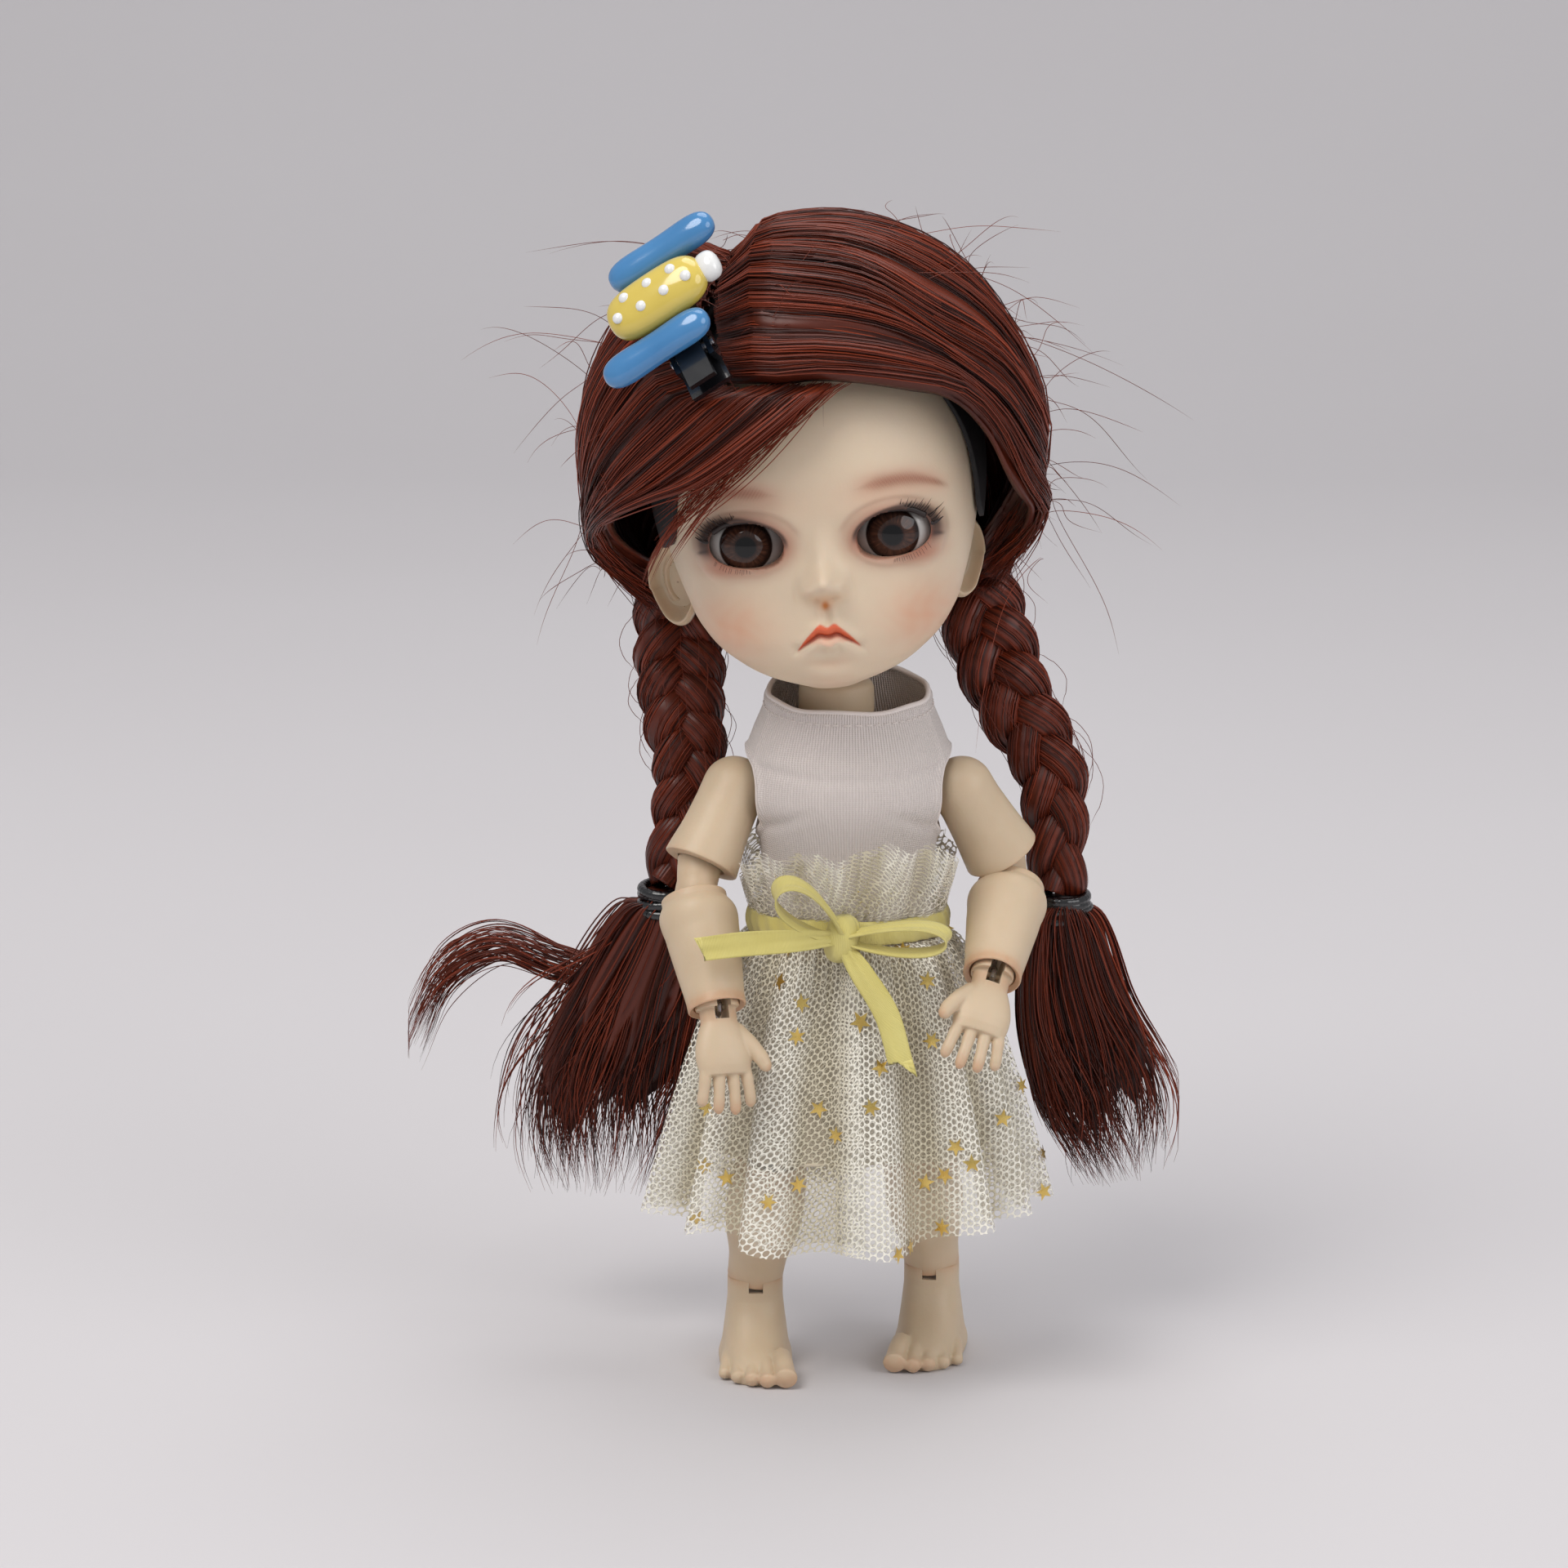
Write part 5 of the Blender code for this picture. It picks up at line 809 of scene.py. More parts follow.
def face_form(p):
    """The relief of the face, drawn forward out of the smooth head: lids, brow, nose, lips, cheeks and
    chin."""
    x, y, z = p[..., 0], p[..., 1], p[..., 2]
    out = np.zeros(x.shape)
    for side in (-1, 1):
        across, rise = x - side * EYE_X, z - EYE_Z
        inside = 8.0**2 - across**2 - (rise * 1.04) ** 2
        lid = np.where(inside > 0, -EYE_Y + np.sqrt(np.maximum(inside, 0)) + y, 0)
        out += np.log1p(np.exp(np.clip(lid * 4.0, -30, 30))) / 4.0 * (inside > 0) * ramp(inside, 0.0, 14.0)
        out -= 0.35 * swell(x, z, side * EYE_X, EYE_Z + 6.6, 7.5, 1.8)
        out += 0.25 * swell(x, z, side * EYE_X, EYE_Z + 9.8, 8.0, 2.4)
        out += 0.75 * swell(x, z, side * 12.0, 13.5, 6.0, 5.0)
        outline = np.hypot(across / 5.0, rise / 3.5)
        out -= 0.16 * hill(outline, 1.46, 0.10) * ramp(rise, 0.4, 2.0)
        out += 0.16 * hill(outline, 1.14, 0.10)
        out -= 0.22 * swell(x, z, side * 5.2, EYE_Z - 0.6, 1.6, 1.6)
    out -= 0.9 * swell(x, z, 0, EYE_Z, 3.4, 3.8)
    out += 3.5 * swell(x, z, 0, 20.6, 2.25, 2.15) + 1.45 * swell(x, z, 0, 24.2, 1.7, 3.6)
    for side in (-1, 1):
        out += 1.10 * swell(x, z, side * 2.25, 19.7, 1.05, 1.15)
        out -= 0.60 * swell(x, z, side * 1.10, 18.35, 0.70, 0.45)
        out -= 0.35 * swell(x, z, side * 3.7, 19.8, 0.55, 1.5)
    out -= 0.28 * swell(x, z, 0, 16.3, 0.62, 1.5)
    for side in (-1, 1):
        out += 0.20 * swell(x, z, side * 0.95, 16.2, 0.5, 1.4)
        out += 0.34 * swell(x, z, side * 1.4, 14.3, 1.25, 0.75)
        out -= 0.30 * swell(x, z, side * 4.6, 11.3, 0.8, 0.8)
    part = lip_line(x)
    out += 0.90 * np.exp(-((x / 3.5) ** 2) - ((z - part - 0.85) / 0.95) ** 2)
    out += 1.00 * np.exp(-((x / 2.6) ** 2) - ((z - part + 1.35) / 1.05) ** 2)
    out -= 1.00 * np.exp(-((x / 3.8) ** 4) - ((z - part + 0.10) / 0.34) ** 2)
    out -= 0.50 * swell(x, z, 0, 8.7, 3.0, 0.9)
    out += 1.0 * swell(x, z, 0, 5.8, 4.4, 3.0)
    front = ramp(-y, 5.0, 9.0)
    return np.stack([x, y - out * front, z], axis=-1)


def lip_line(x):
    """The height of the line between the lips: a shallow M with its corners drawn down."""
    return 13.35 - 1.45 * (abs(x) / 3.4) ** 1.7 - 0.34 * np.exp(-((x / 0.85) ** 2)) + 0.22 * hill(abs(x),
            1.35, 0.7)


def lid_reach(angle, side):
    """How far the opening between the lids reaches from the middle of the eye, at an angle from its
    outer corner."""
    c, s = np.cos(angle), np.sin(angle)
    tall = np.where(s > 0, 3.40, 3.10)
    power = np.where(s > 0, 2.15, 2.25)
    reach = ((abs(c) / 4.95) ** power + (abs(s) / tall) ** power) ** (-1 / power)
    return reach * (1 + 0.05 * hill(c, 1.0, 0.25) + 0.03 * hill(c, -1.0, 0.2))


# The grid is finest over the eyes, nose and mouth. It wraps the whole head below the crown.
across = np.linspace(-1, 1, 420)
column_turn = -np.pi / 2 + np.pi * (0.30 * across + 0.70 * across**3)
steps = np.linspace(0, 1, 250)
level = 0.86 * (0.80 * steps + 0.20 * steps**2)
turn_grid, level_grid = np.meshgrid(column_turn, level)
face = face_form(head_form(turn_grid, level_grid))
under = np.linspace(0.06, 0.94, 8)[:, None, None]
chin_middle = face[0].mean(axis=0)
face = np.concatenate([chin_middle + (face[:1] - chin_middle) * under, face])
x, y, z = face[..., 0], face[..., 1], face[..., 2]
keep = np.ones(face.shape[:2], bool)
rims = np.zeros(face.shape[:2])
for side in (-1, 1):
    dx, dz = side * (x - side * EYE_X), z - EYE_Z
    angle = np.arctan2(dz - 0.06 * dx, dx)
    reach = lid_reach(angle, side)
    share = np.hypot(dx, dz - 0.06 * dx) / reach
    near = (y < -8) & (share < 1.0)
    depth = np.clip((1 - share) / 0.22, 0, 1)
    pull = np.where(near, 1.0 / np.maximum(share, 0.05), 1.0)
    new_dx, new_dz = dx * pull, (dz - 0.06 * dx) * pull + 0.06 * dx * pull
    face[..., 0] = np.where(near, side * new_dx + side * EYE_X, face[..., 0])
    face[..., 2] = np.where(near, new_dz + EYE_Z, face[..., 2])
    wall_y = EYE_Y - np.sqrt(np.maximum(8.0**2 - new_dx**2 - (new_dz * 1.04) ** 2, 9.0))
    face[..., 1] = np.where(near, wall_y - 0.10 + 1.5 * depth**1.6, face[..., 1])
    rims += np.where(near, 1.0 - depth, hill(share, 1.0, 0.05)) * (y < -8)
    keep &= ~(near & (share < 0.78))
x, y, z = face[..., 0], face[..., 1], face[..., 2]


def over(base, colour, share):
    share = np.clip(share, 0, 1)[..., None]
    return base * (1 - share) + np.array(tint(*colour)) * share


paint = np.broadcast_to(np.array(tint(222, 202, 176)), face.shape).copy()
grain = 0.5 + 0.5 * np.sin(x * 1.7 + 2.0 * np.sin(z * 0.9)) * np.sin(z * 1.3 + 1.5 * np.sin(x * 0.7))
for side in (-1, 1):
    ex, ez = side * (x - side * EYE_X), z - EYE_Z
    cheek = swell(x, z, side * 13.4, 14.2, 5.2, 4.6)
    paint = over(paint, (216, 142, 106), 0.52 * cheek * (0.85 + 0.3 * grain))
    # A pink band under each brow, over the hollow above the lid: partly eyeshadow and partly painted shade in
    # that hollow.
    paint = over(paint, (212, 152, 122), 0.30 * swell(ex, ez, -0.5, 6.0, 7.2, 2.8))
    ring_share = np.hypot(ex / 5.0, ez / 3.4)
    paint = over(paint, (158, 98, 80), 0.80 * np.exp(-((np.maximum(ring_share - 1.0, 0)) / 0.42) ** 2)
            * (0.74 + 0.26 * ramp(ez, -3.2, 1.5)))
    paint = over(paint, (176, 96, 68), 0.60 * swell(ex, ez, 4.2, -3.1, 2.8, 1.5))
    paint = over(paint, (96, 54, 44), 0.75 * swell(ex, ez, 5.6, -0.2, 1.7, 1.5))
    paint = over(paint, (170, 108, 84), 0.30 * swell(ex, ez, -5.4, -0.4, 1.4, 1.8))
    # The lid crease is darkened: partly a painted crease line and partly painted shade in the crease.
    crease = hill(np.hypot(ex / 5.0, ez / 3.5), 1.46, 0.12) * ramp(ez, 0.2, 2.2)
    paint = over(paint, (140, 84, 66), 0.22 * crease)
    angle = np.arctan2(ez - 0.06 * ex, ex)
    share = np.hypot(ex, ez - 0.06 * ex) / lid_reach(angle, side)
    outer = ramp(np.cos(angle), -0.8, 0.9)
    dark = (1 - ramp(share, 1.08 + 0.10 * outer, 1.19 + 0.20 * outer)) * ramp(ez, -1.0 - 0.8 * outer, 0.9)
    paint = over(paint, (52, 30, 27), 0.95 * dark)
    wing_line = -0.2 - 0.16 * (ex - 4.6) - 0.05 * (ex - 4.6) ** 2
    paint = over(paint, (48, 28, 26), 0.90 * np.exp(-(((ez - wing_line)
            / (0.50 - 0.10 * np.clip(ex - 4.4, 0, 4))) ** 2)) * ramp(ex, 4.0,
            4.6) * (1 - ramp(ex, 6.4, 7.4)))
    arc = 7.7 - np.where(ex > 1.0, 0.046, 0.018) * (ex - 1.0) ** 2
    half = 0.78 * ramp(ex, -5.0, -1.5) * (1 - 0.60 * ramp(ex, 2.0, 8.6)) + 0.10
    body_share = np.exp(-(((ez - arc) / half) ** 2)) * ramp(ex, -5.6, -0.4) * (1 - ramp(ex, 6.4, 8.6))
    hairs = 0.80 + 0.20 * np.sin(ex * 13.0 + ez * 9.0)
    paint = over(paint, (122, 72, 50), 0.92 * body_share * hairs)
    paint = over(paint, (196, 130, 104), 0.42 * np.exp(-(((ez - arc - 0.1) / 1.5) ** 2)) * ramp(ex, -6.4,
            -2.4) * (1 - ramp(ex, 5.6, 9.0)))
# Under the nose tip: a peach band across the nostrils and an orange-brown mark, partly nostril paint and partly
# painted shade under the nose.
paint = over(paint, (222, 168, 116), 0.34 * swell(x, z, 0, 18.4, 2.6, 0.9))
paint = over(paint, (196, 118, 56), 0.80 * swell(x, z, 0, 17.3, 0.50, 0.75)
        + 0.34 * swell(x, z, 0, 17.5, 1.5, 0.9))
part = lip_line(x)
upper = part + 1.45 * np.clip(1 - (abs(x) / 4.2) ** 2.0, 0, 1) ** 0.9 + 0.18 * hill(abs(x), 0.95,
        0.5) - 0.10 * hill(x, 0, 0.4)
lip = ramp(z, part - 0.32, part - 0.02) * (1 - ramp(z, upper - 0.20, upper + 0.12)) * (1
        - ramp(abs(x), 3.95, 4.35))
paint = over(paint, (222, 88, 42), 0.95 * lip)
low = part - 1.35 * np.clip(1 - (abs(x) / 3.0) ** 2, 0, 1)
paint = over(paint, (232, 176, 150), 0.55 * ramp(z, low - 0.45,
        low + 0.15) * (1 - ramp(z, part - 0.30, part - 0.05)) * (1 - ramp(abs(x), 2.3, 3.0)))
line = np.exp(-(((z - part + 0.12) / 0.20) ** 2)) * (1 - ramp(abs(x), 4.1, 4.55))
paint = over(paint, (190, 66, 26), 0.92 * line)
# Painted shade in the groove under the lower lip.
paint = over(paint, (214, 168, 138), 0.35 * swell(x, z, 0, 8.9, 3.2, 0.8))
paint = over(paint, (226, 172, 142), 0.22 * swell(x, z, 0, 5.0, 4.2, 2.4))
# The walls of the eye openings are dark brown above and red-brown below: partly lid-rim paint and partly
# painted shade inside the openings, darkest under the upper lid.
paint = over(paint, (86, 50, 38), 0.92 * np.clip(rims, 0, 1) * ramp(z, EYE_Z - 1.2, EYE_Z + 1.4))
paint = over(paint, (150, 84, 62), 0.60 * np.clip(rims, 0, 1) * (1 - ramp(z, EYE_Z - 1.2, EYE_Z + 1.4)))
paint = np.where((y < -2)[..., None], paint, np.array(tint(222, 202, 176)))

seam_y = math.cos(math.radians(32)) * (y - 6.0) + math.sin(math.radians(32)) * (z - 44.0)
keep &= seam_y < -0.15
faces = grid_faces(*face.shape[:2])
kept = keep.reshape(-1)[faces].all(axis=1)
made_skin = Finish("painted_face", (0.8, 0.66, 0.52), 0.46, Specular_IOR_Level=0.40, Subsurface_Weight=0.12,
        Subsurface_Scale=0.002)
made_skin.set("Base Color", made_skin.mix(made_skin.noise(700.0, 3.0) * 0.10,
        made_skin.value("paint", "Color"), tint(206, 176, 146)))
made_skin.set("Roughness", 0.42 + made_skin.noise(1400.0, 2.0) * 0.14)
made_skin.bump(made_skin.noise(2600.0, 2.0), 0.000015)
face_piece = piece("face_cast", faced.out(face.reshape(-1, 3)), faces[kept], made_skin.material,
        values={"paint": paint})
merged(face_piece, 0.000004)
worn(face_piece, "head_face", "head")

# The neck turns in a cup inside the head, whose rim shows from below.
levels = np.array([[4.4, 4.8, 4.8, 4.8], [4.4, 7.0, 7.0, 7.0], [4.8, 7.3, 7.3, 7.3], [12.0, 7.2, 7.2, 7.2],
        [12.0, 3.0, 3.0, 3.0]])
cup_in = [[z, *[math.sqrt(6.5**2 - z * z)] * 3] for z in np.linspace(5.8, 4.4, 10)]
cup_rings = ring(*np.concatenate([levels, cup_in, levels[:1]]).T, 56)
cup_piece = piece("neck_cup_wall", skull.out(cup_rings.reshape(-1, 3)),
        grid_faces(*cup_rings.shape[:2], False, True), resin.material, sharp=38)
merged(cup_piece)
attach(cup_piece, "head")
finish_node("head_cap", resin)


# The ears are thin cupped shells with a rolled rim, a deep bowl and a soft lobe.
for side, word in ((-1, "right"), (1, "left")):
    turn = np.linspace(0, 2 * np.pi, 90, endpoint=False)[None, :]
    out_share = np.linspace(0.02, 1, 34)[:, None]
    height = 5.9 * np.where(np.sin(turn) > 0, 1.0, 1.04)
    wide = 3.75 * np.where(np.sin(turn) > 0, 1.06, 0.84 + 0.16 * (1 + np.sin(turn)))
    u = out_share * np.cos(turn) * wide
    w = out_share * np.sin(turn) * height
    rim = 0.95 * hill(out_share, 0.90, 0.085) - 1.25 * (1 - out_share**2) ** 0.6 * ramp(out_share, 1.0, 0.6)
    inner_fold = 0.55 * hill(np.hypot(u * side / 2.4 + 0.35, (w - 0.3) / 3.6), 1.0, 0.16) * (w > -2.6)
    bowl = -0.70 * np.exp(-(((u * side + 0.9) / 1.5) ** 2) - ((w + 0.6) / 2.0) ** 2)
    lobe = 0.35 * np.exp(-(((w + 4.8) / 1.3) ** 2))
    front = -(rim + inner_fold + bowl + lobe) - 0.15
    back = 0.95 * (1 - out_share**2.4) ** 0.7 + 0 * turn
    grid = np.concatenate([np.stack([u, front, w], -1), np.stack([u * 1.02, np.full(u.shape, 0.15),
            w * 1.01], -1)[-1:], np.stack([u, back, w], -1)[::-1]])
    # The ear's blush is strongest where the ear is hollowed, in its bowl: partly blush and partly painted shade
    # in the hollows.
    shade = 0.22 * ramp(0.35 - (rim + inner_fold + bowl), 0.2, 1.6) * ramp(out_share, 0.95, 0.8) + 0.10
    value = np.concatenate([shade + 0 * turn, np.full((1, 90), 0.14), np.full(u.shape, 0.10)])
    lean, splay = math.radians(8 * side), math.radians(32 * side)
    tip = np.array([[math.cos(lean), 0, math.sin(lean)], [0, 1, 0], [-math.sin(lean), 0, math.cos(lean)]])
    swing = np.array([[math.cos(splay), -math.sin(splay), 0], [math.sin(splay), math.cos(splay), 0],
            [0, 0, 1]])
    grid = (grid + [side * 2.2, 0, 0]) @ (swing @ tip).T + [side * 18.9 - 0.7, 2.6, 18.4]
    ear = piece(f"ear_{word}", skull.out(grid.reshape(-1, 3)), grid_faces(*grid.shape[:2], False, True),
            resin.material, values={"blush": value})
    merged(ear)
    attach(ear, "head")


# The eyes are glass half balls with a clear raised front, brown threads in the iris
# and a black pupil. They sit in the hollow head behind the openings of the lids.
def strands(paths, radius, sides=3, first=(0.0, 0.0, 1.0)):
    """Many thin tapering tubes at once: paths is strand by place by xyz. Also gives each point's share
    along its strand."""
    paths = np.asarray(paths, float)
    many, places = paths.shape[:2]
    along = np.linspace(0, 1, places)
    taper = np.clip(np.minimum(along / 0.06 + 0.35, (1 - along) / 0.25 + 0.12), 0, 1)
    radius = np.broadcast_to(np.asarray(radius, float).reshape(-1, 1), (many, 1)) * taper[None]
    u, v = carried(paths, first)
    turn = np.linspace(0, 2 * np.pi, sides, endpoint=False)
    ring = u[:, :, None] * np.cos(turn)[:, None] + v[:, :, None] * np.sin(turn)[:, None]
    points = paths[:, :, None] + ring * radius[:, :, None, None]
    one = grid_faces(places, sides, False, True)
    faces = (one[None] + (np.arange(many) * places * sides)[:, None, None]).reshape(-1, 4)
    share = np.broadcast_to(along[None, :, None], (many, places, sides))
    return points.reshape(-1, 3), faces, share.reshape(-1)


glass = Finish("eye_glass", (0.4, 0.4, 0.4), 0.06, Coat_Weight=0.25, Coat_Roughness=0.02,
        Specular_IOR_Level=0.3)
glass.set("Base Color", glass.value("paint", "Color"))
glass.set("Roughness", 0.05 + glass.noise(800.0, 2.0) * 0.05)
for side, word in ((-1, "right"), (1, "left")):
    spokes = 200
    turn = np.linspace(0, 2 * np.pi, spokes, endpoint=False)[None, :]
    angle = np.radians(np.concatenate([np.linspace(0.05, 34, 56), np.linspace(35, 96, 34)]))[:, None]
    r = 7.0 * np.sin(angle) * np.ones((1, spokes))
    out = 7.0 * np.cos(angle) + 0.6 * np.clip(1 - (7.0 * np.sin(angle) / 3.7) ** 2, 0, 1)
    grid = np.stack([r * np.cos(turn) + side * EYE_X, EYE_Y - out + 0 * turn, r * np.sin(turn) + EYE_Z], -1)
    q = np.hypot(grid[..., 0] - side * EYE_X + 0.15, grid[..., 2] - EYE_Z + 0.05)
    threads = 0.5 + 0.28 * np.sin(turn * 23 + 2 * np.sin(turn * 5)) + 0.22 * np.sin(turn * 41
            + 3 * np.sin(turn * 7) + 1) + 0 * q
    threads = threads * (0.75 + 0.25 * np.sin(q * 5 + 2 * np.sin(turn * 9)))
    colour = np.broadcast_to(np.array(tint(176, 172, 168)), grid.shape).copy()
    # The white turns greyer and pinker towards the corners: painted shade where the lids close over the eye.
    colour = over(colour, (150, 118, 104), 0.4 * ramp(q, 4.0, 5.6))
    iris = 1 - ramp(q, 3.55, 3.80)
    colour = over(colour, (46, 27, 21), iris)
    colour = over(colour, (104, 66, 48), iris * 0.62 * threads * ramp(q, 1.5,
            2.0) * (1 - ramp(q, 2.7, 3.4)))
    colour = over(colour, (18, 11, 9), iris * 0.85 * ramp(q, 2.9, 3.6))
    colour = over(colour, (60, 42, 34), iris * 0.55 * hill(q, 1.95, 0.25) * (1 - threads))
    colour = over(colour, (6, 5, 6), 1 - ramp(q, 1.30, 1.62))
    # The top of the eye is painted dark: the painted shadow of the upper lid.
    colour = over(colour, (30, 18, 16), 0.80 * ramp(grid[..., 2], EYE_Z + 1.4, EYE_Z + 3.3))
    eye = piece(f"eye_{word}_glass", faced.out(grid.reshape(-1, 3)),
            grid_faces(*grid.shape[:2], False, True), glass.material, values={"paint": colour})
    merged(eye, 0.000003)
    worn(eye, f"eye_{word}", "head")

    # Lashes: a row of fine fibres along the upper lid, longest at the outer corner, and a few short ones below.
    count = 48
    angle = np.radians(np.linspace(172, 4, count)) + chance.normal(0, 0.012, count)
    reach = lid_reach(angle, side)
    rx, rz = reach * np.cos(angle), reach * np.sin(angle)
    rz = rz + 0.06 * rx
    ry = EYE_Y - np.sqrt(np.maximum(7.75**2 - rx**2 - rz**2, 4.0))
    outer = ramp(np.cos(angle), -0.6, 1.0)
    length = (1.0 + 1.25 * outer + chance.normal(0, 0.16, count)) * np.where(np.arange(count) % 3 == 0,
            1.15, 0.85)
    t = np.linspace(0, 1, 8)[None, :]
    fan = np.cos(angle) * 0.85 + chance.normal(0, 0.10, count)
    px = side * (rx[:, None] + (fan * length)[:, None] * t * (0.75 + 0.35 * t)) + side * EYE_X
    py = ry[:, None] + 0.25 - (length * 0.75)[:, None] * t * (1.1 - 0.35 * t)
    pz = rz[:, None] + 0.05 + length[:, None] * (0.10 * t + 0.62 * t**2) + EYE_Z
    fibres = np.stack([px, py, pz], -1)
    lid_path = np.stack([side * rx + side * EYE_X, ry - 0.12, rz + 0.12 + EYE_Z], -1)
    band = tube(through(lid_path[::6], 60), 0.16 + 0.30 * np.linspace(0, 1, 60) ** 0.6, 8, 0.8)
    wing = through([lid_path[-1], lid_path[-1] + [side * 0.9, 0.15, 0.15],
            lid_path[-1] + [side * 1.9, 0.55, 0.75]], 12)
    wing_tube = tube(wing, np.linspace(0.40, 0.05, 12), 8, 0.7)
    low_angle = np.radians(np.linspace(-24, -150, 26)) + chance.normal(0, 0.02, 26)
    low_reach = lid_reach(low_angle, side)
    lx, lz = low_reach * np.cos(low_angle) * 1.03, low_reach * np.sin(low_angle) * 1.03
    ly = EYE_Y - np.sqrt(np.maximum(8.1**2 - lx**2 - lz**2, 4.0))
    t6 = np.linspace(0, 1, 8)[None, :]
    low_len = 0.75 + chance.random(26)[:, None] * 0.3
    low = np.stack([side * (lx[:, None] + np.cos(low_angle)[:, None] * 0.5 * low_len * t6) + side * EYE_X,
            ly[:, None] + 0.02 - 0.16 * low_len * t6, lz[:, None] + 0.06 * lx[:, None]
            - low_len * t6 * 0.85 + EYE_Z], -1)
    shapes = [strands(fibres, 0.060, 4)[:2], strands(low, 0.028, 3)[:2], band, wing_tube]
    points, faces = gathered(shapes)
    if side < 0:
        lash = Finish("lash_fibre", tint(24, 15, 13), 0.5)
        lash.set("Base Color", lash.mix(lash.noise(2400.0), tint(18, 11, 10), tint(44, 27, 22)))
    lashes = piece(f"lash_{word}_fibres", faced.out(points), faces, lash.material)
    worn(lashes, f"lash_{word}", "head")


# The wig is fine fibre sewn to a stretchy black cap. Its locks leave a parting near the
# clip, sweep over the head in two directions, and gather into a plait behind each ear.
net = Finish("wig_net", tint(16, 14, 15), 0.75)
net.set("Base Color", net.mix(net.noise(1500.0), tint(10, 9, 10), tint(30, 27, 28)))
turn_grid, rise = np.meshgrid(np.linspace(-np.pi, np.pi, 180, endpoint=False) - np.pi / 2,
        np.linspace(0, 1, 40))
aside = abs(np.degrees((turn_grid + np.pi / 2 + np.pi) % (2 * np.pi) - np.pi))
edge = eased(aside, [(0, 0.90), (30, 0.86), (46, 0.77), (58, 0.60), (66, 0.44), (80, 0.37), (100, 0.34),
        (140, 0.30), (180, 0.28)])
cap_points = head_form(turn_grid, edge + (1.0 - edge) * rise, 1.0)
cap_points = np.concatenate([head_form(turn_grid, edge + (1.0 - edge) * rise, 0.35)[:1], cap_points])
cap_net = piece("wig_cap_net", skull.out(cap_points.reshape(-1, 3)),
        grid_faces(*cap_points.shape[:2], False, True), net.material)
merged(cap_net)
worn(cap_net, "wig_cap", "head")

hair = Finish("auburn_fibre", tint(96, 40, 26), 0.40, Specular_IOR_Level=0.36)
tone = hair.value("tone")
hair_colour = hair.mix(tone, tint(38, 13, 8), tint(152, 62, 34))
hair.set("Base Color", hair.mix(hair.noise(500.0, 3.0) * 0.30, hair_colour, tint(72, 26, 16)))
hair.set("Roughness", 0.32 + hair.noise(900.0, 2.0) * 0.14)
HAIR_MIDDLE = np.array([0, 0.5, 32.0])
FAMILY_A = [[(-33, 36), (-16, 33), (-2, 33), (19, 29), (37, 23), (46, 13), (52, 2), (60, -6), (75, -14),
        (94, -24), (108, -32)], [(-49, 60), (-11, 60), (20, 53), (37, 39), (55, 26), (66, 12), (84, -5),
        (108, -28)], [(-60, 69), (-16, 77), (33, 71), (52, 56), (66, 40), (80, 18), (96, -8), (108, -28)],
        [(-70, 75), (0, 88), (90, 70), (100, 45), (104, 20), (108, -8), (110, -26)],
        [(-120, 72), (150, 80), (130, 60), (120, 38), (115, 12), (112, -10), (110, -26)],
        [(-150, 62), (180, 62), (158, 45), (145, 25), (132, 2), (120, -16), (112, -28)],
        [(180, 34), (176, 20), (167, 5), (152, -10), (134, -21), (114, -30)],
        [(186, 2), (185, -10), (176, -20), (158, -28), (136, -32), (114, -33)]]
FAMILY_B = [[(2, 32), (-9, 24), (-24, 14), (-35, 8), (-45, 5), (-58, 1), (-76, -5), (-97, -17),
        (-112, -30)], [(-32, 33), (-47, 21), (-62, 10), (-73, 2), (-88, -8), (-103, -20), (-114, -30)],
        [(-48, 46), (-66, 30), (-78, 16), (-86, 4), (-98, -10), (-108, -22), (-114, -30)],
        [(-60, 62), (-82, 46), (-94, 30), (-102, 14), (-108, -4), (-112, -18), (-114, -28)],
        [(-80, 72), (-110, 58), (-118, 40), (-120, 22), (-119, 2), (-116, -14), (-114, -27)],
        [(-140, 68), (-150, 50), (-146, 34), (-138, 16), (-128, -2), (-120, -16), (-115, -27)],
        [(-174, 48), (-176, 30), (-170, 14), (-158, -2), (-142, -15), (-126, -24), (-115, -30)],
        [(-182, 12), (-185, -2), (-182, -13), (-170, -22), (-150, -30), (-130, -33), (-115, -33)]]


def facing(places):
    """Directions out of the middle of the hair, from degrees round (0 is the front) and degrees up."""
    az, el = np.radians(np.asarray(places, float)).T
    return np.stack([np.sin(az) * np.cos(el), -np.cos(az) * np.cos(el), np.sin(el)], axis=-1)


def on_hair(direction, lift):
    """The place where a direction meets the outside of the hair, a ball of power 2.15 with its own
    three reaches."""
    direction = unit(direction)
    back = np.where(direction[..., 1] > 0, 34.5, 32.5)
    r = ((abs(direction[..., 0]) / 33.5) ** 2.15 + (abs(direction[..., 1]) / back) ** 2.15
            + (abs(direction[..., 2]) / 37.0) ** 2.15) ** (-1 / 2.15)
    return HAIR_MIDDLE + direction * (r + lift)[..., None]


def swept(family, root, v, places, lift, aside):
    """Hair paths at shares v across a family of guides. They dive at the parting and gather at the root
    of the plait."""
    guides = np.stack([unit(through(facing(guide), places)) for guide in family])
    knots = np.linspace(0, 1, len(family))
    flat = eased(v, np.column_stack([knots, guides.reshape(len(family), -1)])).reshape(len(v), places, 3)
    u = np.linspace(0, 1, places)[None, :]
    dive = 3.4 * (1 - ramp(u, 0.0, 0.10))
    path = on_hair(flat, lift - dive)
    gather = ramp(u, 0.74, 1.0)[..., None]
    return path * (1 - gather) + (skull.into(root) + aside[:, None, :]) * gather


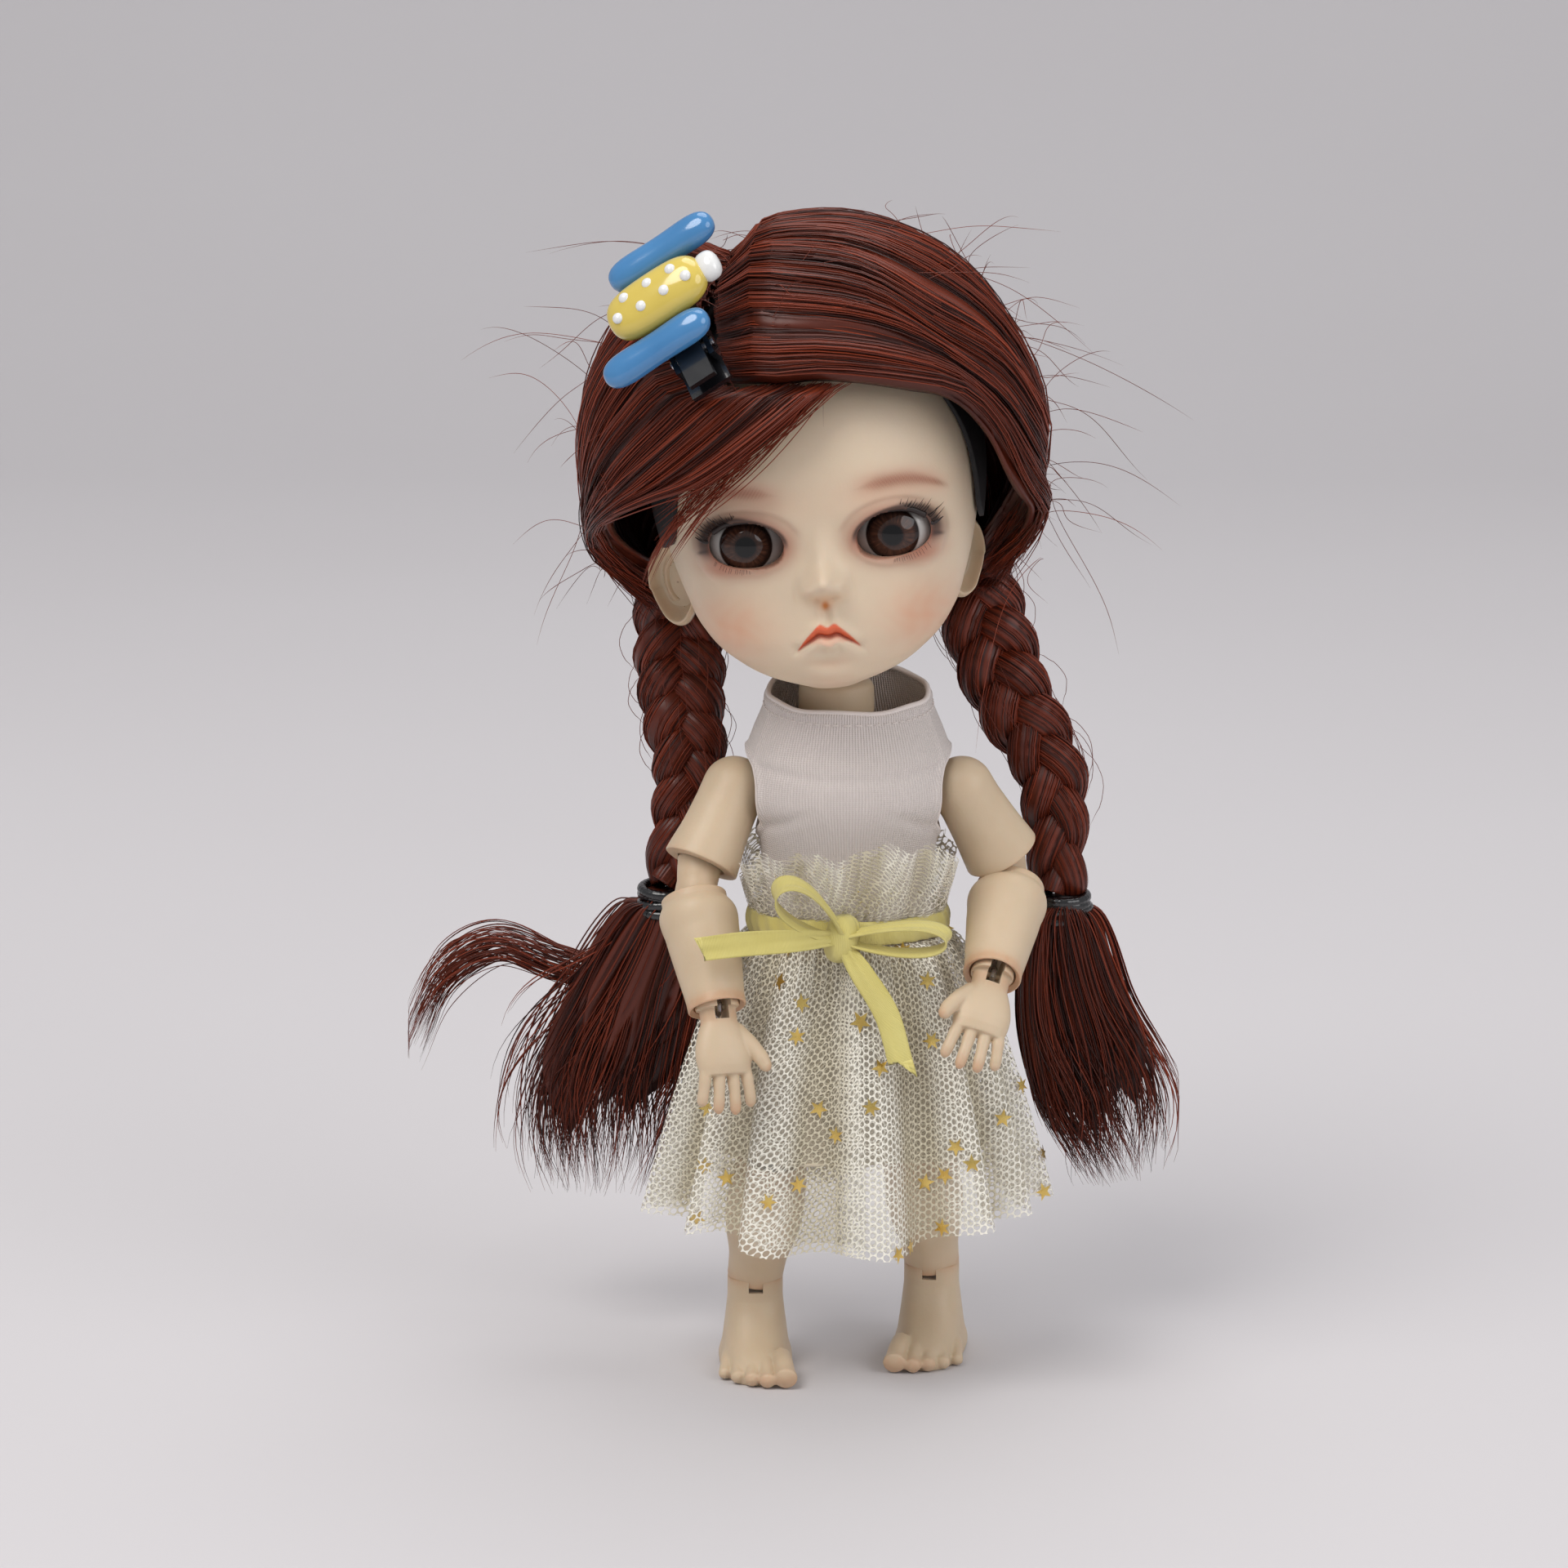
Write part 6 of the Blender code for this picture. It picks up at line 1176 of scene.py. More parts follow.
ROOTS = {"left": np.array([26.6, 11.6, 116.5]), "right": np.array([-16.6, 12.4, 113.0])}
for family, word in ((FAMILY_A, "left"), (FAMILY_B, "right")):
    rows, places = 260, 70
    v = np.linspace(0, 1, rows)
    u = np.linspace(0, 1, places)[None, :]
    lock = v * 27 + 0.9 * np.sin(v * 9.0 + 1) + 0.3 * np.sin(v * 31.0)
    waver = 0.16 * np.sin(u * 7 + v[:, None] * 5)
    bulge = abs(np.sin(np.pi * (lock[:, None] + waver * 2.2))) ** 0.6
    fine_lines = 0.5 + 0.5 * np.sin(v[:, None] * 900 + 6 * np.sin(u * 5 + v[:, None] * 40)) * np.sin(v[:,
            None] * 377 + 3 * u)
    lift = -1.9 + 1.15 * bulge + 0.22 * fine_lines - 1.4 * hill(v, 0, 0.012)[:, None]
    spread = np.stack([np.cos(v * 6.28 * 3) * 3.6, np.sin(v * 6.28 * 3) * 3.2, 2.0 - 4 * v], -1)
    sheet_paths = swept(family, ROOTS[word], v, places, lift, spread)
    # The sheet is darker than the loose strands over it, darker in the grooves between locks, lighter on their
    # crests and darkest on its inner face: painted shade under and between the strands, with fine random lines.
    sheet_tone_and_shade = np.clip(0.04 + 0.26 * bulge + 0.14 * fine_lines + 0.08 * np.sin(v[:, None] * 60), 0, 1)
    shell_points = np.concatenate([sheet_paths, sheet_paths[::-1]
            - unit(sheet_paths[::-1] - HAIR_MIDDLE) * 0.9])
    sheet = piece(f"hair_sheet_{word}", skull.out(shell_points.reshape(-1, 3)),
            grid_faces(2 * rows, places, True, False)[:, ::-1], hair.material,
            values={"tone": np.concatenate([sheet_tone_and_shade, sheet_tone_and_shade[::-1] * 0.3])})
    if word == "left":
        worn(sheet, "wig_hair", "head")
    else:
        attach(sheet, "head")

    many, places = 1500, 26
    u = np.linspace(0, 1, places)[None, :]
    locks = np.sort(chance.random(64) ** 0.9)
    own = chance.integers(0, 64, many)
    scatter = chance.normal(0, 1, many)
    v = np.clip(locks[own] + scatter * 0.012, 0, 1)
    lift = -0.75 + 0.75 * np.exp(-(scatter**2) / 1.2)[:, None] * np.ones_like(u) + chance.normal(0, 0.16,
            many)[:, None]
    lift = lift + 0.55 * np.sin(u * (5 + 3 * chance.random((64, 1))[own])
            + chance.random((64, 1))[own] * 6.3) * 0.45
    spread = chance.normal(0, 1, (many, 3)) * [1.9, 1.6, 1.5]
    paths = swept(family, ROOTS[word], v, places, lift, spread)
    drift = chance.normal(0, 1, (many, 1, 3)) * 0.35 * np.sin(np.pi * u
            * (1 + chance.random((many, 1))))[..., None]
    points, faces, share = strands(skull.out(paths + drift), 0.085 + 0.045 * chance.random(many), 3)
    shine = np.clip(0.42 + 0.26 * chance.normal(0, 1, many) + 0.16 * np.sin(own * 2.4), 0.02, 1.0)
    locks_piece = piece(f"hair_locks_{word}", points, faces, hair.material,
            values={"tone": np.repeat(shine, places * 3)})
    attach(locks_piece, "head")

# Short hairs and long stray ones stand out all round, fine and loosely curled.
many, places = 330, 22
u = np.linspace(0, 1, places)[None, :, None]
az = chance.random(many) * 360
el = chance.random(many) * 95 - 25
front_gap = (abs((az + 180) % 360 - 180 - 4) < 62) & (el < 34)
az = np.where(front_gap, az + 130, az)
start = unit(facing(np.stack([az, el], -1)))
flow = unit(np.cross(start, [0.25, 0.1, 1.0]) * chance.choice([-1, 1], many)[:, None]
        + chance.normal(0, 0.75, (many, 3)))
length = 7 + 24 * chance.random(many)[:, None, None] ** 2.2
reach = on_hair(start, -0.3 + 0 * az)[:, None] + flow[:, None] * length * u + start[:,
        None] * (length * 0.42 * u**1.6) + np.array([0, 0, -1.0]) * (length * 0.42 * u**2.4)
reach = reach + chance.normal(0, 1, (many, 1, 3)) * 0.9 * np.sin(np.pi * 1.7 * u
        + chance.random((many, 1, 1)) * 3) * u
reach = reach[(abs(reach[..., 0]) < 52).all(axis=1) & (abs(reach[..., 1]) < 31.5).all(axis=1)
        & (reach[..., 2] < 69.0).all(axis=1)]
points, faces, share = strands(skull.out(reach), 0.052, 3)
strays = piece("hair_strays", points, faces, hair.material, values={"tone": np.repeat(0.35
        + 0.4 * chance.random(len(reach)), places * 3)})
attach(strays, "head")

# Thin wisps lie across the forehead below the fringe on the doll's right.
wisps = []
for start_az, start_el, end_az, end_el, sag in ((-2, 33, -50, -2, 4), (2, 32, -46, 2, 2.5),
        (-6, 30, -52, -8, 3.5), (0, 31, -44, -4, 5), (-12, 27, -48, -12, 3), (-18, 24, -56, -14, 2),
        (6, 32, -40, 3, 2), (-24, 20, -60, -20, 2.5)):
    for k in range(9):
        t = np.linspace(0, 1, 26)
        jitter = chance.normal(0, 1.2, 2)
        az, el = start_az + (end_az - start_az) * t + jitter[0], start_el + (end_el
                - start_el) * t**1.25 - sag * np.sin(np.pi * t) + jitter[1] * t
        wisps.append(on_hair(facing(np.stack([az, el], -1)),
                -2.3 - 1.2 * np.sin(np.pi * t) + chance.normal(0, 0.25) - 1.5 * (1 - ramp(t, 0, 0.15))))
points, faces, share = strands(skull.out(np.stack(wisps)), 0.075, 3)
wisp_piece = piece("hair_wisps", points, faces, hair.material,
        values={"tone": np.repeat(0.55 + 0.3 * chance.random(len(wisps)), 26 * 3)})
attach(wisp_piece, "head")


# The plaits are three thick strands of the same fibre, crossed over and over.
def loose(shares):
    """Places of the hanging hair, from shares of the head's width and of the neck's height."""
    shares = np.asarray(shares, float)
    neck_rise = neck[2]
    return np.stack([6.9 + shares[:, 0] * 46.2, 11.6 + shares[:, 1] * 46.2, shares[:, 2] * neck_rise], -1)


PLAITS = {"right": [(-0.498, 0.039, 1.168), (-0.515, 0.022, 1.048), (-0.494, 0.0, 0.948),
        (-0.481, 0.0, 0.838), (-0.537, 0.0, 0.699)], "left": [(0.390, 0.043, 1.202), (0.446, 0.022, 1.088),
        (0.554, 0.0, 0.968), (0.675, 0.0, 0.848), (0.697, 0.0, 0.689)]}
for word, route in PLAITS.items():
    places = 190
    t = np.linspace(0, 1, places)
    path = through(loose(route), places) + np.array([0.0, 3.2, 0.0]) * (1 - ramp(t, 0.15, 0.75))[:, None]
    side, out = carried(path, (1, 0, 0))
    width = eased(t, [(0, 5.6), (0.25, 6.2), (0.45, 5.8), (0.65, 5.2), (0.85, 4.5), (1, 3.9)])
    parts, tones = [], []
    for strand in range(3):
        phase = 2 * np.pi * (t * 2.6 + strand / 3)
        centre = path + side * (width * 0.52 * np.sin(phase))[:,
                None] + out * (width * 0.30 * np.sin(2 * phase))[:, None]
        across = 44
        turn = np.linspace(0, 2 * np.pi, across, endpoint=False)
        u, v = carried(centre, (1, 0, 0))
        comb = 1 + 0.05 * np.sin(turn * 17 + 2 * np.sin(turn * 3))[None] * np.cos(4 * t)[:,
                None] + 0.03 * np.sin(turn * 29 + 1)[None]
        r = (width * 0.56)[:, None] * comb
        rings = centre[:, None] + u[:, None] * (np.cos(turn) * r)[..., None] + v[:,
                None] * (np.sin(turn) * r * 0.84)[..., None]
        rings = np.concatenate([np.repeat(rings[:1].mean(axis=1, keepdims=True), across, 1), rings,
                np.repeat(rings[-1:].mean(axis=1, keepdims=True), across, 1)])
        parts.append((rings, grid_faces(places + 2, across, False, True)))
        # Each plait strand is darker than the fibres laid over it, and its tone rises and falls with its combed
        # ridges and with its dip through the plait: painted light and shade.
        line = 0.24 + 0.22 * np.sin(turn * 17 + 2 * np.sin(turn * 3))[None] + 0.14 * np.sin(turn * 29
                + 1)[None] + 0.10 * np.sin(phase * 2)[:, None]
        tones.append(np.concatenate([line[:1], line, line[-1:]]).ravel())
        hairs = 58
        a = chance.random(hairs) * 2 * np.pi
        swing = a[:, None] + 1.2 * (t[None] - chance.random(hairs)[:, None])
        rr = (width * 0.56)[None] * (1.02 + 0.06 * chance.random(hairs)[:, None])
        fibre = centre[None] + u[None] * (np.cos(swing) * rr)[...,
                None] + v[None] * (np.sin(swing) * rr * 0.84)[..., None]
        points, faces, share = strands(fibre[:, ::3], 0.10, 3)
        parts.append((points, faces))
        tones.append(np.repeat(np.clip(0.45 + 0.28 * chance.normal(0, 1, hairs), 0, 1),
                fibre[:, ::3].shape[1] * 3))
    many = 46
    begin = chance.integers(0, places - 40, many)
    span = np.linspace(0, 1, 14)
    angle = chance.random(many) * 2 * np.pi
    index = (begin[:, None] + (span * 34)[None]).astype(int)
    base_path = path[index]
    push = (np.cos(angle)[:, None, None] * side[index] + np.sin(angle)[:, None, None] * out[index])
    fuzz = base_path + push * (width[index] * 0.95)[..., None] + push * (0.3
            + 2.6 * chance.random(many)[:, None, None] * np.sin(np.pi * span)[None, :, None])
    fuzz[..., 1] = np.clip(fuzz[..., 1], -30, 32)
    points, faces, share = strands(fuzz, 0.055, 3)
    parts.append((points, faces))
    tones.append(np.full(len(points), 0.5))
    points, faces = gathered(parts)
    plait = piece(f"plait_{word}", points, faces, hair.material,
            values={"tone": np.clip(np.concatenate(tones), 0, 1)})
    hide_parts(f"braid_{word}")
    tuple(path[150] * 0.001)
    tuple(path[0] * 0.001)
    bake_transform(plait)

# A glossy black elastic is wound round the end of each plait.
band = Finish("black_elastic_band", tint(14, 14, 17), 0.22, Coat_Weight=0.6, Coat_Roughness=0.12)
band.set("Roughness", 0.18 + band.noise(700.0, 2.0) * 0.16)
TAILS = {"right": ([(-0.563, 0.0, 0.645), (-0.660, 0.022, 0.529), (-0.775, 0.043, 0.379),
        (-0.790, 0.043, 0.215)], 26.0), "left": ([(0.714, 0.0, 0.641), (0.758, 0.022, 0.519),
        (0.866, 0.043, 0.379), (0.931, 0.043, 0.240)], 20.0)}
for word, share in (("right", (-0.550, 0.0, 0.675)), ("left", (0.706, 0.0, 0.665))):
    centre = loose([share])[0]
    parts = []
    for k, z in enumerate((-1.5, -0.5, 0.5, 1.5)):
        turn = np.linspace(0, 2 * np.pi, 90, endpoint=False)
        r = 3.75 + 0.18 * np.sin(turn * 2 + k * 1.7) + 0.12 * (k % 2)
        loop = centre + np.stack([r * np.cos(turn), r * 0.86 * np.sin(turn),
                z + 0.35 * np.sin(turn + k * 2.0)], -1)
        parts.append(tube(loop, 0.74 * (1 + 0.05 * np.sin(turn * 30)), 14, 1.0, True))
    points, faces = gathered(parts)
    tie = piece(f"hair_band_{word}", points, faces, band.material)
    worn(tie, f"hair_tie_{word}", "torso")

    # Below the band the hair opens into a loose brush of long waving ends.
    route, wide = TAILS[word]
    places = 60
    path = through(np.concatenate([[centre + [0, 0, 1.2]], loose(route)]), places)
    t = np.linspace(0, 1, places)
    spread = wide / 2 * eased(t, [(0, 0.30), (0.08, 0.30), (0.2, 0.50), (0.4, 0.76), (0.7, 0.97),
            (0.9, 0.88), (1, 0.72)])
    depth = 4.2 * eased(t, [(0, 0.86), (0.2, 0.95), (0.5, 1.0), (0.8, 0.85), (1, 0.50)])
    side, out = carried(path, (1, 0, 0))
    across = 110
    turn = np.linspace(0, 2 * np.pi, across, endpoint=False)
    grooves = 1 + 0.10 * np.sin(turn * 13 + 3 * np.sin(turn * 2))[None] * ramp(t, 0.0, 0.3)[:,
            None] + 0.05 * np.sin(turn * 31)[None]
    rows = np.linspace(0, 1, 52)[:, None]
    hem = 0.66 + 0.10 * np.sin(turn * 5 + 1)[None] + 0.07 * np.sin(turn * 12)[None] + 0.05 * np.sin(turn
            * 23 + 2)[None]
    at_row = rows * hem * (places - 1)
    low, part = at_row.astype(int), at_row % 1.0
    reach = np.concatenate([path, side, out, spread[:, None], depth[:, None]], -1)
    reach = reach[low] * (1 - part[..., None]) + reach[np.minimum(low + 1, places - 1)] * part[..., None]
    slim = 0.80 * grooves[low, np.arange(across)[None]] * (1 - 0.75 * ramp(rows, 0.72, 1.0) ** 2)
    core = reach[..., :3] + reach[..., 3:6] * (np.cos(turn) * slim**0.5 * 0.9 * reach[..., 9])[...,
            None] + reach[..., 6:9] * (np.sin(turn) * slim * reach[..., 10])[..., None]
    core = np.concatenate([np.repeat(core[:1].mean(axis=1, keepdims=True), across, 1), core,
            np.repeat(core[-1:].mean(axis=1, keepdims=True), across, 1)])
    parts = [(core, grid_faces(54, across, False, True))]
    # The core of the brush is darker than the loose fibres round it, and lighter on its ridges than in its
    # grooves: painted shade inside the brush.
    tones = [np.broadcast_to(0.16 + 0.16 * np.sin(turn * 13 + 3 * np.sin(turn * 2))[None],
            (54, across)).ravel()]
    many = 950
    clump = chance.integers(0, 26, many)
    ca, cr = chance.random(26)[clump] * 2 * np.pi, np.sqrt(chance.random(26))[clump]
    a = ca + chance.normal(0, 0.25, many)
    radius = np.clip(cr + chance.normal(0, 0.12, many), 0, 1.04)
    wave = chance.random(26)[clump][:, None] * 6.3
    curl = (0.35 + 1.5 * ramp(t, 0.3, 1.0))[None] * np.sin(wave
            + t[None] * (8 + 5 * chance.random(26)[clump][:, None]))
    sx = np.cos(a)[:, None] * radius[:, None] * spread[None] + curl * 0.75
    sy = np.sin(a)[:, None] * radius[:, None] * depth[None] + curl * 0.25
    sy = np.clip(sy, -4.4, 4.4)
    ends = chance.normal(0, 1, (many, 1)) * 1.6 * ramp(t, 0.6, 1.0)[None]
    keep_share = 0.62 + 0.38 * chance.random(many)
    sample = keep_share[:, None] * np.linspace(0, 1, 30)[None] * (places - 1)
    low, frac = sample.astype(int), (sample % 1.0)[..., None]
    high = np.minimum(low + 1, places - 1)
    full = path[None] + side[None] * sx[..., None] + out[None] * sy[...,
            None] + np.stack([ends, 0 * ends, 0 * ends], -1)
    row = np.arange(many)[:, None]
    fibre = full[row, low] * (1 - frac) + full[row, high] * frac
    if word == "right":
        long_ones = np.arange(many) % 9 == 0
        kick = ramp(np.linspace(0, 1, 30), 0.45, 1.0)[None, :,
                None] * np.array([-7.5, 0.5, 5.0]) * chance.random((many, 1, 1))
        fibre = np.where(long_ones[:, None, None], fibre + kick, fibre)
    fibre[..., 0] = np.clip(fibre[..., 0], -57.5, 57.5)
    points, faces, share = strands(fibre, 0.10 + 0.05 * chance.random(many), 3)
    parts.append((points, faces))
    tones.append(np.repeat(np.clip(0.40 + 0.26 * chance.normal(0, 1, many) + 0.15 * np.sin(clump), 0, 1),
            30 * 3))
    points, faces = gathered(parts)
    brush = piece(f"tail_{word}_brush", points, faces, hair.material,
            values={"tone": np.clip(np.concatenate(tones), 0, 1)})
    worn(brush, f"tail_{word}", "torso")

# One bundle on the doll's right has come loose and curls outward on its own.
curl_path = through(np.concatenate([[[-22.0, 15.2, 57.0]], loose([(-0.736, 0.134, 0.539),
        (-0.909, 0.152, 0.559), (-1.104, 0.173, 0.584), (-1.277, 0.173, 0.539), (-1.375, 0.173, 0.449)])]),
        44)
t = np.linspace(0, 1, 44)
side, out = carried(curl_path, (0, 0, 1))
many = 110
a = chance.random(many) * 2 * np.pi
spread = 0.4 + 2.4 * eased(t, [(0, 0.5), (0.3, 1.0), (0.6, 1.0), (0.85, 0.85),
        (1.0, 0.9)])[None] * np.sqrt(chance.random((many, 1)))
swirl = a[:, None] + 2.2 * t[None]
fibre = curl_path[None] + side[None] * (np.cos(swirl) * spread)[...,
        None] + out[None] * (np.sin(swirl) * spread * 0.8)[..., None]
fan = chance.normal(0, 1, (many, 1, 1)) * np.array([0.5, 0.5, 2.4]) * ramp(t, 0.35, 1.0)[None, :, None]
fibre = fibre + fan
fibre[..., 0] = np.clip(fibre[..., 0], -57.6, 57)
points, faces, share = strands(fibre, 0.085, 3)
loose_curl = piece("loose_curl", points, faces, hair.material,
        values={"tone": np.repeat(np.clip(0.42 + 0.25 * chance.normal(0, 1, many), 0, 1), 44 * 3)})
worn(loose_curl, "curl_right", "torso")


# The top is a sleeveless tube of fine cream rib knit with bound armholes. Its round
# neck is turned in and stitched, and its waist is hidden under the frill.
knit = Finish("fine_rib_knit", tint(222, 212, 209), 0.88, Sheen_Weight=0.25)
u, v = knit.uv()
ribs = ((u + knit.noise(60.0, 2.0) * 0.25) * (2 * math.pi / 0.40)).sin()
loops = (v * (2 * math.pi / 0.30) + ribs * 0.8).sin()
# The knit is lighter on each rib and darker between the ribs: painted light and shade on the ribs, with random
# mottling.
knit.set("Base Color", knit.mix(ribs * 0.22 + 0.5 + knit.noise(300.0, 3.0) * 0.2, tint(208, 196, 190),
        tint(232, 222, 217)))
knit.bump(ribs * 0.7 + loops * 0.25 + knit.noise(3000.0, 2.0) * 0.5, 0.00009)
BODICE = [(11.2, 13.9, 10.1, 9.9), (14.2, 12.6, 9.0, 8.8), (20.1, 12.4, 9.0, 8.6), (26.1, 13.2, 9.8, 9.3),
        (31.3, 15.2, 10.6, 10.4), (35.0, 14.9, 10.3, 10.3), (37.6, 14.7, 9.4, 9.8), (40.6, 13.7, 8.9, 9.7),
        (44.0, 12.3, 8.6, 9.5), (48.5, 11.0, 8.3, 9.3)]
ARMHOLE = 6.0


def knit_place(turn, z):
    """The bodice at an angle round the chest and a height: an oval read from its levels, with soft
    creases over the chest."""
    wide, front, back = (eased(z, [(row[0], row[k]) for row in BODICE]) for k in (1, 2, 3))
    c, s = np.cos(turn), np.sin(turn)
    crease = -0.26 * hill(z, 35.6 + 0.8 * np.cos(turn * 2), 0.75) * ramp(-s, 0.1, 0.7) + 0.12 * hill(z,
            37.0, 0.8) * ramp(-s, 0.2, 0.7)
    crease = crease - 0.30 * hill(z, 29.0 + 1.5 * np.sin(turn * 3), 0.9) * ramp(abs(c), 0.2,
            0.7) + 0.16 * np.sin(turn * 9 + z * 0.35) * (1 - ramp(z, 16, 24))
    reach = np.where(s > 0, back, front) + crease
    return np.stack([(wide + crease) * np.sign(c) * abs(c) ** 0.9, reach * np.sign(s) * abs(s) ** 0.9,
            z + 0 * turn], -1)


columns, rows = 420, 120
turn, share = np.meshgrid(np.linspace(0, 2 * np.pi, columns, endpoint=False) + 0.003,
        np.linspace(0, 1, rows))
rim = 46.2 + 2.0 * np.sin(turn) + 0.15 * np.sin(turn * 7 + 1)
z = 11.2 + (rim - 11.2) * share
grid = knit_place(turn, z)
keep = np.ones(grid.shape[:2], bool)
ay, az = grid[..., 1], grid[..., 2] - 31.8
distance = np.hypot(ay, az)
hole = (distance < ARMHOLE) & (abs(grid[..., 0]) > 4)
snap = hole & (distance > ARMHOLE - 1.3)
scale = np.where(snap, ARMHOLE / np.maximum(distance, 0.1), 1.0)
keep &= ~(hole & ~snap)
new_y, new_z = ay * scale, az * scale + 31.8
front, back = (eased(new_z, [(row[0], row[k]) for row in BODICE]) for k in (2, 3))
s_new = np.sign(new_y) * np.clip(abs(new_y) / np.where(new_y > 0, back, front), 0, 1) ** (1 / 0.9)
new_turn = np.where(np.cos(turn) > 0, np.arcsin(s_new), np.pi - np.arcsin(s_new))
moved = knit_place(new_turn, new_z)
grid = np.where(snap[..., None], moved, grid)
rolled = 0.35 * hill(np.hypot(grid[..., 1], grid[..., 2] - 31.8), ARMHOLE + 0.45,
        0.35) * (abs(grid[..., 0]) > 4) + 0.30 * hill(share, 0.985, 0.012)
outward = unit(grid * [1, 1, 0])
grid = grid + outward * rolled[..., None]
arc = np.concatenate([np.zeros((rows, 1)), np.cumsum(np.linalg.norm(np.diff(grid, axis=1), axis=-1),
        axis=1)], axis=1)
uv = np.stack([arc.mean(axis=0)[None] + 0 * turn, z], -1)
faces = grid_faces(rows, columns, False, True)
faces = faces[keep.reshape(-1)[faces].all(axis=1)]
bodice = piece("knit_top", stand.out(grid.reshape(-1, 3)), faces, knit.material, uv=uv)
worn(bodice, "bodice", "torso")
# The armhole binding and the neck stitches are drawn as their own fine cords.
cords = []
for side in (-1, 1):
    a = np.linspace(0, 2 * np.pi, 140, endpoint=False)
    y, zz = ARMHOLE * np.cos(a), 31.8 + ARMHOLE * np.sin(a)
    front, back = (eased(zz, [(row[0], row[k]) for row in BODICE]) for k in (2, 3))
    s_at = np.sign(y) * np.clip(abs(y) / np.where(y > 0, back, front), 0, 1) ** (1 / 0.9)
    t_at = np.arcsin(s_at) if side > 0 else np.pi - np.arcsin(s_at)
    edge_line = knit_place(t_at, zz)
    cords.append(tube(edge_line - unit(edge_line * [1, 1, 0]) * 0.2, 0.42, 10, 1.0, True))
a = np.linspace(0, 2 * np.pi, 300, endpoint=False)
rim_line = knit_place(a, 46.2 + 2.0 * np.sin(a) + 0.15 * np.sin(a * 7 + 1))
cords.append(tube(rim_line - unit(rim_line * [1, 1, 0]) * 0.22, 0.40, 10, 1.0, True))
for k in range(62):
    a = np.linspace(k, k + 0.58, 6) / 62 * 2 * np.pi
    stitch = knit_place(a, 44.6 + 2.0 * np.sin(a))
    cords.append(tube(stitch + unit(stitch * [1, 1, 0]) * (0.10 * np.sin(np.linspace(0, np.pi, 6)))[:,
            None], 0.11, 6))
points, faces = gathered(cords)
binding = piece("knit_bindings", stand.out(points), faces, knit.material, uv=np.zeros((len(points), 2)))
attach(binding, "torso")


# The skirt and the frill are gathered tulle, a fine net of six-sided holes in two
# layers. Both are caught under the ribbon at the waist, and gold foil stars are glued on.
def tulle(name, cell, haze, glitter):
    made = Finish(name, tint(226, 220, 200), 0.60, Sheen_Weight=0.15)
    u, v = made.uv()
    p = 2 * math.pi / cell
    height = (u * p + 1.57).sin() + (u * (-0.5 * p) + v * (0.866 * p) + 1.57).sin() + (u * (-0.5 * p)
            + v * (-0.866 * p) + 1.57).sin()
    threads = height.step(-0.60, -0.90)
    made.set("Alpha", threads * (1.0 - haze) + haze)
    # The net is darker in the fold valleys and lighter on the ridges: painted shade and light from the fold
    # attribute, with random mottling.
    made.set("Base Color", made.mix(made.value("fold") * 0.8 + made.noise(400.0, 3.0) * 0.2,
            tint(208, 198, 172), tint(250, 246, 234)))
    if glitter:
        specks = made.noise(2200.0, 0.0).step(0.72, 0.75) + made.noise(5200.0, 0.0).step(0.70, 0.74)
        made.set("Metallic", specks * 0.9)
        made.set("Roughness", 0.62 - specks * 0.36)
    made.bump(threads, 0.00008)
    return made


def hanging(turn, share, top_z, length, top, hem, fold, folds, power, side_share=1.0, inward=0.0):
    """Gathered cloth: folds grow away from the gathered edge, as two cosines round the body, on a flare
    of a power of the drop."""
    wave = np.cos(folds * turn + 1.3 * np.sin(2 * turn)) + 0.35 * np.cos((folds - 4) * turn + 1.0)
    wave = wave + 0.30 * np.cos(2.2 * folds * turn + 2.0 * np.sin(3 * turn)) * (0.5
            + 0.5 * np.sin(turn * 2 + 1))
    out = fold * (0.18 + 0.82 * share) * wave + 0.30 * np.cos(71 * turn
            + 2 * np.sin(5 * turn)) * np.exp(-share * 5) - inward
    c, s = np.cos(turn), np.sin(turn)
    sideways = side_share + (1 - side_share) * abs(s) ** 0.9
    grow = share**power
    w = top[0] / 2 + (hem[0] - top[0]) / 2 * grow * sideways + out * np.maximum(sideways, 0.3)
    d = top[1] / 2 + (hem[1] - top[1]) / 2 * grow + out
    z = top_z - length * share * (0.4 + 0.6 * sideways)
    return np.stack([w * np.sign(c) * abs(c) ** 0.9, d * np.sign(s) * abs(s) ** 0.9, z], -1)


def skirt_place(turn, share, inward=0.0):
    """The skirt, its hem lowest at the front and drawn up at both sides."""
    up = 1 - 0.115 * hill(np.cos(turn), 1.0, 0.75) - 0.085 * hill(np.cos(turn), -1.0,
            0.70) - 0.03 * ramp(np.sin(turn), 0, 1) + 0.012 * np.sin(turn * 9)
    return hanging(turn, share, 10.9, 45.4 * up, (28.2, 21.0), (53.0, 37.2), 2.6, 13, 0.6, 1.0, inward)


def fold_shade(grid):
    """How far each point stands out of the mean of its row, from 0 in a fold to 1 on a ridge."""
    reach = np.hypot(grid[..., 0], grid[..., 1] * 1.3)
    count = grid.shape[1] // 14
    padded = np.pad(reach, ((0, 0), (count, count)), mode="edge")
    sums = np.cumsum(np.pad(padded, ((0, 0), (1, 0))), axis=1)
    mean = (sums[:, 2 * count + 1:] - sums[:, :-2 * count - 1]) / (2 * count + 1)
    return np.clip(0.62 + (reach - mean) * 0.55, 0, 1)


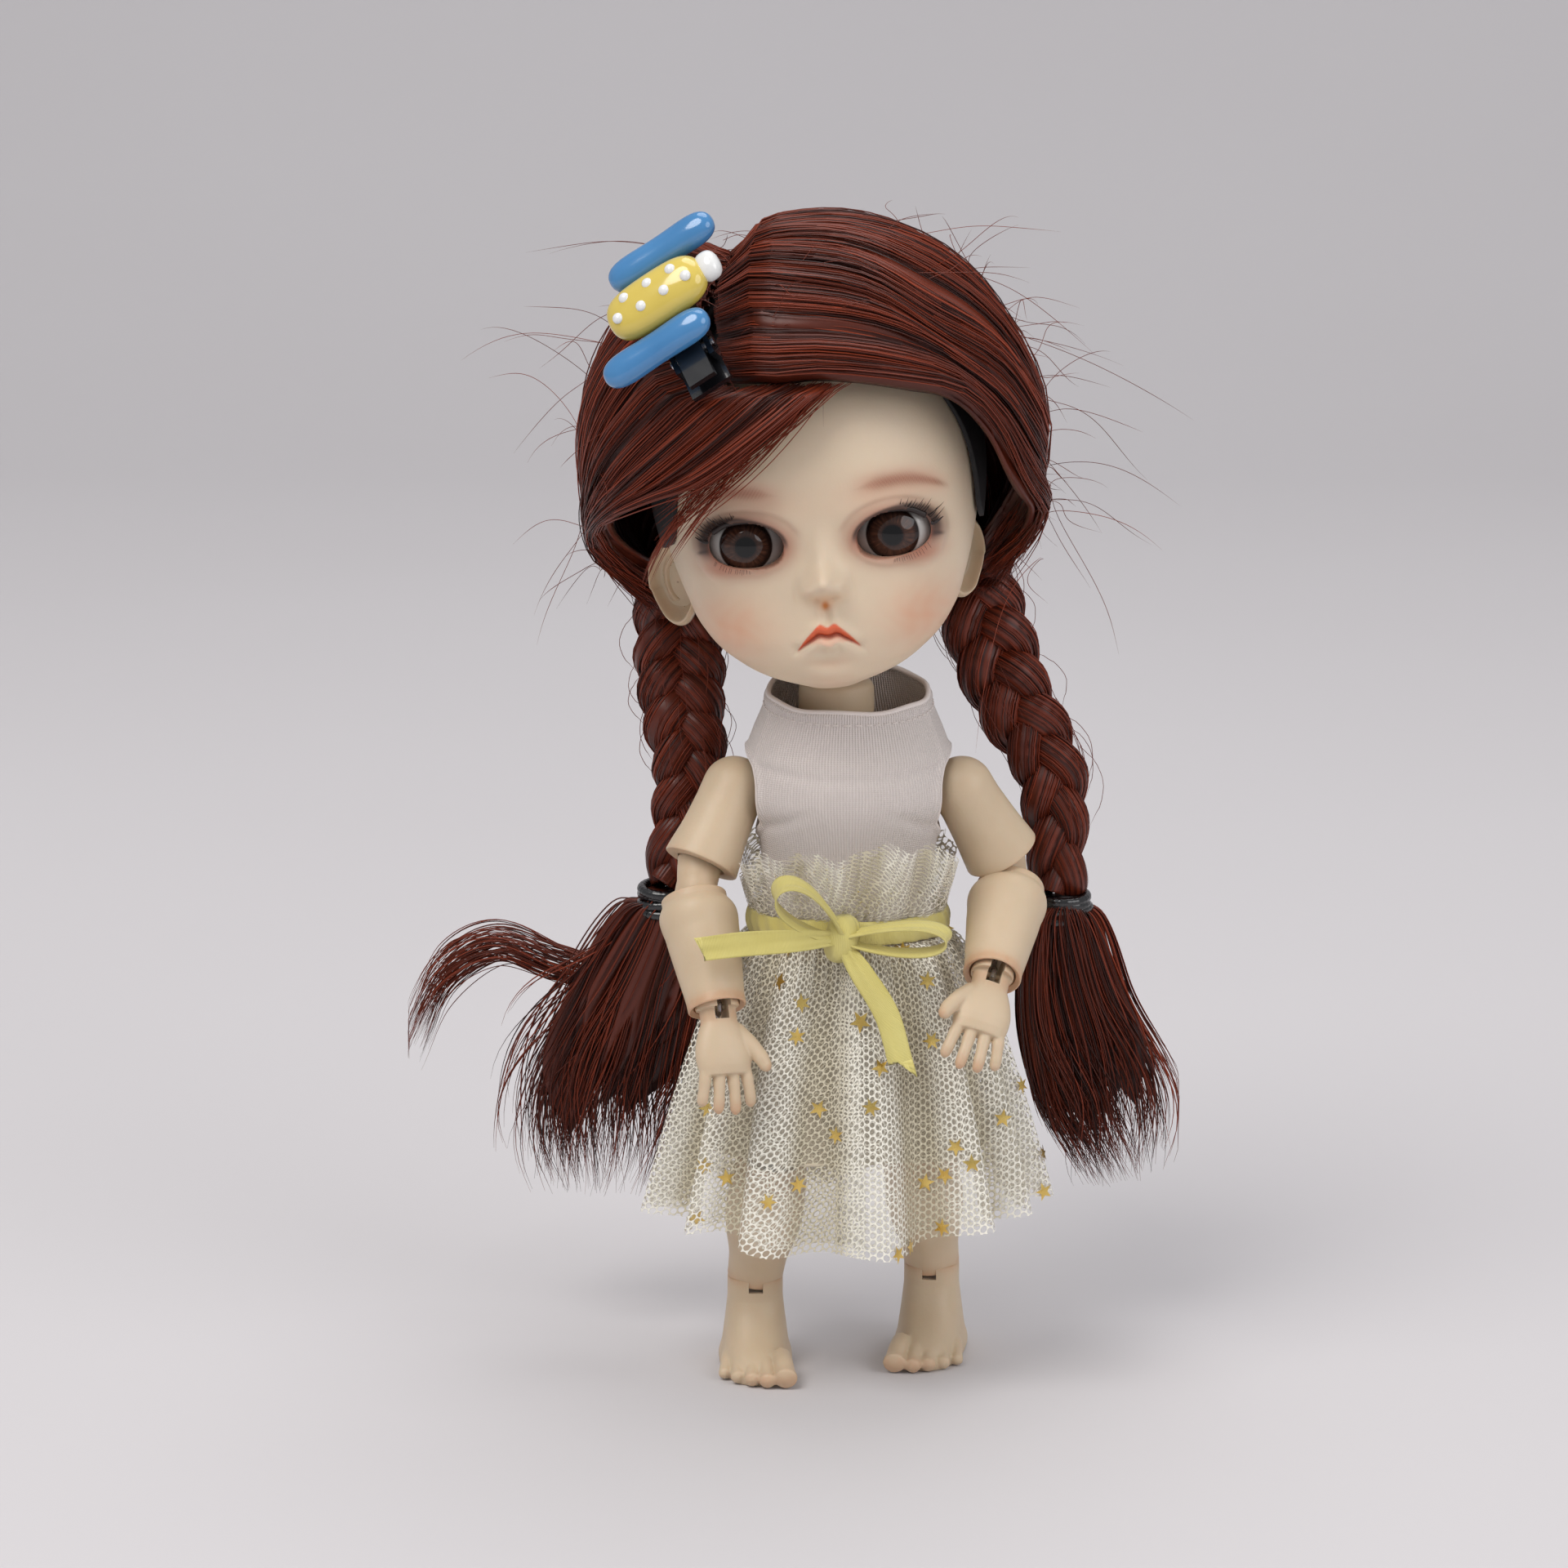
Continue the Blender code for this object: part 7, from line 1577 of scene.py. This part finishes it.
def spread_uv(grid):
    """Flat sizes in millimetres: the arc round, averaged over the rows and scaled by half the pull, and
    the drop."""
    arc = np.concatenate([np.zeros((len(grid), 1)), np.cumsum(np.linalg.norm(np.diff(grid, axis=1),
            axis=-1), axis=1)], axis=1)
    drop = np.concatenate([np.zeros((1, grid.shape[1])), np.cumsum(np.linalg.norm(np.diff(grid, axis=0),
            axis=-1), axis=0)], axis=0)
    return np.stack([(arc * 0.35 + arc[-1:] * 0.65), drop], -1)


outer_net, inner_net = tulle("tulle_outer", 0.98, 0.09, False), tulle("tulle_inner", 0.80, 0.22, False)
LOOK = np.array([-1.33, -685.9, 233.0])
STARS = [(352, 718), (403, 772), (390, 853), (548, 818), (595, 930), (572, 1028), (490, 1095), (712, 716),
        (722, 864), (938, 972), (895, 1052), (780, 1125), (755, 1192), (820, 1165), (990, 1140),
        (995, 1237), (320, 1258), (217, 1200), (165, 1170), (145, 1297), (392, 1215), (640, 1395),
        (697, 1397), (112, 873), (175, 1030), (445, 1030), (708, 1210), (748, 1320), (765, 578), (648, 505),
        (385, 632)]
t_fine, s_fine = np.meshgrid(np.linspace(-np.pi - 0.3, 0.3, 700), np.linspace(0.02, 0.98, 220))
surface = skirt_place(t_fine, s_fine)
seen = stand.out(surface.reshape(-1, 3)) - LOOK
tilt = math.radians(12)
ahead = seen[:, 1] * math.cos(tilt) - seen[:, 2] * math.sin(tilt)
screen = np.stack([960 + 5954.7 * seen[:, 0] / ahead, 960 - 5954.7
        * (seen[:, 1] * math.sin(tilt) + seen[:, 2] * math.cos(tilt)) / ahead], -1)
star_spots = []
for sx, sy in STARS:
    gap = np.hypot(*(screen - [780 + sx / 2, 840 + sy / 2]).T) + (ahead - ahead.min()) * 0.15
    k = int(np.argmin(gap))
    star_spots.append((t_fine.ravel()[k], s_fine.ravel()[k], 1.75 if sx == 548 else 1.45))
for k in range(22):
    star_spots.append((0.35 + 2.5 * chance.random(), 0.15 + 0.78 * chance.random(), 1.45))
foil = Finish("gold_foil", tint(222, 182, 84), 0.26, Metallic=1.0)
foil.set("Roughness", 0.16 + foil.noise(1500.0, 2.0) * 0.26)
foil.set("Base Color", foil.mix(foil.noise(600.0, 2.0), tint(206, 160, 66), tint(246, 222, 140)))
for word, side in (("right", -1), ("left", 1)):
    waist_point = np.array([7.9 + side * 6.0, -1.2, hips[2] - 2.0])
    hem_point = waist_point + np.array([side * 4.0, 0, -26.0])
    half = np.linspace(-np.pi / 2 - 0.06, np.pi / 2 + 0.06, 300) + (0 if side > 0 else np.pi)
    turn, share = np.meshgrid(half, np.linspace(0, 1, 90))
    layers = {}
    for label, inward, net_kind in (("outer", 0.0, outer_net), ("inner", 0.75, inner_net)):
        grid = skirt_place(turn, share * (1.0 if label == "outer" else 0.975), inward)
        cloth = piece(f"skirt_{label}_{word}", stand.out(grid.reshape(-1, 3)),
                grid_faces(*grid.shape[:2])[:, ::-1], net_kind.material,
                uv=spread_uv(grid) + (0 if label == "outer" else 0.5), values={"fold": fold_shade(grid)})
        layers[label] = cloth
    parts = []
    for at_turn, at_share, size in star_spots:
        if (np.cos(at_turn) >= 0) != (side > 0):
            continue
        here = skirt_place(np.array(at_turn), np.array(at_share))
        du = unit(skirt_place(np.array(at_turn + 0.02), np.array(at_share)) - here)
        dv = skirt_place(np.array(at_turn), np.array(at_share + 0.02)) - here
        normal = unit(np.cross(dv, du))
        normal = normal * (1 if normal @ (here * [1, 1, 0]) > 0 else -1)
        du = unit(du - normal * (du @ normal) * 0.5)
        dv = np.cross(normal, du)
        points_of = int(chance.integers(5, 7))
        spin = chance.random() * 6.3
        a = spin + np.arange(2 * points_of) * np.pi / points_of
        r = np.where(np.arange(2 * points_of) % 2 == 0, size, size * 0.40)
        flat = here + normal * 0.30 + (du * (np.cos(a) * r)[:, None] + dv * (np.sin(a) * r)[:, None])
        hub = here + normal * 0.46
        n = 2 * points_of
        quads = [[n, (2 * k - 1) % n, 2 * k, (2 * k + 1) % n] for k in range(points_of)]
        parts.append((np.concatenate([flat, [hub]]), quads))
    points, faces = gathered(parts)
    stars = piece(f"foil_stars_{word}", stand.out(points), faces, foil.material, smooth=False)
    for made in (*layers.values(), stars):
        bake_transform(made)
    if side < 0:
        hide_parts("skirt")

    # The lining is a plain slip of thin cream cotton, shorter than the tulle.
    if side < 0:
        cotton = Finish("slip_cotton", tint(204, 192, 170), 0.85)
        u, v = cotton.uv()
        weave = (u * (2 * math.pi / 0.32)).sin() + (v * (2 * math.pi / 0.32)).sin()
        # The cotton is darker in the hollows of the weave: painted shade, following the same weave as its
        # bumps.
        cotton.set("Base Color", cotton.mix(weave * 0.2 + 0.5, tint(192, 178, 154), tint(212, 201, 180)))
        cotton.bump(weave, 0.00004)
    grid = hanging(turn, share, 8.0, 28.6, (26.6, 19.6), (40.6, 28.8), 0.7, 7, 0.8)
    cloth = piece(f"slip_{word}", stand.out(grid.reshape(-1, 3)), grid_faces(*grid.shape[:2])[:, ::-1],
            cotton.material, uv=spread_uv(grid))
    hem_row = grid[-1] + [0, 0, 0.2]
    points, faces = tube(hem_row, 0.28, 6)
    hem_cord = piece(f"slip_hem_{word}", stand.out(points), faces, cotton.material,
            uv=np.zeros((points.reshape(-1, 3).shape[0], 2)))
    for made in (cloth, hem_cord):
        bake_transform(made)
    if side < 0:
        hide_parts("lining")

# The frill stands up from the waist over the knit, in the same tulle with silver glitter.
frill_net = {"outer": tulle("tulle_frill", 1.05, 0.10, True),
        "inner": tulle("tulle_frill_inner", 0.90, 0.26, True)}
turn, share = np.meshgrid(np.linspace(0, 2 * np.pi, 560), np.linspace(0, 1, 36))
for label, inward in (("outer", 0.0), ("inner", 0.6)):
    lean = 1 + 0.16 * hill(np.cos(turn), 1.0, 0.5) * ramp(-np.sin(turn), -0.2,
            0.4) + 0.05 * np.sin(turn * 5 + 1) + 0.05 * np.sin(turn * 13) + 0.03 * np.sin(turn * 29
            + 2) - 0.10 * (label == "inner")
    grid = hanging(turn, share, 14.4, -11.4 * lean, (28.4, 21.2), (39.4, 31.6), 1.45, 15, 0.8, 0.0, inward)
    frill = piece(f"frill_{label}", stand.out(grid.reshape(-1, 3)), grid_faces(*grid.shape[:2]),
            frill_net[label].material, uv=spread_uv(grid), values={"fold": fold_shade(grid)})
    if label == "outer":
        worn(frill, "ruffle", "torso")
    else:
        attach(frill, "torso")


# A pale yellow satin ribbon hides the gathers. It is tied at the front in a bow, with
# one tail laid over the doll's right arm and the other hanging down the skirt.
satin = Finish("yellow_satin_ribbon", tint(218, 202, 116), 0.34, Sheen_Weight=0.2, Anisotropic=0.4)
u, v = satin.uv()
shine = (u * (2 * math.pi / 0.16)).sin()
satin.set("Base Color", satin.mix(satin.noise(120.0, 2.0) * 0.7 + shine * 0.08, tint(214, 198, 104),
        tint(238, 228, 156)))
satin.set("Roughness", 0.28 + satin.noise(500.0, 2.0) * 0.16)
satin.bump(shine * 0.5 + satin.noise(260.0, 2.0) * 3.0, 0.00005)


def ribbon(path, across, width, bow=0.0, crinkle=0.0, cut=0.0):
    """A strip of ribbon along a path: its width is a table of shares, it bows across, and crinkles run
    along it."""
    path = np.asarray(path, float)
    count, wide = len(path), 13
    tangent = unit(np.gradient(path, axis=0))
    across = unit(np.asarray(across, float) - tangent * (tangent @ np.asarray(across, float))[:, None])
    normal = np.cross(tangent, across)
    t = np.linspace(0, 1, count)[:, None]
    s = np.linspace(-1, 1, wide)[None, :]
    half = (eased(t[:, 0], width) / 2)[:, None]
    lift = bow * (1 - s**2) + crinkle * np.sin(s * 7 + t * 4) * np.exp(-t * 4) + crinkle * 0.6 * np.sin(s
            * 5 - t * 3) * np.exp(-(1 - t) * 4)
    top = path[:, None] + across[:, None] * (s * half)[..., None] + normal[:, None] * lift[..., None]
    top = top + tangent[:, None] * (cut * s * (t == 1))[..., None]
    both = np.concatenate([top, (top - normal[:, None] * 0.22)[:, ::-1]], axis=1)
    both = np.concatenate([both[:1].mean(axis=1, keepdims=True).repeat(2 * wide, 1), both,
            both[-1:].mean(axis=1, keepdims=True).repeat(2 * wide, 1)])
    length = np.concatenate([[0], np.cumsum(np.linalg.norm(np.diff(path, axis=0), axis=-1))])
    length = np.concatenate([length[:1], length, length[-1:]])
    uv = np.stack([np.broadcast_to(length[:, None], both.shape[:2]),
            np.broadcast_to(np.concatenate([s, s[:, ::-1]], 1) * 1.7, both.shape[:2])], -1)
    return both, grid_faces(count + 2, 2 * wide, False, True), uv


turn, rise = np.meshgrid(np.linspace(0, 2 * np.pi, 260, endpoint=False), np.linspace(-1, 1, 12))
belt_out = 0.42 * (1 - rise**2) + 0.12 * np.sin(turn * 31 + rise * 2) + 0.08 * np.sin(turn * 12)
belt = np.stack([(14.35 + belt_out) * np.sign(np.cos(turn)) * abs(np.cos(turn)) ** 0.92,
        (10.75 + belt_out) * np.sign(np.sin(turn)) * abs(np.sin(turn)) ** 0.92,
        12.8 + 1.75 * rise + 0.10 * np.sin(turn * 6)], -1)
inner = belt[::-1] * [0.975, 0.97, 1]
belt_all = np.concatenate([belt, inner])
uv = np.stack([turn * 13.0, rise * 1.7], -1)
waist_band = piece("satin_belt", stand.out(belt_all.reshape(-1, 3)), grid_faces(24, 260, True, True),
        satin.material, uv=np.concatenate([uv, uv[::-1]]))
worn(waist_band, "ribbon_belt", "torso")

knot_at = np.array([-1.0, -13.6, 12.8])
angle, up = np.meshgrid(np.linspace(0, 2 * np.pi, 64, endpoint=False),
        np.linspace(-np.pi / 2, np.pi / 2, 40))
crease = 1 + 0.05 * np.sin(angle * 5 + up * 3) - 0.10 * hill(np.sin(angle * 1.0 + 0.6), 0.3, 0.12)
knot = np.stack([2.6 * np.cos(up) ** 0.75 * np.cos(angle) * crease, 1.9 * np.cos(up) ** 0.7 * np.sin(angle),
        3.5 * np.sin(up) + 0.5 * np.cos(angle) * np.cos(up)], -1) + knot_at
pieces = [(knot, grid_faces(40, 64, False, True), np.stack([angle * 2.2, up * 2.0], -1))]
for side, reach, lift, lean, open_out in ((-1, 12.6, 44, 0.42, 3.3), (1, 15.0, 4, 0.28, 2.6)):
    r = math.radians(lift)
    outward = np.array([side * math.cos(r), -lean, math.sin(r)])
    upward = np.array([-side * math.sin(r) * 0.95, -0.2, math.cos(r) * 0.95])
    t = np.linspace(0.03, 0.97, 64) * 2 * np.pi
    along = reach * (0.5 - 0.5 * np.cos(t)) ** 0.85
    path = knot_at + [0, -0.4, 0] + outward * along[:, None] + upward * (open_out * np.sin(t)
            * (0.55 + 0.45 * (along / reach)))[:, None]
    pieces.append(ribbon(path, np.cross(outward, upward), [(0, 1.7), (0.15, 2.6), (0.35, 3.4), (0.65, 3.4),
            (0.85, 2.6), (1, 1.7)], 0.25, 0.30))
left_tail = knot_at + [0, -0.2, -0.6] + through(np.array([(0, 0, 0), (0.18, -0.14, -0.25),
        (0.38, -0.24, -0.58), (0.50, -0.32, -0.98)]) * 16.8, 50)
left_tail = left_tail + np.array([0.0, -0.5, 0.0]) * np.sin(np.linspace(0, 7, 50))[:, None]
pieces.append(ribbon(left_tail, (1, 0.2, 0.5), [(0, 1.8), (0.2, 3.0), (0.5, 3.5), (1, 3.5)], 0.35, 0.25,
        2.2))
right_tail = knot_at + [0, -0.5, 0.3] + through(np.array([(0, 0, 0), (-0.35, -0.20, 0.02),
        (-0.7, -0.33, 0.03), (-1.0, -0.36, 0.0)]) * 20.0, 50)
pieces.append(ribbon(right_tail, (0, 0.3, 1), [(0, 1.8), (0.2, 2.8), (0.5, 3.4), (1, 3.4)], 0.30, 0.25,
        0.7))
points, faces = gathered([(p, f) for p, f, _ in pieces])
bow = piece("satin_bow", stand.out(points), faces, satin.material,
        uv=np.concatenate([w.reshape(-1, 2) for _, _, w in pieces]))
merged(bow)
worn(bow, "bow", "torso")


# The clip is a sprung two-plate clip of black lacquered metal. Two sky blue bars and a
# dotted yellow cushion of glossy plastic are glued in a row on its upper plate.
hinge = at("clip_lever_open")
clip_x = axis("clip_lever_open")
back_way = unit(-(np.array([-2.84, 7.84, 5.94]) - clip_x * (np.array([-2.84, 7.84, 5.94]) @ clip_x)))
across_way = np.cross(clip_x, back_way)
clip_z = (2.2 * back_way - 10.0 * across_way) / 10.24
clip = Frame(hinge, clip_x, clip_z)
lacquer = Finish("black_lacquer", tint(20, 20, 23), 0.16, Coat_Weight=0.8, Coat_Roughness=0.05)
lacquer.set("Roughness", 0.12 + lacquer.noise(500.0, 2.0) * 0.12)
finish_node("clip_base", lacquer)
finish_node("clip_lever", lacquer)


def plastic(name, low, high):
    made = Finish(name, high, 0.14, Coat_Weight=0.7, Coat_Roughness=0.05)
    made.set("Base Color", made.mix(made.noise(120.0, 2.0), low, high))
    made.set("Roughness", 0.10 + made.noise(900.0, 2.0) * 0.10)
    return made


def bead(centre, length, width, height, waist=0.0, corner=4.0):
    """A rounded bar: an oval whose size follows (1 - |t|^corner)^(1/2.4) along its length, slimmer in
    the middle."""
    t = np.sin(np.linspace(-np.pi / 2, np.pi / 2, 90))[:, None]
    turn = np.linspace(0, 2 * np.pi, 72, endpoint=False)[None, :]
    size = np.clip(1 - abs(t) ** corner, 0, 1) ** (1 / 2.4) * (1 - waist * np.cos(np.pi * t / 2) ** 2)
    c, s = np.cos(turn), np.sin(turn)
    grid = np.stack([t * length / 2 + 0 * c, size * width / 2 * np.sign(c) * abs(c) ** 0.92,
            size * height / 2 * np.sign(s) * abs(s) ** 0.92], -1)
    return grid + centre, grid_faces(90, 72, False, True)


blue = plastic("sky_blue_plastic", tint(56, 118, 172), tint(78, 142, 196))
for side, word in ((-1, "front"), (1, "back")):
    points, faces = bead([side * 3.2, 7.5 + side * 6.3, 2.2 + 1.92], 16.8, 5.0, 4.1, 0.10, 5.0)
    bar = piece(f"blue_bar_{word}", clip.out(points.reshape(-1, 3)), faces, blue.material)
    merged(bar)
    worn(bar, f"clip_bar_{word}", "clip_lever")
yellow = plastic("yellow_plastic", tint(206, 180, 74), tint(224, 200, 98))
cushion_at = np.array([0.0, 7.5, 4.72])
points, faces = bead(cushion_at, 15.2, 7.4, 5.2, -0.05, 4.5)
cushion = piece("yellow_cushion", clip.out(points.reshape(-1, 3)), faces, yellow.material)
merged(cushion)
worn(cushion, "clip_pillow", "clip_lever")
white = plastic("white_dots", tint(222, 222, 222), tint(240, 240, 238))
parts = []
for dx, dy in ((-5.6, -0.7), (-3.6, 1.4), (-1.9, -1.2), (0.2, 1.3), (1.9, -1.1), (3.9, 1.2), (5.4, -0.9)):
    rise = 2.55 * max(0.0, 1 - (dy / 3.7) ** 2) ** 0.5 * max(0.0, 1 - abs(dx / 7.6) ** 4.5) ** (1 / 2.4)
    up, turn = np.meshgrid(np.linspace(-0.3, np.pi / 2, 14), np.linspace(0, 2 * np.pi, 30, endpoint=False),
            indexing="ij")
    dot = np.stack([0.78 * np.cos(up) * np.cos(turn), 0.78 * np.cos(up) * np.sin(turn), 0.62 * np.sin(up)],
            -1)
    parts.append((dot + cushion_at + [dx, dy, rise], grid_faces(14, 30, False, True)))
points, faces = bead(cushion_at + [8.2, 0.2, -0.6], 3.4, 4.4, 3.4, 0.0, 2.6)
parts.append((points, faces))
points, faces = gathered(parts)
dots = piece("white_raised_dots", clip.out(points), faces, white.material)
merged(dots)
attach(dots, "clip_lever")
